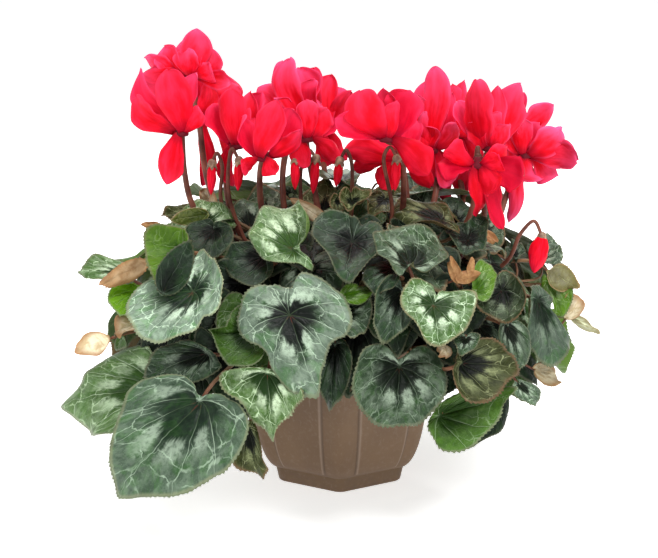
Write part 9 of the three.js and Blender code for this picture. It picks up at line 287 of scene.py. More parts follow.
# Looks of a leaf: silver, dark centre, brown edge, light (yellow-green), olive, dry, vein contrast, brightness (painted
# light and shade; 0.4 for inner leaves darkened to paint shade in the gaps), grey bloom (painted sheen)
LOOK = {
    "fold_leaf_05": [0.0, 0.75, 0.0, 0.0, 0, 0, 0.12, 0.55, 0.1],
    "inner_leaf_01": [0.15, 1.0, 0.02, 0, 0, 0, 0.22, 0.6, 0.06],
    "inner_leaf_02": [0.1, 1.0, 0, 0, 0, 0, 0.1, 0.4, 0.0],
    "inner_leaf_03": [0.1, 1.0, 0, 0, 0, 0, 0.1, 0.4, 0.0],
    "inner_leaf_04": [0.6, 0.9, 0.4, 0, 0.2, 0, 0.7, 0.95, 0.12],
    "inner_leaf_05": [0.1, 1.0, 0, 0, 0, 0, 0.1, 0.4, 0.0],
    "inner_leaf_06": [0.75, 1.0, 0.08, 0.05, 0, 0, 0.65, 0.82, 0.14],
    "inner_leaf_07": [0.3, 0.7, 0.0, 0.35, 0, 0, 0.4, 0.75, 0.0],
    "inner_leaf_08": [0.1, 1.0, 0, 0, 0, 0, 0.1, 0.4, 0.0],
    "inner_leaf_09": [0.75, 1.0, 0.08, 0.05, 0, 0, 0.65, 0.82, 0.14],
    "inner_leaf_10": [0.9, 0.95, 0.0, 0.05, 0.0, 0, 0.85, 0.98, 0.38],
    "inner_leaf_100": [0.1, 1.0, 0, 0, 0, 0, 0.1, 0.4, 0.0],
    "inner_leaf_101": [1.0, 1.0, 0.05, 0.4, 0, 0, 1.0, 1.1, 0.15],
    "inner_leaf_102": [0.75, 1.0, 0.08, 0.05, 0, 0, 0.65, 0.82, 0.14],
    "inner_leaf_104": [0.55, 0.55, 0.0, 0.35, 0, 0, 0.6, 0.95, 0.12],
    "inner_leaf_106": [0.8, 1.0, 0.45, 0.0, 0.85, 0, 0.85, 0.88, 0.0],
    "inner_leaf_11": [0.1, 1.0, 0, 0, 0, 0, 0.1, 0.4, 0.0],
    "inner_leaf_12": [0.15, 1.0, 0.02, 0, 0, 0, 0.22, 0.6, 0.06],
    "inner_leaf_13": [0.15, 1.0, 0.02, 0, 0, 0, 0.22, 0.6, 0.06],
    "inner_leaf_14": [0.75, 1.0, 0.08, 0.05, 0, 0, 0.65, 0.82, 0.14],
    "inner_leaf_15": [0.1, 1.0, 0, 0, 0, 0, 0.1, 0.4, 0.0],
    "inner_leaf_16": [0.8, 1.0, 0.45, 0.0, 0.85, 0, 0.85, 0.88, 0.0],
    "inner_leaf_17": [0.1, 1.0, 0, 0, 0, 0, 0.1, 0.4, 0.0],
    "inner_leaf_18": [0.9, 0.95, 0.0, 0.05, 0.0, 0, 0.85, 0.98, 0.38],
    "inner_leaf_19": [0.3, 0.7, 0.0, 0.35, 0, 0, 0.4, 0.75, 0.0],
    "inner_leaf_20": [0.1, 1.0, 0, 0, 0, 0, 0.1, 0.4, 0.0],
    "inner_leaf_21": [1.0, 1.0, 0.05, 0.4, 0, 0, 1.0, 1.1, 0.15],
    "inner_leaf_22": [0.75, 1.0, 0.08, 0.05, 0, 0, 0.65, 0.82, 0.14],
    "inner_leaf_23": [0.1, 1.0, 0, 0, 0, 0, 0.1, 0.4, 0.0],
    "inner_leaf_24": [0.1, 1.0, 0, 0, 0, 0, 0.1, 0.4, 0.0],
    "inner_leaf_25": [0.75, 1.0, 0.08, 0.05, 0, 0, 0.65, 0.82, 0.14],
    "inner_leaf_26": [0.1, 1.0, 0, 0, 0, 0, 0.1, 0.4, 0.0],
    "inner_leaf_27": [1.0, 1.0, 0.05, 0.12, 0, 0, 0.8, 0.9, 0.2],
    "inner_leaf_28": [0.6, 0.9, 0.4, 0, 0.2, 0, 0.7, 0.95, 0.12],
    "inner_leaf_29": [1.0, 1.0, 0.05, 0.4, 0, 0, 1.0, 1.1, 0.15],
    "inner_leaf_30": [0.1, 1.0, 0, 0, 0, 0, 0.1, 0.4, 0.0],
    "inner_leaf_31": [0.55, 0.55, 0.0, 0.35, 0, 0, 0.6, 0.95, 0.12],
    "inner_leaf_32": [0.8, 1.0, 0.45, 0.0, 0.85, 0, 0.85, 0.88, 0.0],
    "inner_leaf_33": [0.1, 1.0, 0, 0, 0, 0, 0.1, 0.4, 0.0],
    "inner_leaf_34": [0.9, 0.95, 0.0, 0.05, 0.0, 0, 0.85, 0.98, 0.38],
    "inner_leaf_35": [0.1, 1.0, 0, 0, 0, 0, 0.1, 0.4, 0.0],
    "inner_leaf_36": [0.4, 1.0, 0.02, 0, 0, 0, 0.4, 0.68, 0.1],
    "inner_leaf_37": [0.15, 1.0, 0.02, 0, 0, 0, 0.22, 0.6, 0.06],
    "inner_leaf_38": [0.1, 1.0, 0, 0, 0, 0, 0.1, 0.4, 0.0],
    "inner_leaf_39": [0.55, 0.55, 0.0, 0.35, 0, 0, 0.6, 0.95, 0.12],
    "inner_leaf_40": [0.6, 0.9, 0.4, 0, 0.2, 0, 0.7, 0.95, 0.12],
    "inner_leaf_41": [0.75, 1.0, 0.08, 0.05, 0, 0, 0.65, 0.82, 0.14],
    "inner_leaf_42": [0.9, 0.95, 0.0, 0.05, 0.0, 0, 0.85, 0.98, 0.38],
    "inner_leaf_43": [0.3, 0.7, 0.0, 0.35, 0, 0, 0.4, 0.75, 0.0],
    "inner_leaf_44": [0.1, 1.0, 0, 0, 0, 0, 0.1, 0.4, 0.0],
    "inner_leaf_45": [1.0, 1.0, 0.05, 0.4, 0, 0, 1.0, 1.1, 0.15],
    "inner_leaf_46": [0.75, 1.0, 0.08, 0.05, 0, 0, 0.65, 0.82, 0.14],
    "inner_leaf_47": [0.1, 1.0, 0, 0, 0, 0, 0.1, 0.4, 0.0],
    "inner_leaf_48": [0.8, 1.0, 0.45, 0.0, 0.85, 0, 0.85, 0.88, 0.0],
    "inner_leaf_49": [0.15, 1.0, 0.02, 0, 0, 0, 0.22, 0.6, 0.06],
    "inner_leaf_50": [0.9, 0.95, 0.0, 0.05, 0.0, 0, 0.85, 0.98, 0.38],
    "inner_leaf_51": [0.1, 1.0, 0, 0, 0, 0, 0.1, 0.4, 0.0],
    "inner_leaf_52": [0.4, 1.0, 0.02, 0, 0, 0, 0.4, 0.68, 0.1],
    "inner_leaf_53": [0.1, 1.0, 0, 0, 0, 0, 0.1, 0.4, 0.0],
    "inner_leaf_54": [0.1, 1.0, 0, 0, 0, 0, 0.1, 0.4, 0.0],
    "inner_leaf_55": [0.55, 0.55, 0.0, 0.35, 0, 0, 0.6, 0.95, 0.12],
    "inner_leaf_56": [0.4, 1.0, 0.02, 0, 0, 0, 0.4, 0.68, 0.1],
    "inner_leaf_57": [0.75, 1.0, 0.08, 0.05, 0, 0, 0.65, 0.82, 0.14],
    "inner_leaf_58": [0.75, 1.0, 0.08, 0.05, 0, 0, 0.65, 0.82, 0.14],
    "inner_leaf_59": [0.1, 1.0, 0, 0, 0, 0, 0.1, 0.4, 0.0],
    "inner_leaf_60": [0.4, 1.0, 0.02, 0, 0, 0, 0.4, 0.68, 0.1],
    "inner_leaf_61": [0.15, 1.0, 0.02, 0, 0, 0, 0.22, 0.6, 0.06],
    "inner_leaf_62": [0.75, 1.0, 0.08, 0.05, 0, 0, 0.65, 0.82, 0.14],
    "inner_leaf_63": [0.15, 1.0, 0.02, 0, 0, 0, 0.22, 0.6, 0.06],
    "inner_leaf_64": [0.6, 0.9, 0.4, 0, 0.2, 0, 0.7, 0.95, 0.12],
    "inner_leaf_65": [0.1, 1.0, 0, 0, 0, 0, 0.1, 0.4, 0.0],
    "inner_leaf_66": [0.9, 0.95, 0.0, 0.05, 0.0, 0, 0.85, 0.98, 0.38],
    "inner_leaf_67": [0.3, 0.7, 0.0, 0.35, 0, 0, 0.4, 0.75, 0.0],
    "inner_leaf_68": [0.1, 1.0, 0, 0, 0, 0, 0.1, 0.4, 0.0],
    "inner_leaf_69": [1.0, 1.0, 0.05, 0.4, 0, 0, 1.0, 1.1, 0.15],
    "inner_leaf_70": [0.75, 1.0, 0.08, 0.05, 0, 0, 0.65, 0.82, 0.14],
    "inner_leaf_71": [0.55, 0.55, 0.0, 0.35, 0, 0, 0.6, 0.95, 0.12],
    "inner_leaf_72": [0.1, 1.0, 0, 0, 0, 0, 0.1, 0.4, 0.0],
    "inner_leaf_73": [0.75, 1.0, 0.08, 0.05, 0, 0, 0.65, 0.82, 0.14],
    "inner_leaf_75": [0.1, 1.0, 0, 0, 0, 0, 0.1, 0.4, 0.0],
    "inner_leaf_76": [1.0, 1.0, 0.05, 0.12, 0, 0, 0.8, 0.9, 0.2],
    "inner_leaf_77": [0.4, 1.0, 0.02, 0, 0, 0, 0.4, 0.68, 0.1],
    "inner_leaf_78": [1.0, 1.0, 0.05, 0.4, 0, 0, 1.0, 1.1, 0.15],
    "inner_leaf_79": [0.1, 1.0, 0, 0, 0, 0, 0.1, 0.4, 0.0],
    "inner_leaf_80": [0.3, 0.7, 0.0, 0.35, 0, 0, 0.4, 0.75, 0.0],
    "inner_leaf_81": [0.8, 1.0, 0.45, 0.0, 0.85, 0, 0.85, 0.88, 0.0],
    "inner_leaf_83": [0.75, 1.0, 0.08, 0.05, 0, 0, 0.65, 0.82, 0.14],
    "inner_leaf_85": [0.9, 0.95, 0.0, 0.05, 0.0, 0, 0.85, 0.98, 0.38],
    "inner_leaf_88": [0.1, 1.0, 0, 0, 0, 0, 0.1, 0.4, 0.0],
    "inner_leaf_89": [0.1, 1.0, 0, 0, 0, 0, 0.1, 0.4, 0.0],
    "inner_leaf_90": [1.0, 1.0, 0.05, 0.4, 0, 0, 1.0, 1.1, 0.15],
    "inner_leaf_92": [0.75, 1.0, 0.08, 0.05, 0, 0, 0.65, 0.82, 0.14],
    "inner_leaf_94": [0.55, 0.55, 0.0, 0.35, 0, 0, 0.6, 0.95, 0.12],
    "inner_leaf_96": [0.6, 0.9, 0.4, 0, 0.2, 0, 0.7, 0.95, 0.12],
    "inner_leaf_97": [0.75, 1.0, 0.08, 0.05, 0, 0, 0.65, 0.82, 0.14],
    "inner_leaf_98": [0.9, 0.95, 0.0, 0.05, 0.0, 0, 0.85, 0.98, 0.38],
    "inner_leaf_99": [1.0, 1.0, 0.05, 0.12, 0, 0, 0.8, 0.9, 0.2],
    "inner_leaf_m01": [0.1, 1.0, 0, 0, 0, 0, 0.1, 0.4, 0.0],
    "inner_leaf_m02": [0.1, 1.0, 0, 0, 0, 0, 0.1, 0.4, 0.0],
    "inner_leaf_m03": [0.1, 1.0, 0, 0, 0, 0, 0.1, 0.4, 0.0],
    "inner_leaf_m04": [0.1, 1.0, 0, 0, 0, 0, 0.1, 0.4, 0.0],
    "inner_leaf_m05": [0.1, 1.0, 0, 0, 0, 0, 0.1, 0.4, 0.0],
    "inner_leaf_m06": [0.1, 1.0, 0, 0, 0, 0, 0.1, 0.4, 0.0],
    "inner_leaf_m07": [0.3, 0.7, 0.0, 0.35, 0, 0, 0.4, 0.75, 0.0],
    "inner_leaf_m08": [0.1, 1.0, 0, 0, 0, 0, 0.1, 0.4, 0.0],
    "inner_leaf_m09": [0.1, 1.0, 0, 0, 0, 0, 0.1, 0.4, 0.0],
    "inner_leaf_m10": [0.1, 1.0, 0, 0, 0, 0, 0.1, 0.4, 0.0],
    "inner_leaf_m11": [0.1, 1.0, 0, 0, 0, 0, 0.1, 0.4, 0.0],
    "inner_leaf_m12": [0.1, 1.0, 0, 0, 0, 0, 0.1, 0.4, 0.0],
    "inner_leaf_m13": [0.1, 1.0, 0, 0, 0, 0, 0.1, 0.4, 0.0],
    "inner_leaf_m14": [0.1, 1.0, 0, 0, 0, 0, 0.1, 0.4, 0.0],
    "inner_leaf_s1": [0.9, 0.95, 0.0, 0.05, 0.0, 0, 0.85, 0.98, 0.38],
    "inner_leaf_s2": [0.75, 1.0, 0.08, 0.05, 0, 0, 0.65, 0.82, 0.14],
    "inner_leaf_s3": [0.4, 1.0, 0.02, 0, 0, 0, 0.4, 0.68, 0.1],
    "inner_leaf_s4": [0.55, 0.55, 0.0, 0.35, 0, 0, 0.6, 0.95, 0.12],
    "inner_leaf_s5": [1.0, 1.0, 0.05, 0.12, 0, 0, 0.8, 0.9, 0.2],
    "inner_leaf_s6": [0.4, 1.0, 0.02, 0, 0, 0, 0.4, 0.68, 0.1],
    "inner_leaf_s7": [0.75, 1.0, 0.08, 0.05, 0, 0, 0.65, 0.82, 0.14],
    "inner_leaf_t1": [0.6, 0.9, 0.4, 0, 0.2, 0, 0.7, 0.95, 0.12],
    "inner_leaf_t11": [0.75, 1.0, 0.08, 0.05, 0, 0, 0.65, 0.82, 0.14],
    "inner_leaf_t12": [0.6, 0.9, 0.4, 0, 0.2, 0, 0.7, 0.95, 0.12],
    "inner_leaf_t2": [0.8, 1.0, 0.45, 0.0, 0.85, 0, 0.85, 0.88, 0.0],
    "inner_leaf_t3": [0.3, 0.7, 0.0, 0.35, 0, 0, 0.4, 0.75, 0.0],
    "inner_leaf_t4": [0.8, 1.0, 0.45, 0.0, 0.85, 0, 0.85, 0.88, 0.0],
    "inner_leaf_t5": [0.6, 0.9, 0.4, 0, 0.2, 0, 0.7, 0.95, 0.12],
    "inner_leaf_t6": [0.8, 1.0, 0.45, 0.0, 0.85, 0, 0.85, 0.88, 0.0],
    "inner_leaf_t7": [0.4, 1.0, 0.02, 0, 0, 0, 0.4, 0.68, 0.1],
    "inner_leaf_t8": [0.55, 0.55, 0.0, 0.35, 0, 0, 0.6, 0.95, 0.12],
    "inner_leaf_t9": [1.0, 1.0, 0.05, 0.4, 0, 0, 1.0, 1.1, 0.15],
    "leaf_01": [0.44, 0.36, 0.0, 0.0, 0.0, 0, 0.42, 1.24, 0.26],
    "leaf_02": [0.9, 1.0, 0.0, 0.0, 0, 0, 0.8, 1.02, 0.7],
    "leaf_03": [1.0, 0.75, 0.15, 0.26, 0, 0, 1.0, 1.26, 0.05],
    "leaf_04": [0.1, 0.25, 0.1, 0.9, 0.15, 0, 0.18, 0.9, 0.0],
    "leaf_05": [0.8, 0.52, 0.0, 0.0, 0, 0, 0.76, 1.68, 0.72],
    "leaf_06": [0.8, 1.0, 0.45, 0.0, 0.85, 0, 0.85, 0.66, 0.0],
    "leaf_07": [0.06, 0.6, 0.0, 0.4, 0, 0, 0.22, 0.72, 0.0],
    "leaf_08": [1.0, 1.0, 0.05, 0.4, 0, 0, 1.0, 1.21, 0.15],
    "leaf_09": [1.0, 1.0, 0.05, 0.12, 0, 0, 0.8, 0.65, 0.2],
    "leaf_10": [1.0, 0.5, 0.0, 0.4, 0, 0, 1.0, 1.15, 0.3],
    "leaf_11": [0.1, 1.0, 0.0, 0.0, 0, 0, 0.3, 0.62, 0.3],
    "leaf_12": [0.6, 1.0, 0.45, 0, 0.35, 0, 0.6, 0.75, 0.05],
    "leaf_13": [0.35, 1.0, 0.02, 0, 0, 0, 0.4, 0.81, 0.1],
    "leaf_14": [0.75, 1.0, 0.0, 0.05, 0, 0, 0.4, 0.76, 0.1],
    "leaf_15": [0.75, 1.0, 0.08, 0.05, 0, 0, 0.65, 0.82, 0.14],
    "leaf_16": [0.8, 1.0, 0.45, 0.0, 0.85, 0, 0.85, 0.7, 0.0],
    "leaf_17": [0.4, 1.0, 0.02, 0, 0, 0, 0.4, 0.68, 0.1],
    "leaf_18": [0.4, 1.0, 0.02, 0, 0, 0, 0.4, 0.92, 0.1],
    "leaf_19": [1.0, 1.0, 0.05, 0.4, 0, 0, 1.0, 1.1, 0.15],
    "leaf_20": [0.55, 0.55, 0.0, 0.35, 0, 0, 0.6, 1.23, 0.12],
    "leaf_21": [0.8, 1.0, 0.45, 0.0, 0.85, 0, 0.85, 0.88, 0.0],
    "leaf_22": [0.15, 1.0, 0.02, 0, 0, 0, 0.22, 0.6, 0.06],
    "leaf_23": [0.15, 1.0, 0.02, 0, 0, 0, 0.22, 0.6, 0.06],
    "leaf_24": [0.75, 1.0, 0.0, 0.05, 0, 0, 0.4, 0.76, 0.1],
    "leaf_25": [0.06, 0.6, 0.0, 0.4, 0, 0, 0.22, 1.08, 0.0],
    "leaf_26": [0.3, 0.45, 0, 0.0, 0, 0, 0.22, 0.9, 0.45],
    "leaf_27": [0.75, 1.0, 0.08, 0.05, 0, 0, 0.65, 0.82, 0.14],
    "leaf_28": [0.9, 0.95, 0.0, 0.05, 0.0, 0, 0.85, 0.98, 0.38],
    "leaf_29": [1.0, 1.0, 0.05, 0.12, 0, 0, 0.8, 0.9, 0.2],
    "leaf_30": [1.0, 1.0, 0.05, 0.4, 0, 0, 1.0, 1.1, 0.15],
    "leaf_31": [0.9, 0.95, 0.0, 0.05, 0.0, 0, 0.85, 0.98, 0.38],
    "leaf_32": [0.1, 0.25, 0.1, 0.9, 0.15, 0, 0.18, 0.75, 0.0],
    "leaf_33": [0.9, 0.95, 0.0, 0.05, 0.0, 0, 0.85, 0.98, 0.38],
    "leaf_34": [1.0, 0.5, 0.0, 0.4, 0, 0, 1.0, 1.15, 0.3],
    "leaf_35": [0.1, 0.25, 0.1, 0.9, 0.15, 0, 0.18, 0.98, 0.0],
    "leaf_36": [1.0, 1.0, 0.05, 0.12, 0, 0, 0.8, 0.9, 0.2],
    "leaf_37": [0.1, 0.25, 0.1, 0.9, 0.15, 0, 0.18, 0.75, 0.0],
    "leaf_38": [0.75, 1.0, 0.08, 0.05, 0, 0, 0.65, 0.82, 0.14],
    "leaf_39": [0.9, 0.95, 0.0, 0.05, 0.0, 0, 0.85, 0.98, 0.38],
    "leaf_40": [1.0, 1.0, 0.05, 0.4, 0, 0, 1.0, 1.1, 0.15],
    "leaf_41": [0.8, 1.0, 0.45, 0.0, 0.85, 0, 0.85, 0.88, 0.0],
    "small_leaf_01": [0.75, 1.0, 0.08, 0.05, 0, 0, 0.65, 0.82, 0.14],
    "small_leaf_02": [0.1, 0, 0.3, 0, 0.4, 1.0, 0.5, 0.95, 0.0],
    "small_leaf_03": [0.1, 0, 0.3, 0, 0.4, 1.0, 0.5, 0.95, 0.0],
    "small_leaf_04": [0.3, 0.25, 0, 0.9, 0, 0, 0.4, 0.95, 0.0],
    "small_leaf_05": [0.4, 1.0, 0.02, 0, 0, 0, 0.4, 0.68, 0.1],
    "small_leaf_06": [0.3, 0.25, 0, 0.9, 0, 0, 0.4, 0.95, 0.0],
    "small_leaf_07": [0, 0, 0, 1.0, 0, 0, 0.12, 1.5, 0],
    "small_leaf_08": [0.1, 0, 0.3, 0, 0.4, 1.0, 0.5, 0.95, 0.0],
    "small_leaf_09": [0.1, 0, 0.3, 0, 0.4, 1.0, 0.5, 0.95, 0.0],
    "small_leaf_10": [0.8, 1.0, 0.45, 0.0, 0.85, 0, 0.85, 0.88, 0.0],
    "small_leaf_11": [0.8, 1.0, 0.45, 0.0, 0.85, 0, 0.85, 0.88, 0.0],
    "small_leaf_12": [0.75, 1.0, 0.08, 0.05, 0, 0, 0.65, 0.82, 0.14],
    "small_leaf_13": [0.15, 1.0, 0.02, 0, 0, 0, 0.22, 0.6, 0.06],
    "small_leaf_14": [0.3, 0.25, 0, 0.9, 0, 0, 0.4, 0.95, 0.0],
    "small_leaf_15": [0.1, 0, 0.3, 0, 0.4, 1.0, 0.5, 0.95, 0.0],
    "small_leaf_16": [0, 0, 0.95, 0, 0.3, 1.0, 0.4, 0.8, 0],
    "small_leaf_17": [0.9, 0.95, 0.0, 0.05, 0.0, 0, 0.85, 0.98, 0.38],
    "small_leaf_18": [0, 0, 0.4, 0, 0.9, 0.62, 0.3, 0.9, 0],
    "small_leaf_19": [0.4, 1.0, 0.02, 0, 0, 0, 0.4, 0.68, 0.1],
    "small_leaf_20": [0.9, 0.95, 0.0, 0.05, 0.0, 0, 0.85, 0.98, 0.38],
    "small_leaf_21": [0.1, 0, 0.3, 0, 0.4, 1.0, 0.5, 0.95, 0.0],
    "small_leaf_22": [0.3, 0.25, 0, 0.9, 0, 0, 0.4, 0.95, 0.0],
    "small_leaf_23": [0.1, 0, 0.3, 0, 0.4, 1.0, 0.5, 0.95, 0.0],
    "small_leaf_24": [1.0, 0, 0, 0.3, 0, 0.35, 0.2, 1.5, 0.5],
    "small_leaf_25": [0.8, 1.0, 0.45, 0.0, 0.85, 0, 0.85, 0.88, 0.0],
    "small_leaf_26": [0.8, 1.0, 0.45, 0.0, 0.85, 0, 0.85, 0.88, 0.0],
    "small_leaf_27": [0.9, 0.95, 0.0, 0.05, 0.0, 0, 0.85, 0.98, 0.38],
    "small_leaf_28": [0.4, 1.0, 0.02, 0, 0, 0, 0.4, 0.68, 0.1],
    "small_leaf_29": [0.75, 1.0, 0.08, 0.05, 0, 0, 0.65, 0.82, 0.14],
    "small_leaf_30": [0.75, 1.0, 0.08, 0.05, 0, 0, 0.65, 0.82, 0.14],
    "small_leaf_31": [0.75, 1.0, 0.08, 0.05, 0, 0, 0.65, 0.82, 0.14],
    "small_leaf_32": [0.3, 0.25, 0, 0.9, 0, 0, 0.4, 0.95, 0.0],
    "small_leaf_33": [0.1, 0, 0.3, 0, 0.4, 1.0, 0.5, 0.95, 0.0],
    "small_leaf_34": [0.75, 1.0, 0.08, 0.05, 0, 0, 0.65, 0.82, 0.14],
    "small_leaf_35": [0.9, 0.95, 0.0, 0.05, 0.0, 0, 0.85, 0.98, 0.38],
    "small_leaf_36": [0.75, 1.0, 0.08, 0.05, 0, 0, 0.65, 0.82, 0.14],
    "small_leaf_t10": [0.1, 0, 0.3, 0, 0.4, 1.0, 0.5, 0.95, 0.0],
    "small_leaf_t13": [0, 0, 0.8, 0, 0.6, 0.8, 0.3, 0.95, 0],
    "small_leaf_t14": [0, 0, 0.0, 0, 0.3, 1.0, 0.3, 1.25, 0],
    "small_leaf_t15": [0, 0, 0.95, 0, 0.3, 1.0, 0.4, 0.8, 0],
    "small_leaf_t16": [0, 0, 0.95, 0, 0.3, 1.0, 0.4, 0.8, 0],
    "small_leaf_t17": [0, 0, 0.95, 0, 0.3, 1.0, 0.4, 0.8, 0],
    "small_leaf_t18": [0, 0, 0.35, 0, 1.0, 0.1, 0.12, 1.75, 0],
    "small_leaf_t19": [0, 0, 0.25, 0.5, 0.85, 0.0, 0.15, 1.55, 0],
    "small_leaf_t20": [0, 0, 0.95, 0, 0.3, 1.0, 0.4, 0.8, 0],
    "small_leaf_t21": [0, 0, 0.55, 0, 0.6, 0.85, 0.3, 0.62, 0],
}

MM = 0.001
FRONT = np.array([0, -0.97, 0.243])
POT_PROFILE = [(59, 0), (62, 12.6), (64.6, 13.8), (71.2, 21.6), (76.4, 33.5), (80, 48), (83.8, 72), (87, 108), (87.4, 114), (92.6, 115), (93.2, 125)]
TUBER = dict(r=29, h=15, z=112)


def unit(v):
    v = np.asarray(v, float)
    return v / np.maximum(np.linalg.norm(v, axis=-1, keepdims=True), 1e-9)


def smooth(a, b, x):
    t = np.clip((x - a) / (b - a), 0, 1)
    return t * t * (3 - 2 * t)


# ---------------------------------------------------------------- mesh helper
def piece(name, verts, faces, materials, attrs=None, slots=None, replaces=(), flat=False, body="root"):
    """A mesh object in metres from points in millimetres, riding on the plant's body."""
    me = bpy.data.meshes.new(name)
    v = np.asarray(verts, float) * MM
    sizes = np.array([len(f) for f in faces], dtype=np.int32)
    loops = np.fromiter((i for f in faces for i in f), dtype=np.int32, count=int(sizes.sum()))
    me.vertices.add(len(v))
    me.vertices.foreach_set("co", v.ravel().astype(np.float32))
    me.loops.add(len(loops))
    me.loops.foreach_set("vertex_index", loops)
    me.polygons.add(len(sizes))
    me.polygons.foreach_set("loop_start", np.r_[0, np.cumsum(sizes)[:-1]].astype(np.int32))
    me.polygons.foreach_set("loop_total", sizes)
    me.update(calc_edges=True)
    me.validate(clean_customdata=False)
    me.polygons.foreach_set("use_smooth", np.full(len(me.polygons), not flat))
    for m in materials:
        me.materials.append(m)
    if slots is not None:
        me.polygons.foreach_set("material_index", np.asarray(slots, dtype=np.int32))
    for key, val in (attrs or {}).items():
        val = np.asarray(val, float)
        kind = "FLOAT" if val.ndim == 1 else ("FLOAT_VECTOR" if val.shape[1] == 3 else "FLOAT_COLOR")
        a = me.attributes.new(key, kind, "POINT")
        if kind == "FLOAT":
            a.data.foreach_set("value", val.astype(np.float32))
        elif kind == "FLOAT_VECTOR":
            a.data.foreach_set("vector", val.ravel().astype(np.float32))
        else:
            a.data.foreach_set("color", val.ravel().astype(np.float32))
    me.update()
    ob = bpy.data.objects.new(name, me)
    bpy.context.scene.collection.objects.link(ob)
    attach(ob, body)
    if replaces:
        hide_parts(*replaces)
    return ob


def tube(path, radius, sides=10, cap=True, squash=1.0, twist=0.0):
    """Points and faces of a tube along a polyline; radius is a number or one per point."""
    p = np.asarray(path, float)
    r = np.broadcast_to(np.asarray(radius, float), (len(p),))
    t = unit(np.gradient(p, axis=0))
    u = unit(np.cross(t[0], [0.3, 0.9, 0.1] if abs(t[0][1]) < 0.9 else [1, 0, 0]))
    us = [u]
    for i in range(1, len(p)):
        u = us[-1] - t[i] * (us[-1] @ t[i])
        us.append(unit(u))
    us = np.array(us)
    ws = np.cross(t, us)
    a = np.arange(sides) * 2 * math.pi / sides
    v = p[:, None] + r[:, None, None] * (us[:, None] * np.cos(a)[None, :, None] + ws[:, None] * np.sin(a)[None, :, None] * squash)
    n = len(p)
    faces = [
        (i * sides + j, i * sides + (j + 1) % sides, (i + 1) * sides + (j + 1) % sides, (i + 1) * sides + j)
        for i in range(n - 1)
        for j in range(sides)
    ]
    if cap:
        faces.append(tuple(range(sides))[::-1])
        faces.append(tuple((n - 1) * sides + j for j in range(sides)))
    return v.reshape(-1, 3), faces


def curve(points, per=8):
    """Catmull-Rom through the points (centripetal-like, uniform per segment)."""
    P = np.asarray(points, float)
    Q = np.vstack([2 * P[0] - P[1], P, 2 * P[-1] - P[-2]])
    out = []
    for i in range(1, len(Q) - 2):
        p0, p1, p2, p3 = Q[i - 1 : i + 3]
        d1 = max(np.linalg.norm(p1 - p0) ** 0.5, 1e-3)
        d2 = max(np.linalg.norm(p2 - p1) ** 0.5, 1e-3)
        d3 = max(np.linalg.norm(p3 - p2) ** 0.5, 1e-3)
        m1 = (p1 - p0) / d1 - (p2 - p0) / (d1 + d2) + (p2 - p1) / d2
        m2 = (p2 - p1) / d2 - (p3 - p1) / (d2 + d3) + (p3 - p2) / d3
        m1, m2 = m1 * d2, m2 * d2
        for s in np.arange(per) / per:
            h = 2 * s**3 - 3 * s**2 + 1, s**3 - 2 * s**2 + s, -2 * s**3 + 3 * s**2, s**3 - s**2
            out.append(h[0] * p1 + h[1] * m1 + h[2] * p2 + h[3] * m2)
    out.append(P[-1])
    return np.array(out)


def merge(parts):
    """One list of points and faces from several."""
    vs, fs, n = [], [], 0
    for v, f in parts:
        vs.append(v)
        fs += [tuple(i + n for i in q) for q in f]
        n += len(v)
    return np.vstack(vs), fs


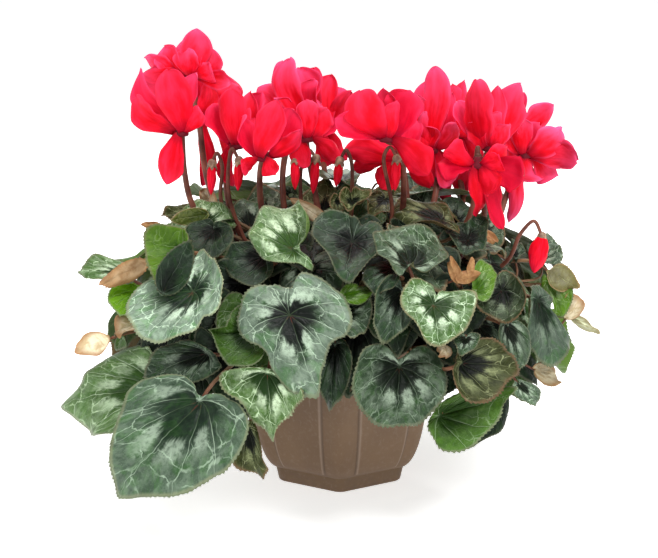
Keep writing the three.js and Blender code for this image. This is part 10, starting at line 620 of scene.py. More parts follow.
# ---------------------------------------------------------------- node helper
class Nodes:
    def __init__(self, name):
        self.mat = bpy.data.materials.new(name)
        self.mat.use_nodes = True
        self.t = self.mat.node_tree
        self.t.nodes.clear()
        self.out = self.t.nodes.new("ShaderNodeOutputMaterial")
        self.b = self.t.nodes.new("ShaderNodeBsdfPrincipled")
        self.t.links.new(self.b.outputs[0], self.out.inputs["Surface"])

    def link(self, value, socket):
        if isinstance(value, bpy.types.NodeSocket):
            self.t.links.new(value, socket)
        else:
            if hasattr(socket.default_value, "__len__") and not hasattr(value, "__len__"):
                value = (value,) * len(socket.default_value)
            if hasattr(value, "__len__") and len(value) == 3 and len(socket.default_value) == 4:
                value = (*value, 1)
            socket.default_value = value

    def set(self, **kw):
        for k, v in kw.items():
            self.link(v, self.b.inputs[k.replace("_", " ")])

    def attr(self, name, out="Fac"):
        n = self.t.nodes.new("ShaderNodeAttribute")
        n.attribute_name = name
        return n.outputs[out]

    def math(self, op, a, b=0.0, c=0.0, clamp=False):
        n = self.t.nodes.new("ShaderNodeMath")
        n.operation = op
        n.use_clamp = clamp
        for s, v in zip(n.inputs, (a, b, c)):
            self.link(v, s)
        return n.outputs[0]

    def add(self, a, b):
        return self.math("ADD", a, b)

    def sub(self, a, b):
        return self.math("SUBTRACT", a, b)

    def mul(self, a, b, clamp=False):
        return self.math("MULTIPLY", a, b, clamp=clamp)

    def ramp(self, x, a, b, lo=0.0, hi=1.0, smoothstep=True):
        n = self.t.nodes.new("ShaderNodeMapRange")
        n.interpolation_type = "SMOOTHSTEP" if smoothstep else "LINEAR"
        for s, v in zip(n.inputs[:5], (x, a, b, lo, hi)):
            self.link(v, s)
        return n.outputs[0]

    def mix(self, f, a, b, kind="MIX"):
        n = self.t.nodes.new("ShaderNodeMix")
        n.data_type = "RGBA"
        n.blend_type = kind
        n.clamp_factor = True
        self.link(f, n.inputs[0])
        self.link(a, n.inputs[6])
        self.link(b, n.inputs[7])
        return n.outputs[2]

    def split(self, v):
        n = self.t.nodes.new("ShaderNodeSeparateXYZ")
        self.link(v, n.inputs[0])
        return n.outputs

    def rgb(self, v):
        n = self.t.nodes.new("ShaderNodeSeparateColor")
        self.link(v, n.inputs[0])
        return n.outputs

    def join(self, x, y, z=0.0):
        n = self.t.nodes.new("ShaderNodeCombineXYZ")
        for s, v in zip(n.inputs, (x, y, z)):
            self.link(v, s)
        return n.outputs[0]

    def noise(self, vec, scale, detail=3.0, rough=0.55, distort=0.0, out=0):
        n = self.t.nodes.new("ShaderNodeTexNoise")
        if vec is not None:
            self.link(vec, n.inputs["Vector"])
        n.inputs["Scale"].default_value = scale
        n.inputs["Detail"].default_value = detail
        n.inputs["Roughness"].default_value = rough
        n.inputs["Distortion"].default_value = distort
        return n.outputs[out]

    def voronoi(self, vec, scale, feature="DISTANCE_TO_EDGE", rand=1.0, out=0):
        n = self.t.nodes.new("ShaderNodeTexVoronoi")
        n.feature = feature
        self.link(vec, n.inputs["Vector"])
        n.inputs["Scale"].default_value = scale
        n.inputs["Randomness"].default_value = rand
        return n.outputs[out]

    def coords(self, kind="Object"):
        n = self.t.nodes.new("ShaderNodeTexCoord")
        return n.outputs[kind]

    def bump(self, height, strength=0.3, distance=0.001, normal=None):
        n = self.t.nodes.new("ShaderNodeBump")
        n.inputs["Strength"].default_value = strength
        n.inputs["Distance"].default_value = distance
        self.link(height, n.inputs["Height"])
        if normal is not None:
            self.link(normal, n.inputs["Normal"])
        return n.outputs[0]


# ---------------------------------------------------------------- leaf material
VEIN_STEP = math.radians(42)
VEIN_BEND = 0.075  # how far the side veins lean to the tip, per centimetre of a blade 7.5 cm long


def leaf_material():
    n = Nodes("leaf_blade")
    lc = n.attr("lc", "Vector")  # place on the blade, scaled as on one 7.5 cm long, and the leaf's own number
    x, y, seed = n.split(lc)
    rho = n.attr("rho")
    side = n.attr("side")
    silver, dark, brown = n.rgb(n.attr("look_a", "Color"))[:3]
    light, olive, dry = n.rgb(n.attr("look_b", "Color"))[:3]
    # look_c holds the vein contrast, a level of painted light and shade, and the strength of a painted sheen
    contrast, painted_light_level, painted_sheen = n.rgb(n.attr("look_c", "Color"))[:3]
    r = n.math("SQRT", n.add(n.mul(x, x), n.mul(y, y)))
    th = n.math("ARCTAN2", y, x)
    th0 = n.add(th, n.mul(n.mul(r, VEIN_BEND), n.math("SINE", th)))
    wob = n.mul(n.sub(n.noise(lc, 0.55, 2.0), 0.5), 0.26)
    th0 = n.add(th0, wob)
    k = n.math("DIVIDE", th0, VEIN_STEP)
    near = n.math("ABSOLUTE", n.sub(n.math("FRACT", n.add(k, 0.5)), 0.5))
    sector = n.math("FLOOR", k)
    own = n.noise(n.join(n.mul(sector, 2.37), n.mul(seed, 1.31), 0.5), 1.0, 0.0)
    own2 = n.noise(n.join(n.mul(sector, 1.73), n.mul(seed, 2.11), 4.5), 1.0, 0.0)
    d = n.mul(n.mul(near, VEIN_STEP), r)  # cm to the nearest main vein
    w = n.ramp(rho, 0.0, 1.0, 0.062, 0.024, smoothstep=False)
    main = n.ramp(d, n.mul(w, 0.30), w, 1.0, 0.0)
    main_soft = n.ramp(d, 0.0, n.mul(w, 4.5), 1.0, 0.0)
    # a net of lesser veins, drawn out from the attachment
    warp = n.noise(lc, 1.3, 3.0, out=1)
    wx, wy, _ = n.split(warp)
    pr = n.add(n.mul(r, 0.62), n.mul(n.sub(wx, 0.5), 0.50))
    pt = n.add(n.mul(th0, 2.2), n.mul(n.sub(wy, 0.5), 0.60))
    net = n.voronoi(n.join(pr, pt, seed), 1.0, rand=0.9)
    net_line = n.ramp(net, 0.006, 0.036, 1.0, 0.0)
    net_soft = n.ramp(net, 0.0, 0.20, 1.0, 0.0)
    fine = n.voronoi(n.join(n.add(x, n.mul(wx, 0.3)), n.add(y, n.mul(wy, 0.3)), seed), 3.0, rand=0.95)
    fine_line = n.ramp(fine, 0.01, 0.07, 1.0, 0.0)
    nb = n.noise(lc, 0.8, 4.0, 0.62, 0.5)
    nf = n.noise(lc, 3.2, 4.0, 0.65)
    speck = n.noise(lc, 14.0, 2.0, 0.6)
    # pale marks between the main veins, their inner ends drawn out as with a brush
    jag = n.noise(n.join(n.mul(th0, 15.0), n.mul(r, 0.55), seed), 1.0, 3.0, 0.65)
    rr = n.add(rho, n.mul(n.sub(jag, 0.5), 0.22))
    lo = n.add(0.30, n.mul(own2, 0.20))
    hi = n.add(lo, n.add(0.04, n.mul(own, 0.24)))
    blot = n.mul(n.ramp(rr, n.sub(lo, 0.045), n.add(lo, 0.055)), n.ramp(n.add(rho, n.mul(n.sub(nb, 0.5), 0.42)), n.add(hi, 0.20), n.sub(hi, 0.06)))
    blot = n.mul(blot, n.ramp(n.add(near, n.mul(n.sub(nf, 0.5), 0.34)), 0.13, 0.34))
    front = n.ramp(n.math("ABSOLUTE", th0), 0.95, 0.70)
    blot = n.mul(blot, n.ramp(nf, 0.30, 0.56, 0.45, 1.0))
    blot = n.mul(blot, n.ramp(n.add(n.add(own, n.mul(silver, 0.12)), n.mul(front, 0.14)), 0.50, 0.62))
    # fainter marbling over the rest of the outer blade
    edge_noise = n.add(rho, n.mul(n.sub(nb, 0.5), 0.34))
    veil = n.mul(n.ramp(edge_noise, 0.34, 0.62), n.ramp(n.add(nb, n.mul(nf, 0.45)), 0.62, 0.90))
    mask = n.mul(n.add(n.mul(blot, 0.92), n.mul(veil, 0.26)), silver, clamp=True)
    centre = n.mul(n.ramp(n.add(rho, n.add(n.mul(n.sub(jag, 0.5), 0.08), n.mul(n.sub(nb, 0.5), 0.26))), 0.68, 0.28), dark, clamp=True)
    # colours
    tone = n.noise(lc, 1.7, 5.0, 0.6)
    out = n.ramp(rho, 0.25, 1.0)
    tt = n.add(n.mul(n.ramp(tone, 0.3, 0.7), 0.55), n.mul(out, 0.45))
    fresh = n.ramp(n.noise(lc, 0.7, 3.0, 0.6, 0.8), 0.46, 0.64)
    green = n.mix(tt, (0.004, 0.011, 0.006), (0.021, 0.047, 0.021))
    green = n.mix(n.mul(fresh, 0.55), green, n.mix(tt, (0.007, 0.034, 0.005), (0.030, 0.092, 0.015)))
    green = n.mix(light, green, n.mix(tt, (0.034, 0.110, 0.001), (0.105, 0.235, 0.004)))
    green = n.mix(olive, green, n.mix(tt, (0.014, 0.019, 0.004), (0.056, 0.062, 0.011)))
    # painted sheen: a grey haze painted on the outer half of some blades
    painted_sheen_mask = n.mul(painted_sheen, n.mul(n.ramp(n.add(rho, n.mul(n.sub(nb, 0.5), 0.30)), 0.26, 0.84), n.ramp(tone, 0.25, 0.75, 0.62, 1.0)))
    green = n.mix(painted_sheen_mask, green, n.mix(fresh, (0.128, 0.176, 0.130), (0.084, 0.172, 0.078)))
    col = n.mix(n.mul(centre, 0.95), green, n.mix(light, (0.0022, 0.0038, 0.0028), (0.014, 0.050, 0.005)))
    pale = n.mix(olive, n.mix(light, (0.45, 0.57, 0.43), (0.66, 0.80, 0.48)), (0.27, 0.30, 0.11))
    col = n.mix(n.mul(mask, 0.85), col, pale)
    # lesser veins are pale away from the centre, the main veins throughout
    fadein = n.ramp(edge_noise, 0.34, 0.62)
    patch = n.ramp(n.noise(lc, 0.9, 2.0), 0.36, 0.60)
    lines = n.math("MAXIMUM", n.mul(net_line, n.add(0.10, n.mul(patch, 0.90))), n.mul(fine_line, 0.07))
    lines = n.mul(n.mul(lines, fadein), contrast, clamp=True)
    vein_col = n.mix(olive, n.mix(light, (0.43, 0.56, 0.41), (0.60, 0.76, 0.40)), (0.42, 0.45, 0.20))
    col = n.mix(n.mul(lines, 0.90), col, vein_col)
    mainc = n.mix(n.ramp(rho, 0.02, 0.10), (0.10, 0.016, 0.010), n.mix(n.ramp(edge_noise, 0.20, 0.55), (0.040, 0.064, 0.030), vein_col))
    col = n.mix(n.mul(main, n.add(n.mul(contrast, 0.55), 0.20)), col, mainc)
    col = n.mix(n.mul(n.ramp(speck, 0.62, 0.72), n.mul(fadein, 0.16)), col, pale)
    # rim, brown edge and dry patches
    rim_n = n.add(rho, n.mul(n.sub(nf, 0.5), 0.03))
    col = n.mix(n.mul(n.ramp(rim_n, 0.950, 0.985), 0.75), col, n.mix(brown, (0.155, 0.175, 0.100), (0.26, 0.13, 0.06)))
    col = n.mix(n.mul(n.ramp(n.add(rho, n.mul(n.sub(nb, 0.5), 0.26)), 0.90, 1.0), brown), col, (0.20, 0.10, 0.05))
    drycol = n.mix(n.ramp(nb, 0.35, 0.65), (0.50, 0.38, 0.21), (0.78, 0.69, 0.49))
    drycol = n.mix(n.ramp(n.add(rho, n.mul(n.sub(nb, 0.5), 0.5)), 0.62, 1.0), drycol, (0.38, 0.21, 0.10))
    rust = n.mix(n.ramp(nb, 0.30, 0.70), (0.33, 0.145, 0.055), (0.54, 0.30, 0.125))
    drycol = n.mix(n.ramp(brown, 0.45, 1.0), drycol, rust)
    col = n.mix(dry, col, n.mix(n.mul(main, 0.22), drycol, (0.30, 0.15, 0.08)))
    # under side: duller, paler, with standing veins
    kind = n.math("FRACT", n.mul(seed, 0.37))
    under = n.mix(kind, (0.070, 0.120, 0.040), (0.200, 0.125, 0.070))
    under = n.mix(0.80, col, n.mix(olive, n.mix(light, under, (0.11, 0.26, 0.02)), (0.17, 0.105, 0.045)))
    under = n.mix(n.mul(n.math("MAXIMUM", main, n.mul(net_line, 0.5)), 0.5), under, (0.20, 0.15, 0.085))
    col = n.mix(side, under, col)
    # painted light and shade: each blade's colour is scaled up where it is lit and down where it lies in shade
    col = n.mix(1.0, col, n.join(painted_light_level, painted_light_level, painted_light_level), "MULTIPLY")
    rough = n.ramp(n.add(tone, n.mul(mask, 0.3)), 0.2, 1.1, 0.36, 0.58)
    h = n.add(n.mul(main_soft, -1.1), n.add(n.mul(net_soft, -0.60), n.add(n.mul(fine, 0.5), n.mul(nf, 0.45))))
    h = n.mul(h, n.ramp(dry, 0.0, 1.0, 1.0, 0.25, smoothstep=False))
    n.set(Base_Color=col, Roughness=rough, Normal=n.bump(h, 0.60, 0.0009))
    n.b.inputs["IOR"].default_value = 1.36
    n.b.inputs["Specular IOR Level"].default_value = 0.22
    return n.mat


def petal_material():
    n = Nodes("petal")
    pc = n.attr("pc", "Vector")  # along, across, number
    u, v, seed = n.split(pc)
    backlit_pink, inner, shade = n.rgb(n.attr("look_p", "Color"))[:3]
    fan = n.join(n.mul(v, 7.0), n.mul(u, 1.1), seed)
    streak = n.noise(fan, 1.0, 4.0, 0.6, 0.4)
    soft = n.noise(n.join(n.mul(u, 2.0), n.mul(v, 1.5), seed), 1.0, 3.0)
    band = n.noise(n.join(n.mul(v, 2.6), n.mul(u, 0.7), n.add(seed, 7.0)), 1.0, 2.0)
    red = n.mix(n.ramp(soft, 0.35, 0.7), (0.74, 0.002, 0.012), (0.95, 0.010, 0.040))
    red = n.mix(n.mul(n.ramp(streak, 0.52, 0.72), 0.30), red, (0.60, 0.002, 0.014))
    # painted shade: darker lengthwise bands standing for the shade in the petal's folds
    red = n.mix(n.mul(n.ramp(band, 0.50, 0.70), 0.40), red, (0.46, 0.001, 0.006))
    # painted light: rims, outer halves and petals behind and above turn pink as if lit through from behind
    edge = n.math("MAXIMUM", n.ramp(n.math("ABSOLUTE", v), 0.72, 1.02), n.ramp(u, 0.80, 1.04))
    backlit_glow = n.mul(n.add(n.mul(edge, 0.60), n.mul(n.ramp(n.add(u, n.mul(n.sub(soft, 0.5), 0.8)), 0.30, 1.1), 0.80)), backlit_pink, clamp=True)
    col = n.mix(backlit_glow, red, (0.96, 0.105, 0.28))
    col = n.mix(n.mul(n.ramp(u, 0.34, 0.02), 0.85), col, (0.30, 0.002, 0.014))
    col = n.mix(n.mul(inner, 0.45), col, (0.62, 0.006, 0.05))
    col = n.mix(1.0, col, n.join(shade, shade, shade), "MULTIPLY")
    h = n.add(n.mul(streak, 0.8), n.mul(soft, 0.4))
    n.set(Base_Color=col, Roughness=n.ramp(streak, 0.3, 0.8, 0.50, 0.66), Normal=n.bump(h, 0.30, 0.0006))
    n.b.inputs["IOR"].default_value = 1.30
    n.b.inputs["Specular IOR Level"].default_value = 0.12
    n.b.inputs["Subsurface Weight"].default_value = 0.12
    n.b.inputs["Subsurface Radius"].default_value = (0.006, 0.0010, 0.0010)
    return n.mat


def stem_material():
    n = Nodes("stalk")
    co = n.coords()
    tone = n.noise(co, 60.0, 4.0, 0.6)
    long_ = n.noise(co, 240.0, 2.0, 0.5)
    sc = n.attr("sc", "Color")
    col = n.mix(n.ramp(tone, 0.3, 0.7), (0.075, 0.018, 0.012), (0.235, 0.078, 0.048))
    green = n.mix(n.ramp(tone, 0.3, 0.7), (0.10, 0.085, 0.035), (0.24, 0.19, 0.085))
    g, dk, _ = n.rgb(sc)[:3]
    col = n.mix(g, col, green)
    col = n.mix(1.0, col, n.join(dk, dk, dk), "MULTIPLY")
    n.set(Base_Color=col, Roughness=n.ramp(long_, 0.2, 0.8, 0.38, 0.60), Normal=n.bump(long_, 0.25, 0.0005))
    n.b.inputs["Specular IOR Level"].default_value = 0.25
    n.b.inputs["Subsurface Weight"].default_value = 0.08
    n.b.inputs["Subsurface Radius"].default_value = (0.003, 0.001, 0.0008)
    return n.mat


def calyx_material():
    n = Nodes("calyx")
    co = n.coords()
    t = n.noise(co, 260.0, 3.0, 0.6)
    col = n.mix(n.ramp(t, 0.35, 0.7), (0.155, 0.075, 0.048), (0.36, 0.25, 0.15))
    n.set(Base_Color=col, Roughness=0.55, Normal=n.bump(t, 0.4, 0.0005))
    n.b.inputs["Subsurface Weight"].default_value = 0.08
    n.b.inputs["Subsurface Radius"].default_value = (0.002, 0.001, 0.0006)
    return n.mat


def pot_material():
    n = Nodes("pot_plastic")
    co = n.coords()
    big = n.noise(co, 14.0, 4.0, 0.6)
    fine = n.noise(co, 900.0, 3.0, 0.6)
    grain = n.noise(co, 320.0, 4.0, 0.7)
    _, _, z = n.split(co)
    col = n.mix(n.ramp(big, 0.35, 0.7), (0.131, 0.077, 0.042), (0.168, 0.103, 0.057))
    col = n.mix(n.mul(n.ramp(grain, 0.5, 0.75), 0.25), col, (0.27, 0.21, 0.165))
    # darker in patches towards the bottom
    darker_low_patches = n.mul(n.ramp(z, 0.03, 0.0), n.ramp(n.noise(co, 45.0, 5.0, 0.7), 0.42, 0.7))
    col = n.mix(n.mul(darker_low_patches, 0.5), col, (0.09, 0.062, 0.045))
    stretched = n.join(n.mul(n.split(co)[0], 1.0), n.mul(n.split(co)[1], 1.0), n.mul(z, 0.12))
    scratch = n.noise(stretched, 420.0, 3.0, 0.7)
    col = n.mix(n.mul(n.ramp(scratch, 0.60, 0.72), 0.12), col, (0.36, 0.29, 0.23))
    # painted highlight along each panel's edge and painted shadow in the step beside it
    edge, groove = n.rgb(n.attr("panel_edge_light", "Color"))[:2]
    col = n.mix(n.mul(edge, 0.60), col, (0.40, 0.31, 0.245))
    col = n.mix(n.mul(groove, 0.55), col, (0.060, 0.040, 0.030))
    n.set(Base_Color=col, Roughness=n.ramp(big, 0.3, 0.7, 0.46, 0.60), Normal=n.bump(n.add(n.mul(fine, 0.5), grain), 0.10, 0.0004))
    n.b.inputs["Specular IOR Level"].default_value = 0.28
    return n.mat


def soil_material():
    n = Nodes("soil")
    co = n.coords()
    a = n.noise(co, 180.0, 6.0, 0.7)
    b = n.voronoi(co, 420.0, feature="F1")
    col = n.mix(n.ramp(a, 0.35, 0.7), (0.012, 0.008, 0.005), (0.075, 0.045, 0.026))
    col = n.mix(n.ramp(n.noise(co, 700.0, 2.0), 0.66, 0.72), col, (0.16, 0.10, 0.06))
    n.set(Base_Color=col, Roughness=0.95, Normal=n.bump(n.add(a, b), 0.8, 0.002))
    n.b.inputs["Specular IOR Level"].default_value = 0.2
    return n.mat


def tuber_material():
    n = Nodes("tuber")
    co = n.coords()
    a = n.noise(co, 90.0, 6.0, 0.7)
    col = n.mix(n.ramp(a, 0.35, 0.7), (0.05, 0.026, 0.016), (0.17, 0.10, 0.065))
    n.set(Base_Color=col, Roughness=0.85, Normal=n.bump(a, 0.7, 0.002))
    return n.mat


def plain(name, color, rough=0.5, spec=0.4):
    n = Nodes(name)
    t = n.noise(n.coords(), 300.0, 3.0)
    n.set(Base_Color=n.mix(n.ramp(t, 0.3, 0.7), tuple(c * 0.75 for c in color), color), Roughness=rough)
    n.b.inputs["Specular IOR Level"].default_value = spec
    return n.mat


M_LEAF, M_PETAL, M_STEM, M_CALYX = leaf_material(), petal_material(), stem_material(), calyx_material()
M_POT, M_SOIL, M_TUBER = pot_material(), soil_material(), tuber_material()
M_THROAT = plain("throat", (0.13, 0.003, 0.012), 0.6, 0.15)
M_SEPAL = plain("flower_calyx", (0.12, 0.040, 0.028), 0.6, 0.2)
M_STYLE = plain("style", (0.80, 0.22, 0.30), 0.5, 0.3)
M_PERLITE = plain("perlite", (0.75, 0.73, 0.68), 0.9, 0.2)


# ---------------------------------------------------------------- leaf blades
def closed_curve(pts, n):
    """n points at even spacing on a smooth closed curve, starting at the first point."""
    P = np.asarray(pts, float)
    m = len(P)
    out = []
    for i in range(m):
        p0, p1, p2, p3 = P[i - 1], P[i], P[(i + 1) % m], P[(i + 2) % m]
        for s in np.arange(8) / 8:
            out.append(0.5 * (2 * p1 + (p2 - p0) * s + (2 * p0 - 5 * p1 + 4 * p2 - p3) * s * s + (3 * p1 - p0 - 3 * p2 + p3) * s**3))
    Q = np.vstack([out, out[:1]])
    d = np.r_[0, np.cumsum(np.hypot(*np.diff(Q, axis=0).T))]
    t = np.linspace(0, d[-1], n, endpoint=False)
    return np.stack([np.interp(t, d, Q[:, 0]), np.interp(t, d, Q[:, 1])], 1)


def funnel(size):
    """How far the blade is drawn down at its stalk."""
    return 0.045 * size


RIM = 3  # points of the margin for each point of the rings inside it


def blade(row, look, i, nt=100, nr=12, replaces=(), folds=()):
    name, A, eT, eR, eL, (bend, droop, cup, wave, waves, phase), flat = row
    A, eT, eR, eL = (np.array(a, float) for a in (A, eT, eR, eL))
    N = unit(np.cross(eT, eR - eL))
    size_t, size_r, size_l = (np.linalg.norm(a) for a in (eT, eR, eL))
    g = np.random.default_rng(1000 + i)
    cx = 0.05
    scale = size_t / 70
    edge = closed_curve(np.reshape(flat, (-1, 2)), nt * RIM)
    mm = np.where(edge[:, 1] > 0, size_r, size_l)
    per = np.r_[0, np.cumsum(np.hypot(np.diff(edge[:, 0]) * size_t, np.diff(edge[:, 1]) * mm[1:]))]
    radial = unit(edge - [cx, 0])
    away = smooth(0.0, 0.3, np.hypot(edge[:, 0], edge[:, 1]))
    lob = np.sin(per / 17.0 + g.random() * 6) * 0.5 + np.sin(per / 9.0 + g.random() * 6) * 0.35
    edge = edge + radial * (lob * 0.55 / size_t * away)[:, None]
    # small teeth along the margin, leaning to the tip
    step = per[-1] / max(8, round(per[-1] / (3.6 if size_t > 40 else 2.9)))
    s = (per / step + 0.22 * np.sin(per / 11.0 + g.random() * 6)) % 1
    teeth = np.minimum(s / 0.62, (1 - s) / 0.38) * (0.7 + 0.45 * np.sin(per / 5.0 + g.random() * 6) ** 2)
    tooth = teeth * (1.55 if size_t > 40 else 1.0 if look[5] < 0.5 else 0.25) * away
    k0, ka, kb, kc = g.uniform(-0.35, 0.55), 0.25 + 0.35 * g.random(), 0.20 + 0.45 * g.random(), 0.15 + 0.25 * g.random()
    p1, p2, p3, p4, p5, p6, p7, p8 = g.random(8) * 6.28
    lobe = (0.5 + 2.2 * g.random()) * scale
    is_dry = look[5] > 0.5
    hollow_ = g.uniform(0.10, 0.40) if is_dry else 0.0
    loose = 0.0 if is_dry else 1.0
    slack = 1.8 if is_dry else 1.0
    fall = (0.8 + 1.6 * g.random()) * scale
    start = 0.64

    def place(ox, oy, rho, tooth=0.0):
        phi = np.arctan2(oy, ox - cx)
        mm = np.where(oy > 0, size_r, size_l)
        reach = np.maximum(np.hypot((ox - cx) * size_t, oy * mm), 4.0)
        kap = k0 + ka * np.sin(2 * phi + p1) + kb * np.sin(3 * phi + p2) + kc * np.sin(5 * phi + p3)
        lift = 0.0
        for f_phi, f_w, f_lift, f_turn in folds:
            gap = np.abs((phi - math.radians(f_phi) + math.pi) % (2 * math.pi) - math.pi)
            W = np.exp(-((gap / math.radians(f_w)) ** 2))
            kap = kap * (1 - W) + f_turn * W
            lift = lift + f_lift * W * rho**2
        # the outer part of the blade turns up or down along an arc
        q = np.clip(rho - start, 0, None)
        al = kap * q / (1 - start)
        al = np.where(np.abs(al) < 1e-4, 1e-4, al)
        rr = np.where(rho > start, start + q * np.sin(al) / al, rho) * (1 + tooth / reach)
        x, y = cx + (ox - cx) * rr, oy * rr
        h = q * reach * (1 - np.cos(al)) / al + lift
        lx = (cx + (ox - cx) * rho) * size_t / 10
        ly = oy * rho * mm / 10
        r = np.hypot(lx, ly)
        th = np.arctan2(ly, lx)
        th0 = th + VEIN_BEND * r * (75 / size_t) ** 0.8 * np.sin(th)
        near = np.abs((th0 / VEIN_STEP + 0.5) % 1 - 0.5)
        d = near * VEIN_STEP * r
        quilt = (1 - np.exp(-((d / 0.28) ** 2))) * smooth(0.0, 1.0, r) * (1 - smooth(0.88, 1.0, rho))
        sm = np.sqrt(y * y + 0.03) - math.sqrt(0.03)
        h = h + bend * -(x * (x - 1)) - droop * 4 * np.clip(x - 0.5, 0, None) ** 2
        h = h + cup * rho**2 + wave * np.sin(waves * phi + phase) * rho**3
        ruff = np.sin(phi * 9 + p4) * 0.5 + np.sin(phi * 14 + p5) * 0.35
        slow = np.sin(phi * 5 + p6) + 0.7 * np.sin(phi * 7 + p7)
        h = h + (ruff * 1.0 * loose + slow * 1.1 * slack) * (1.0 if size_t > 40 else 0.5) * rho**5 + quilt * (0.0 if is_dry else 0.75 if size_t > 40 else 0.4)
        h = h + hollow_ * np.abs(y) * mm * (0.4 + 0.6 * rho)
        h = h - funnel(size_t) * np.exp(-((rho / 0.34) ** 2))
        h = h + lobe * np.sin(phi) ** 2 * (1 - np.cos(phi)) * rho**2.5 - fall * rho**7
        P = A + x[..., None] * eT + y[..., None] * (eR - eL) / 2 + sm[..., None] * (eR + eL) / 2 + h[..., None] * N
        return P, lx, ly

    inner = edge[::RIM]
    rho = (np.linspace(0, 1, nr)[1:] ** 0.85 * 0.962)[:, None] * np.ones((1, nt))
    P, lx, ly = place(inner[None, :, 0], inner[None, :, 1], rho)
    P0, lx0, ly0 = place(inner[:1, 0], inner[:1, 1], np.zeros(1))
    Pe, lxe, lye = place(edge[:, 0], edge[:, 1], np.ones(nt * RIM), tooth)
    grid = np.vstack([np.broadcast_to(P0, (1, nt, 3)), P])
    dr = np.gradient(grid, axis=0)
    dth = np.roll(grid, -1, axis=1) - np.roll(grid, 1, axis=1)
    cr = np.cross(dr, dth)
    flip = (cr.reshape(-1, 3) @ N).mean() < 0
    nv = unit(cr) * (-1 if flip else 1)
    nv[0] = unit(nv[1].mean(0))
    nrm = np.vstack([nv[0, :1], nv[1:].reshape(-1, 3)])
    f = (np.arange(nt * RIM) % RIM / RIM)[:, None]
    at = np.arange(nt * RIM) // RIM
    nrm = np.vstack([nrm, unit(nv[-1][at] * (1 - f) + nv[-1][(at + 1) % nt] * f)])
    mid = np.vstack([P0, P.reshape(-1, 3), Pe])
    rv = np.r_[0, rho.ravel(), np.ones(nt * RIM)]
    thick = 0.32 * (1 - 0.62 * rv)[:, None]
    verts = np.vstack([mid + nrm * thick, mid - nrm * thick])
    nb = len(mid)
    faces = []
    j = np.arange(nt)
    k = (j + 1) % nt

    def put(a):
        faces.extend(map(tuple, (a[:, ::-1] if flip else a).tolist()))

    put(np.stack([np.zeros(nt, int), 1 + j, 1 + k], 1))
    put(np.stack([np.full(nt, nb), nb + 1 + k, nb + 1 + j], 1))
    for q in range(nr - 2):
        a, b = 1 + q * nt, 1 + (q + 1) * nt
        put(np.stack([a + j, b + j, b + k, a + k], 1))
        put(np.stack([nb + a + k, nb + b + k, nb + b + j, nb + a + j], 1))
    a, e = 1 + (nr - 2) * nt, 1 + (nr - 1) * nt
    band = np.stack([a + j] + [e + RIM * j + m for m in range(RIM)] + [e + RIM * k, a + k], 1)
    put(band)
    put(band[:, ::-1] + nb)
    m = np.arange(nt * RIM)
    m2 = (m + 1) % (nt * RIM)
    put(np.stack([e + m, nb + e + m, nb + e + m2, e + m2], 1))
    grow = (75 / max(size_t, 1)) ** 0.8
    lc = np.stack([np.r_[lx0, lx.ravel(), lxe] * grow, np.r_[ly0, ly.ravel(), lye] * grow, np.full(nb, (i * 7.31) % 50)], 1)
    cst = lambda *c: np.tile(np.array([*c, 1.0]), (2 * nb, 1))
    attrs = dict(
        lc=np.vstack([lc, lc]),
        rho=np.r_[rv, rv],
        side=np.r_[np.ones(nb), np.zeros(nb)],
        look_a=cst(*look[0:3]),
        look_b=cst(*look[3:6]),
        look_c=cst(look[6], look[7], look[8]),
    )
    return piece(name + "_blade", verts, faces, [M_LEAF], attrs, replaces=replaces)


NODES = set(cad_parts)
# Folds of some blades: direction in degrees from the tip, half width, lift in millimetres, turn of the margin in radians.
FOLDS = {
    "leaf_02": [[-1, 22, 3, 0.0], [-75, 30, 0, -0.5], [78, 30, 0, -0.4]],
    "leaf_03": [[-149, 25, 2, 0.6]],
    "leaf_04": [[-111, 40, 2, 0.6]],
    "leaf_05": [[138, 40, 5, 0.7], [22, 35, 0, -0.3]],
    "leaf_06": [[-141, 28, 3, 1.2], [66, 40, 2, 0.7], [-106, 30, 0, 0.5]],
    "leaf_07": [[2, 25, 6, 1.4]],
    "leaf_08": [[-84, 25, 3, 1.0], [78, 25, 2, 0.8]],
    "leaf_09": [[-159, 22, 1, 1.7], [31, 30, 0, -0.4]],
    "leaf_10": [[-124, 20, 3, 2.3], [116, 20, 0, 0.9]],
    "leaf_11": [[-63, 35, 3, 0.9], [-155, 40, 2, 0.7]],
    "leaf_12": [[132, 40, 8, 1.2], [-25, 40, 5, 0.9]],
    "leaf_13": [[-108, 30, 5, 1.5], [47, 40, 0, 0.4]],
    "leaf_14": [[-107, 30, 4, 1.0], [70, 40, 0, -0.3]],
    "leaf_15": [[124, 40, 4, 1.0]],
    "leaf_16": [[112, 20, 1, 1.9]],
    "leaf_17": [[-71, 40, 5, 1.1], [118, 35, 5, 1.1]],
    "leaf_18": [[-8, 30, 1, 0.5]],
    "leaf_20": [[-80, 30, 1, -0.3], [0, 40, -1, 0.0]],
    "leaf_21": [[-59, 30, 3, 1.1], [69, 30, 3, 0.9]],
    "leaf_22": [[-49, 30, 4, 1.2]],
    "leaf_23": [[-83, 30, 3, 0.9]],
}
for i, row in enumerate(LEAVES):
    name = row[0]
    long_ = np.linalg.norm(row[2])
    if name in NODES:
        nt, nr = (100, 13) if long_ > 45 else (76, 10)
    elif name.startswith("inner"):
        nt, nr = 40, 7
    else:
        nt, nr = (48, 8) if long_ < 25 else (64, 9)
    blade(row, LOOK[name], i, nt, nr, replaces=[name] if name in NODES else (), folds=FOLDS.get(name, ()))


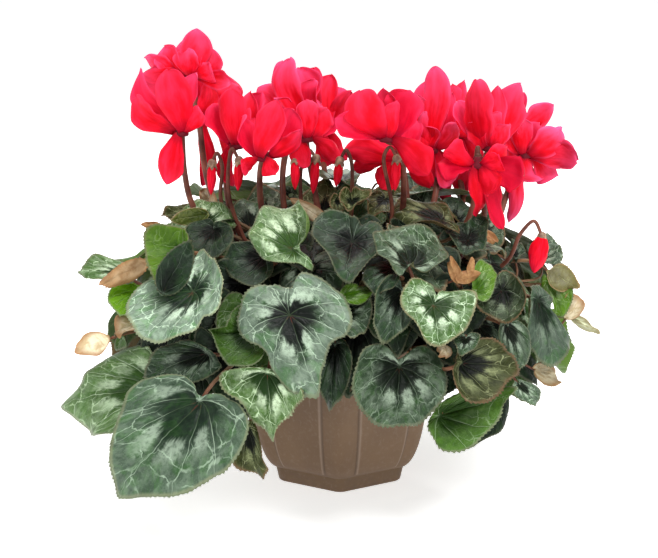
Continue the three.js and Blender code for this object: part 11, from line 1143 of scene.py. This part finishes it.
# ---------------------------------------------------------------- stems
def petiole_path(row, i):
    A, eT, eR, eL = (np.array(a, float) for a in row[1:5])
    N = unit(np.cross(eT, eR - eL))
    end = A + eT * 0.05 - N * (0.3 + funnel(np.linalg.norm(eT)))
    r = math.hypot(end[0], end[1])
    ux, uy = end[0] / r, end[1] / r
    before = A - N * 14.2 - unit(eT) * 10
    before[2] = max(before[2], 132) if r > 70 else before[2]
    start = 12 + 13 * min(max((250 - A[2]) / 140, 0), 1) + (i % 3)
    s = np.array([ux * start, uy * start, TUBER["z"] + 7])
    mid = np.array([ux * r * 0.42, uy * r * 0.42, max(TUBER["z"] + 30, TUBER["z"] + 14 + 0.55 * (end[2] - TUBER["z"]))])
    return [s, mid, before, end]


def stem_piece(name, path, radii, green, dark=1.0, sides=10, replaces=()):
    v, f = tube(path, radii, sides)
    cc = np.tile([0.0, dark, 0.0, 1.0], (len(v), 1))
    cc[:, 0] = np.repeat(np.broadcast_to(green, (len(path),)), sides)
    return piece(name, v, f, [M_STEM], dict(sc=cc), replaces=replaces)


for i, row in enumerate(LEAVES):
    if row[0].startswith("fold"):
        continue
    big = np.linalg.norm(row[2]) > 30
    path = curve(petiole_path(row, i if row[0] in NODES else i + 1), 9)
    t = np.linspace(0, 1, len(path))
    radii = (1.95 if big else 1.25) * (1 - 0.35 * t)
    radii[-3:] *= [0.95, 0.85, 0.6]
    stem_piece(row[0] + "_petiole", path, radii, 0.75 - 0.65 * smooth(0.3, 1.0, t), 0.9 + 0.3 * ((i * 37) % 10) / 10, 8)


def stalk_path(row):
    M, lo, hi = np.array(row[1], float), np.array(row[3][0], float), np.array(row[3][1], float)
    r = math.hypot(lo[0], lo[1]) or 1
    s = np.array([lo[0] / r * min(11, r * 0.12), lo[1] / r * min(11, r * 0.12), TUBER["z"] + 9])
    bend = np.array([lo[0] * 0.55, lo[1] * 0.55, TUBER["z"] + 42])
    return [s, bend, lo, hi, M + [0, 8.5, -3], M + [0, 8.5, 6], M + [0, 5.8, 11.2], M + [0, 2, 12], M + [0, 0, 8]]


for i, row in enumerate(FLOWERS):
    path = curve(stalk_path(row), 9)
    t = np.linspace(0, 1, len(path))
    radii = 2.85 * (1 - 0.42 * t)
    stem_piece(row[0] + "_stalk", path, radii, 0.0 * t, 0.8 + 0.35 * ((i * 53) % 10) / 10, 12)


# ---------------------------------------------------------------- flowers
PETAL_W = np.array([[0, 0.26], [0.08, 0.38], [0.22, 0.62], [0.4, 0.87], [0.58, 1], [0.74, 0.955], [0.88, 0.74], [0.96, 0.45], [1, 0.0]])
MOUTH_R = 4.4


def petal(mouth, spec, number, backlit_pink=0.4, shade=1.0, nu=22, nv=12):
    """Points, faces and attributes of one petal, a closed thin sheet."""
    tx, ty, tz, width, turn, bow, twist, place = spec
    g = np.random.default_rng(number)
    c = math.radians(place)
    outd = np.array([math.cos(c), math.sin(c), 0])
    M = np.array(mouth, float) + outd * MOUTH_R
    T = np.array([tx, ty, tz], float)
    eT = T - M
    a = unit(eT)
    lat = unit(np.cross(a, FRONT))
    nn = np.cross(lat, a)
    u0 = np.linspace(0, 1, nu + 1)
    u = 1 - (1 - u0) ** 1.55
    v = np.linspace(-1, 1, nv + 1)
    th = np.radians(turn + twist * (u - 0.2))
    l = lat[None] * np.cos(th)[:, None] + nn[None] * np.sin(th)[:, None]
    n = np.cross(l, a)
    if n[0] @ outd < 0:
        n = -n
    slim = g.uniform(0.68, 0.92)
    width = width * slim
    w = width / 2 * np.interp(u, PETAL_W[:, 0], PETAL_W[:, 1])
    sharp = 1.7 + 1.3 * g.random()
    blunt = g.uniform(0.5, 0.85)
    w = np.where(u > 0.66, width / 2 * np.clip(1 - np.clip((u - 0.60) / 0.40, 0, 1) ** sharp, 0, 1) ** blunt, w)
    sway = g.normal() * 0.13 * np.linalg.norm(eT) * np.sin(math.pi * u) * u
    twist = twist + g.normal() * 24
    th = np.radians(turn + twist * (u - 0.2))
    l = lat[None] * np.cos(th)[:, None] + nn[None] * np.sin(th)[:, None]
    n = np.cross(l, a)
    if n[0] @ outd < 0:
        n = -n
    centre = M + u[:, None] * eT + sway[:, None] * lat + outd * (bow * 2.4 * u**0.7 * (1 - u) ** 1.3)[:, None]
    f1, f2, f3 = g.random(3) * 6
    fuller = g.normal() * 0.07
    wav = np.sin(u[:, None] * 6 + v[None] * 2.2 + f1) * 1.3 + np.sin(u[:, None] * 12 - v[None] * 3 + f2) * 0.5
    lean = g.normal() * 0.22
    fold = g.choice([-1.0, -0.8, 0.7]) * g.uniform(0.22, 0.55)
    curl = fold * w[:, None] * (v[None] ** 2) + lean * w[:, None] * v[None] * smooth(0.2, 0.9, u)[:, None]
    ruffle = np.sin(u[:, None] * 19 + np.sign(v[None]) * 2.0 + f3) * 0.8 * np.abs(v[None]) ** 4
    curl = curl + (wav * (0.30 + 1.5 * np.abs(v[None]) ** 2) + ruffle) * smooth(0.2, 0.6, u)[:, None] * (width / 30)
    roll = g.uniform(-0.20, 0.24, 2)
    curl = curl + np.where(v[None] > 0, roll[0], roll[1]) * w[:, None] * np.clip((np.abs(v[None]) - 0.55) / 0.45, 0, 1) ** 2 * smooth(0.25, 0.7, u)[:, None] * 1.6
    tipcurl = (g.random() - 0.4) * 10.0 * smooth(0.6, 1.0, u) ** 2
    groove = -0.35 * np.exp(-((v[None] / 0.16) ** 2)) * smooth(0.05, 0.3, u)[:, None]
    uneven = 1 + 0.03 * np.sin(u * 17 + f3)
    P = centre[:, None] + l[:, None] * ((v[None] * (1 + fuller * np.sign(v[None]) * smooth(0.3, 0.7, u)[:, None]) * (w * uneven)[:, None])[..., None]) + n[:, None] * (curl + groove + tipcurl[:, None])[..., None]
    # rounded end with a slight notch of its own
    P = P + a * (0.5 * np.sin(v * 3 + f2) * smooth(0.85, 1.0, u)[:, None])[..., None]
    du = np.gradient(P, axis=0)
    dv = np.gradient(P, axis=1)
    nv_ = unit(np.cross(dv, du))
    s = np.sign((nv_ * n[:, None]).sum(-1).mean()) or 1
    nv_ = nv_ * s
    th_ = 0.28 * (1 - 0.5 * u)[:, None] * (1 - 0.5 * v[None] ** 4)
    A_, B_ = P + nv_ * th_[..., None], P - nv_ * th_[..., None]
    verts = np.vstack([A_.reshape(-1, 3), B_.reshape(-1, 3)])
    cols = nv + 1
    nb = (nu + 1) * cols
    faces = []
    for i in range(nu):
        for j in range(nv):
            q = (i * cols + j, i * cols + j + 1, (i + 1) * cols + j + 1, (i + 1) * cols + j)
            faces.append(q if s > 0 else q[::-1])
            faces.append(tuple(nb + k for k in (q[::-1] if s > 0 else q)))
    ring = [j for j in range(cols)] + [i * cols + nv for i in range(1, nu + 1)] + [nu * cols + j for j in range(nv - 1, -1, -1)] + [i * cols for i in range(nu - 1, 0, -1)]
    for x, y in zip(ring, ring[1:] + ring[:1]):
        q = (x, nb + x, nb + y, y)
        faces.append(q if s > 0 else q[::-1])
    uu = np.repeat(u, cols)
    vv = np.tile(v, nu + 1)
    pc = np.stack([uu, vv, np.full(nb, (number * 3.7) % 40)], 1)
    lp = np.tile([backlit_pink, 0.0, shade, 1.0], (2 * nb, 1))
    lp[nb:, 1] = 1.0
    return verts, faces, dict(pc=np.vstack([pc, pc]), look_p=lp)


def lathe(centre, axis, profile, sides=20):
    """Turned surface; profile is (radius, distance along the axis)."""
    axis = unit(axis)
    u = unit(np.cross(axis, [0.2, 0.9, 0.1] if abs(axis[1]) < 0.8 else [1, 0, 0]))
    w = np.cross(axis, u)
    a = np.arange(sides) * 2 * math.pi / sides
    v = []
    for r, z in profile:
        v.append(centre + axis * z + r * (u[None] * np.cos(a)[:, None] + w[None] * np.sin(a)[:, None]))
    faces = []
    for i in range(len(profile) - 1):
        for j in range(sides):
            faces.append((i * sides + j, i * sides + (j + 1) % sides, (i + 1) * sides + (j + 1) % sides, (i + 1) * sides + j))
    return np.vstack(v), faces


def sepals(centre, axis, length, spread, count=5, turn=0.0, width=3.2):
    """Five small pointed sepals and the disc that joins them."""
    axis = unit(axis)
    u = unit(np.cross(axis, [0.2, 0.9, 0.1] if abs(axis[1]) < 0.8 else [1, 0, 0]))
    w = np.cross(axis, u)
    parts = []
    for s in range(count):
        a = turn + s * 2 * math.pi / count
        o = u * math.cos(a) + w * math.sin(a)
        side = np.cross(axis, o)
        P = []
        for t in np.linspace(0, 1, 7):
            c = centre + o * (1.6 + spread * math.sin(t * 1.45)) + axis * (length * t)
            ww = width * 0.5 * (1 - t**1.6) * (0.8 + 0.6 * t) + 0.05
            P.append([c - side * ww, c + o * 0.35 * (1 - t), c + side * ww])
        P = np.array(P)
        Q = P - np.array(o) * 0.45
        verts = np.vstack([P.reshape(-1, 3), Q.reshape(-1, 3)])
        n = 21
        f = []
        for i in range(6):
            for j in range(2):
                q = (i * 3 + j, i * 3 + j + 1, (i + 1) * 3 + j + 1, (i + 1) * 3 + j)
                f.append(q)
                f.append(tuple(n + k for k in q[::-1]))
        ring = [0, 1, 2] + [i * 3 + 2 for i in range(1, 7)] + [19, 18] + [i * 3 for i in range(5, 0, -1)]
        for x, y in zip(ring, ring[1:] + ring[:1]):
            f.append((x, n + x, n + y, y))
        parts.append((verts, f))
    parts.append(lathe(centre, axis, [(0.01, -1.6), (1.4, -1.3), (2.4, -0.4), (2.7, 0.6), (1.8, 1.2), (0.01, 1.3)], 14))
    return merge(parts)


# Strength of the painted backlight glow on each petal, higher for petals behind and above
BACKLIT_PINK = {
    "flower_01": [0.18, 0.18, 0.65, 0.65, 0.15, 0.3],
    "flower_02": [0.62, 0.62, 0.62, 0.97, 0.97, 0.5, 0.62, 0.62, 0.47, 0.62, 0.62],
    "flower_03": [0.3, 0.3, 0.65, 0.3, 0.3, 0.15, 0.18, 0.15],
    "flower_04": [0.18, 0.3, 0.3, 0.18, 0.15, 0.3, 0.3],
    "flower_05": [0.18, 0.3, 0.3, 0.3, 0.15, 0.15],
    "flower_06": [0.62, 0.62, 0.62, 0.97, 0.97, 0.62, 0.62],
    "flower_07": [0.3, 0.3, 0.3, 0.65, 0.65, 0.15, 0.15, 0.3],
    "flower_08": [0.3, 0.3, 0.3, 0.3, 0.15, 0.15],
    "flower_09": [0.18, 0.65, 0.3, 0.05, 0.3, 0.3],
    "flower_10": [0.12, 0.05, 0.47, 0.47, 0.05, 0.05, 0.05],
    "flower_11": [0.62, 0.62, 0.62, 0.97, 0.47, 0.62, 0.62, 0.62, 0.47],
    "flower_12": [0.42, 0.42, 0.42, 0.77, 0.42, 0.27, 0.42, 0.27, 0.42, 0.27, 0.42],
    "flower_13": [0.3, 0.42, 0.42, 0.77, 0.77, 0.42, 0.42, 0.42],
    "flower_14": [0.74, 0.74, 1.0, 1.0, 0.74, 0.59, 0.74, 0.59, 0.59],
    "flower_15": [0.92, 0.77, 0.77, 1.0, 0.77, 0.77, 0.65, 0.8, 0.8, 0.92, 0.77],
    "flower_16": [0.05, 0.12, 0.05, 0.05, 0.05, 0.12, 0.05, 0.05],
}
for i, row in enumerate(FLOWERS):
    name, M, petals = row[0], np.array(row[1], float), row[2]
    parts, pcs, lps = [], [], []
    for k, spec in enumerate(petals):
        v, f, at = petal(M, spec, i * 10 + k, BACKLIT_PINK[name][k], 1.0 if spec[2] > M[2] + 5 or name == "flower_01" else 0.80)
        parts.append((v, f))
        pcs.append(at["pc"])
        lps.append(at["look_p"])
    v, f = merge(parts)
    piece(name + "_petals", v, f, [M_PETAL], dict(pc=np.vstack(pcs), look_p=np.vstack(lps)), replaces=[name])
    # the tube round the mouth, open below, and the style inside it
    down = np.array([0, 0, -1.0])
    c = M + [0, 0, 6.5]
    v, f = lathe(c, down, [(2.0, 0), (3.5, 0.8), (4.4, 2.6), (4.5, 5.0), (5.5, 6.2), (6.1, 7.4), (6.0, 8.8), (5.3, 9.6), (4.6, 9.2), (4.0, 7.0), (3.5, 4.0), (0.02, 2.0)], 22)
    piece(name + "_mouth", v, f, [M_THROAT])
    v, f = lathe(c, down, [(0.9, 2.2), (0.9, 5.0), (0.5, 7.0), (0.35, 9.0), (0.02, 9.4)], 10)
    piece(name + "_style", v, f, [M_STYLE])
    v, f = sepals(c + [0, 0, 0.8], down, 5.0, 3.2, turn=i * 0.4)
    piece(name + "_calyx", v, f, [M_SEPAL])


def blob(centre, rx, ry, rz, nu=48, nv=24, amp=0.08, seed=1):
    g = np.random.default_rng(seed)
    th = np.linspace(0, math.pi, nv + 1)[1:-1]
    a = np.arange(nu) * 2 * math.pi / nu
    k = g.normal(size=(7, 3)) * 2.4
    ph = g.random(7) * 6
    d = np.array([[math.sin(t) * math.cos(b), math.sin(t) * math.sin(b), math.cos(t)] for t in th for b in a])
    d = np.vstack([[0, 0, 1], d, [0, 0, -1]])
    s = 1 + amp * sum(np.sin(d @ k[i] + ph[i]) for i in range(7)) / 3
    v = np.array(centre) + d * s[:, None] * [rx, ry, rz]
    f = [(0, 1 + j, 1 + (j + 1) % nu) for j in range(nu)]
    rows = len(th)
    for i in range(rows - 1):
        for j in range(nu):
            a0 = 1 + i * nu
            f.append((a0 + j, a0 + nu + j, a0 + nu + (j + 1) % nu, a0 + (j + 1) % nu))
    e = 1 + (rows - 1) * nu
    f += [(len(v) - 1, e + (j + 1) % nu, e + j) for j in range(nu)]
    return v, f


# ---------------------------------------------------------------- buds
def bud_path(row):
    C, (lo, hi, hook) = np.array(row[0], float), [np.array(p, float) for p in row[2]]
    r = math.hypot(lo[0], lo[1]) or 1
    s = np.array([lo[0] / r * 9, lo[1] / r * 9, TUBER["z"] + 9])
    bend = np.array([lo[0] * 0.55, lo[1] * 0.55, min(TUBER["z"] + 42, lo[2] - 20)])
    return [s, bend, lo, hi, hook, C]


def bud(row, number):
    """A furled bud: five petals wound round each other to a point."""
    C, T = np.array(row[0], float), np.array(row[1], float)
    axis = unit(T - C)
    length = np.linalg.norm(T - C)
    u = unit(np.cross(axis, [0.2, 0.9, 0.1]))
    w = np.cross(axis, u)
    nz, na = 26, 40
    t = np.linspace(0, 1, nz + 1)
    rad = (7.6 if C[0] > 150 else 3.9) * np.interp(t, [0, 0.08, 0.25, 0.5, 0.75, 0.92, 1], [0.35, 0.62, 0.92, 1.0, 0.74, 0.34, 0.04])
    v = []
    for tt, rr in zip(t, rad):
        a = np.arange(na) * 2 * math.pi / na
        ph = (5 * (a - 1.5 * tt * 1.4)) % (2 * math.pi) / (2 * math.pi)
        rr2 = rr * (0.90 + 0.16 * ph * smooth(0.0, 0.12, 1 - ph))
        v.append(C + axis * (length * tt) + rr2[:, None] * (u[None] * np.cos(a)[:, None] + w[None] * np.sin(a)[:, None]))
    v = np.vstack(v)
    f = [(i * na + j, i * na + (j + 1) % na, (i + 1) * na + (j + 1) % na, (i + 1) * na + j) for i in range(nz) for j in range(na)]
    f.append(tuple(range(na))[::-1])
    f.append(tuple(nz * na + j for j in range(na)))
    pc = np.stack([np.repeat(0.25 + 0.6 * t, na), np.tile(np.sin(np.arange(na) * 2 * math.pi / na * 5) * 0.6, nz + 1), np.full(len(v), number * 1.7)], 1)
    lp = np.tile([0.10, 0.0, 0.92, 1.0], (len(v), 1))
    return v, f, dict(pc=pc, look_p=lp)


for i, row in enumerate(BUDS):
    path = curve(bud_path(row), 9)
    t = np.linspace(0, 1, len(path))
    stem_piece(f"bud_{i + 1:02d}_stalk", path, 1.95 * (1 - 0.35 * t), 0.0 * t, 0.85, 12)
    v, f, at = bud(row, i)
    piece(f"bud_{i + 1:02d}_petals", v, f, [M_PETAL], at)
    C, T = np.array(row[0], float), np.array(row[1], float)
    v, f = merge([sepals(C, T - C, 5.6, 2.9, turn=i * 0.5, width=4.2), blob(C + unit(T - C) * 0.6, 3.7, 3.7, 3.9, 16, 10, 0.04, 60 + i)])
    piece(f"bud_{i + 1:02d}_calyx", v, f, [M_CALYX])


# ---------------------------------------------------------------- tuber and soil
v, f = blob([0, 0, TUBER["z"]], TUBER["r"], TUBER["r"], TUBER["h"], amp=0.05)
piece("tuber", v, f, [M_TUBER], replaces=["tuber_and_stems"])


def hex_radius(a, r, soft=0.0):
    """Distance from the axis to a hexagon of corner radius r with a corner at -Y, at angle a, with rounded corners."""
    k = (a + math.pi / 2) % (math.pi / 3) - math.pi / 6
    flat = r * math.cos(math.pi / 6) / np.cos(k)
    if soft <= 0:
        return flat
    # round the corner: blend to a circle that touches the faces
    corner = np.abs(k) / (math.pi / 6)
    return flat - soft * np.clip((corner - (1 - 0.16)) / 0.16, 0, 1) ** 2


def soil():
    n = 72
    v, f = [], []
    rings = 26
    a = np.arange(n) * 2 * math.pi / n
    g = np.random.default_rng(5)
    ks, phs = g.normal(size=(24, 2)) * 0.35, g.random(24) * 6
    v.append([0, 0, 111.0])
    for i in range(1, rings + 1):
        s = i / rings
        R = hex_radius(a, 83.2) * s
        X, Y = R * np.cos(a), R * np.sin(a)
        bumps = sum(np.sin(X * kx + Y * ky + p) for (kx, ky), p in zip(ks, phs)) / 6
        z = 110.2 + bumps * 0.9 - 4.0 * smooth(0.8, 1.0, s)
        v += [[x, y, q] for x, y, q in zip(X, Y, z)]
    base = len(v)
    f += [(0, 1 + j, 1 + (j + 1) % n) for j in range(n)]
    for i in range(rings - 1):
        b = 1 + i * n
        f += [(b + j, b + n + j, b + n + (j + 1) % n, b + (j + 1) % n) for j in range(n)]
    last = 1 + (rings - 1) * n
    for R0, z in ((80.5, 84), (76.5, 60), (72, 40), (58, 12), (56, 4.0)):
        R = hex_radius(a, R0)
        v += [[x, y, z] for x, y in zip(R * np.cos(a), R * np.sin(a))]
        nw = len(v) - n
        f += [(last + j, nw + j, nw + (j + 1) % n, last + (j + 1) % n) for j in range(n)]
        last = nw
    v.append([0, 0, 4.0])
    f += [(len(v) - 1, last + (j + 1) % n, last + j) for j in range(n)]
    return np.array(v, float), f


v, f = soil()
piece("soil_bed", v, f, [M_SOIL], replaces=["soil"])
g = np.random.default_rng(9)
clumps, stones = [], []
for i in range(230):
    a, s = g.random() * 2 * math.pi, math.sqrt(g.random()) * 0.95
    R = float(hex_radius(np.array([a]), 80)[0]) * s
    if R < 27:
        continue
    q = 1.2 + 2.2 * g.random() ** 2
    vv, ff = blob([R * math.cos(a), R * math.sin(a), 110.5 - 3.5 * float(smooth(0.8, 1.0, s)) + q * 0.2], q, q * (0.7 + 0.5 * g.random()), q * 0.7, 10, 6, 0.22, 100 + i)
    (stones if i % 9 == 0 else clumps).append((vv, ff))
v, f = merge(clumps)
piece("soil_clumps", v, f, [M_SOIL])
v, f = merge(stones)
piece("soil_perlite", v, f, [M_PERLITE])


# ---------------------------------------------------------------- pot
def pot():
    """The pot's wall, outside and over the rim to the inside, as one surface with raised panels, a foot band and a rim.
    """
    n = 6 * 48
    a = -math.pi / 2 + np.arange(n) * 2 * math.pi / n
    k = ((np.arange(n) % 48) / 48.0) * 2 - 1  # -1..1 across one face, corners at the ends
    prof = np.array(POT_PROFILE, float)
    zs = np.unique(np.r_[0, 0.8, 1.8, 6, 11.6, 12.4, 12.9, 13.3, 13.8, 14.6, 16, np.linspace(17, 107, 44), 108.5, 110, 112, 113.4, 114, 114.4, 114.8, 115.4, 116.5, 119, 122, 123.6, 124.5, 125])
    # a smooth bowl between the foot and the rim
    bz = np.array([13.8, 21.6, 33.5, 48, 72, 108, 114])
    br = np.array([64.6, 71.2, 76.4, 80, 83.8, 87, 87.4])
    cc = np.polyfit(np.sqrt(bz - 12.5), br, 4)
    R = []
    for z in zs:
        if z <= 12.6:
            r = 59 + 3 * z / 12.6 - (0.9 * max(0, 1 - z / 1.2) ** 2)
            if z > 11.6:
                r -= 0.5 * ((z - 11.6) / 1.0) ** 2
        elif z < 13.8:
            r = 61.6 + (64.6 - 61.6) * smooth(12.6, 13.8, z) - 0.2
        elif z <= 114:
            r = float(np.polyval(cc, math.sqrt(z - 12.5)))
        elif z < 115.4:
            r = 87.4 + (92.7 - 87.4) * float(smooth(114, 115.4, z))
        else:
            r = 92.7 + 0.5 * (z - 115.4) / 9.6 - 1.1 * max(0, (z - 123.4) / 1.6) ** 2
        R.append(r)
    v, f, panel_edge_light = [], [], []
    for z, r in zip(zs, R):
        base = hex_radius(a, r, 1.5)
        # panel: middle part of each face stands 1 mm proud, from above the foot to below the rim
        lim = 0.60
        inx = smooth(0, 1, (lim - np.abs(k)) / 0.022 + 0.5)
        inz = float(smooth(15.8, 17.2, z) * (1 - smooth(105.5, 107.5, z)))
        off = 1.45 * inx * inz
        rr = base + off / np.cos(((a + math.pi / 2) % (math.pi / 3)) - math.pi / 6)
        v.append(np.stack([rr * np.cos(a), rr * np.sin(a), np.full(n, z)], 1))
        # painted highlight just inside each panel's edge, painted shadow just outside it
        step_ = (np.abs(k) - lim) / 0.016
        panel_edge_light.append(np.stack([np.exp(-((step_ + 0.4) ** 2)) * inz, np.exp(-((step_ - 1.3) ** 2)) * inz], 1))
    outer = len(zs)
    inner = [(123.9, 88.6), (123.0, 86.8), (118, 86.4), (115, 84.2), (108, 83.9), (72, 80.8), (48, 77), (33.5, 73.4), (21.6, 68.2), (13.8, 61.6), (5, 58.4), (3.2, 57.2)]
    for z, r in inner:
        rr = hex_radius(a, r, 1.2)
        v.append(np.stack([rr * np.cos(a), rr * np.sin(a), np.full(n, z)], 1))
        panel_edge_light.append(np.zeros((n, 2)))
    rows = len(v)
    v = np.vstack(v)
    for i in range(rows - 1):
        for j in range(n):
            f.append((i * n + j, i * n + (j + 1) % n, (i + 1) * n + (j + 1) % n, (i + 1) * n + j))
    panel_edge_light = np.vstack(panel_edge_light)
    return v, f, n, rows, np.stack([panel_edge_light[:, 0], panel_edge_light[:, 1], np.zeros(len(v)), np.ones(len(v))], 1)


v, f, n, rows, panel_edge_light = pot()
me_parts = [(v, f)]
piece("pot_shell", v, f, [M_POT], dict(panel_edge_light=panel_edge_light), replaces=["pot"])


def floor_plate():
    """The pot's floor: a plate with four round drain holes, triangulated between its outline and the holes."""
    import bmesh

    bm = bmesh.new()
    n_ = 6 * 12
    a = -math.pi / 2 + np.arange(n_) * 2 * math.pi / n_
    R = hex_radius(a, 58.0, 1.2)
    edges = []

    def ring(pts):
        vs = [bm.verts.new((x * MM, y * MM, 0.25 * MM)) for x, y in pts]
        edges.extend(bm.edges.new((p, q)) for p, q in zip(vs, vs[1:] + vs[:1]))

    ring([(r * math.cos(b), r * math.sin(b)) for r, b in zip(R, a)])
    for i in range(4):
        c = (38 * math.cos(i * math.pi / 2), 38 * math.sin(i * math.pi / 2))
        ring([(c[0] + 5 * math.cos(t), c[1] - 5 * math.sin(t)) for t in np.arange(20) * 2 * math.pi / 20])
    bmesh.ops.triangle_fill(bm, use_beauty=True, use_dissolve=False, edges=edges)
    bmesh.ops.recalc_face_normals(bm, faces=bm.faces[:])
    me = bpy.data.meshes.new("pot_floor")
    bm.to_mesh(me)
    bm.free()
    me.materials.append(M_POT)
    ob = bpy.data.objects.new("pot_floor", me)
    bpy.context.scene.collection.objects.link(ob)
    s = ob.modifiers.new("thick", "SOLIDIFY")
    s.thickness = 2.9 * MM
    s.offset = 1.0
    if me.polygons[0].normal.z > 0:
        s.offset = 1.0
    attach(ob, "root")
    return ob


floor_plate()

# ---------------------------------------------------------------- floor, light and camera
def stage_plane(name, size, z, color, rough=0.9, glow=0.0):
    me = bpy.data.meshes.new(name)
    s = size
    me.from_pydata([(-s, -s, z), (s, -s, z), (s, s, z), (-s, s, z)], [], [(0, 1, 2, 3)])
    m = bpy.data.materials.new(name)
    m.use_nodes = True
    b = m.node_tree.nodes["Principled BSDF"]
    b.inputs["Base Color"].default_value = (*color, 1)
    b.inputs["Roughness"].default_value = rough
    b.inputs["Specular IOR Level"].default_value = 0.1
    b.inputs["Emission Color"].default_value = (1, 1, 1, 1)
    b.inputs["Emission Strength"].default_value = glow
    me.materials.append(m)
    ob = bpy.data.objects.new(name, me)
    bpy.context.scene.collection.objects.link(ob)
    return ob


stage_plane("floor", 14.0, -0.0004, (0.93, 0.93, 0.93), glow=0.66)

world = bpy.data.worlds.new("studio")
bpy.context.scene.world = world
world.use_nodes = True
wt = world.node_tree
bg = wt.nodes["Background"]
tc = wt.nodes.new("ShaderNodeTexCoord")
sx = wt.nodes.new("ShaderNodeSeparateXYZ")
wt.links.new(tc.outputs["Generated"], sx.inputs[0])
mr = wt.nodes.new("ShaderNodeMapRange")
mr.interpolation_type = "SMOOTHSTEP"
for s_, v_ in zip(mr.inputs[1:5], (0.04, 0.45, 0.80, 0.34)):
    s_.default_value = v_
# a narrow brighter band where the floor ends
hz = wt.nodes.new("ShaderNodeMapRange")
hz.interpolation_type = "SMOOTHSTEP"
for s_, v_ in zip(hz.inputs[1:5], (0.03, 0.12, 0.24, 0.0)):
    s_.default_value = v_
both = wt.nodes.new("ShaderNodeMath")
both.operation = "ADD"
wt.links.new(sx.outputs["Z"], mr.inputs[0])
wt.links.new(sx.outputs["Z"], hz.inputs[0])
wt.links.new(mr.outputs[0], both.inputs[0])
wt.links.new(hz.outputs[0], both.inputs[1])
wt.links.new(both.outputs[0], bg.inputs["Strength"])
bg.inputs["Color"].default_value = (1.0, 1.0, 1.0, 1)


def area(name, pos, target, size, power, color=(1, 1, 1)):
    d = bpy.data.lights.new(name, "AREA")
    d.shape = "RECTANGLE"
    d.size, d.size_y = size
    d.energy = power
    d.color = color
    o = bpy.data.objects.new(name, d)
    o.location = pos
    o.rotation_mode = "QUATERNION"
    o.rotation_quaternion = (Vector(target) - Vector(pos)).to_track_quat("-Z", "Y")
    bpy.context.scene.collection.objects.link(o)


area("key", (0.7, -1.3, 1.6), (0, 0, 0.15), (0.6, 0.6), 27)
area("fill", (-1.6, -1.0, 0.9), (0, 0, 0.2), (1.4, 1.2), 9)
area("top", (0.0, 0.4, 2.0), (0, 0, 0.2), (1.6, 1.6), 40)
area("back", (0.2, 1.9, 0.8), (0, 0, 0.25), (1.6, 0.8), 12)

bpy.context.scene.view_settings.view_transform = "Standard"
bpy.context.scene.view_settings.look = "None"

cam = bpy.data.cameras.new("camera")
cam.sensor_width = 36
cam.lens = 1470 / 658 * 36
cam.clip_start, cam.clip_end = 0.05, 50
co = bpy.data.objects.new("camera", cam)
co.location = (-0.009, -1.2, 0.44)
co.rotation_euler = (math.radians(90 - 12.8), 0, 0)
bpy.context.scene.collection.objects.link(co)
bpy.context.scene.camera = co
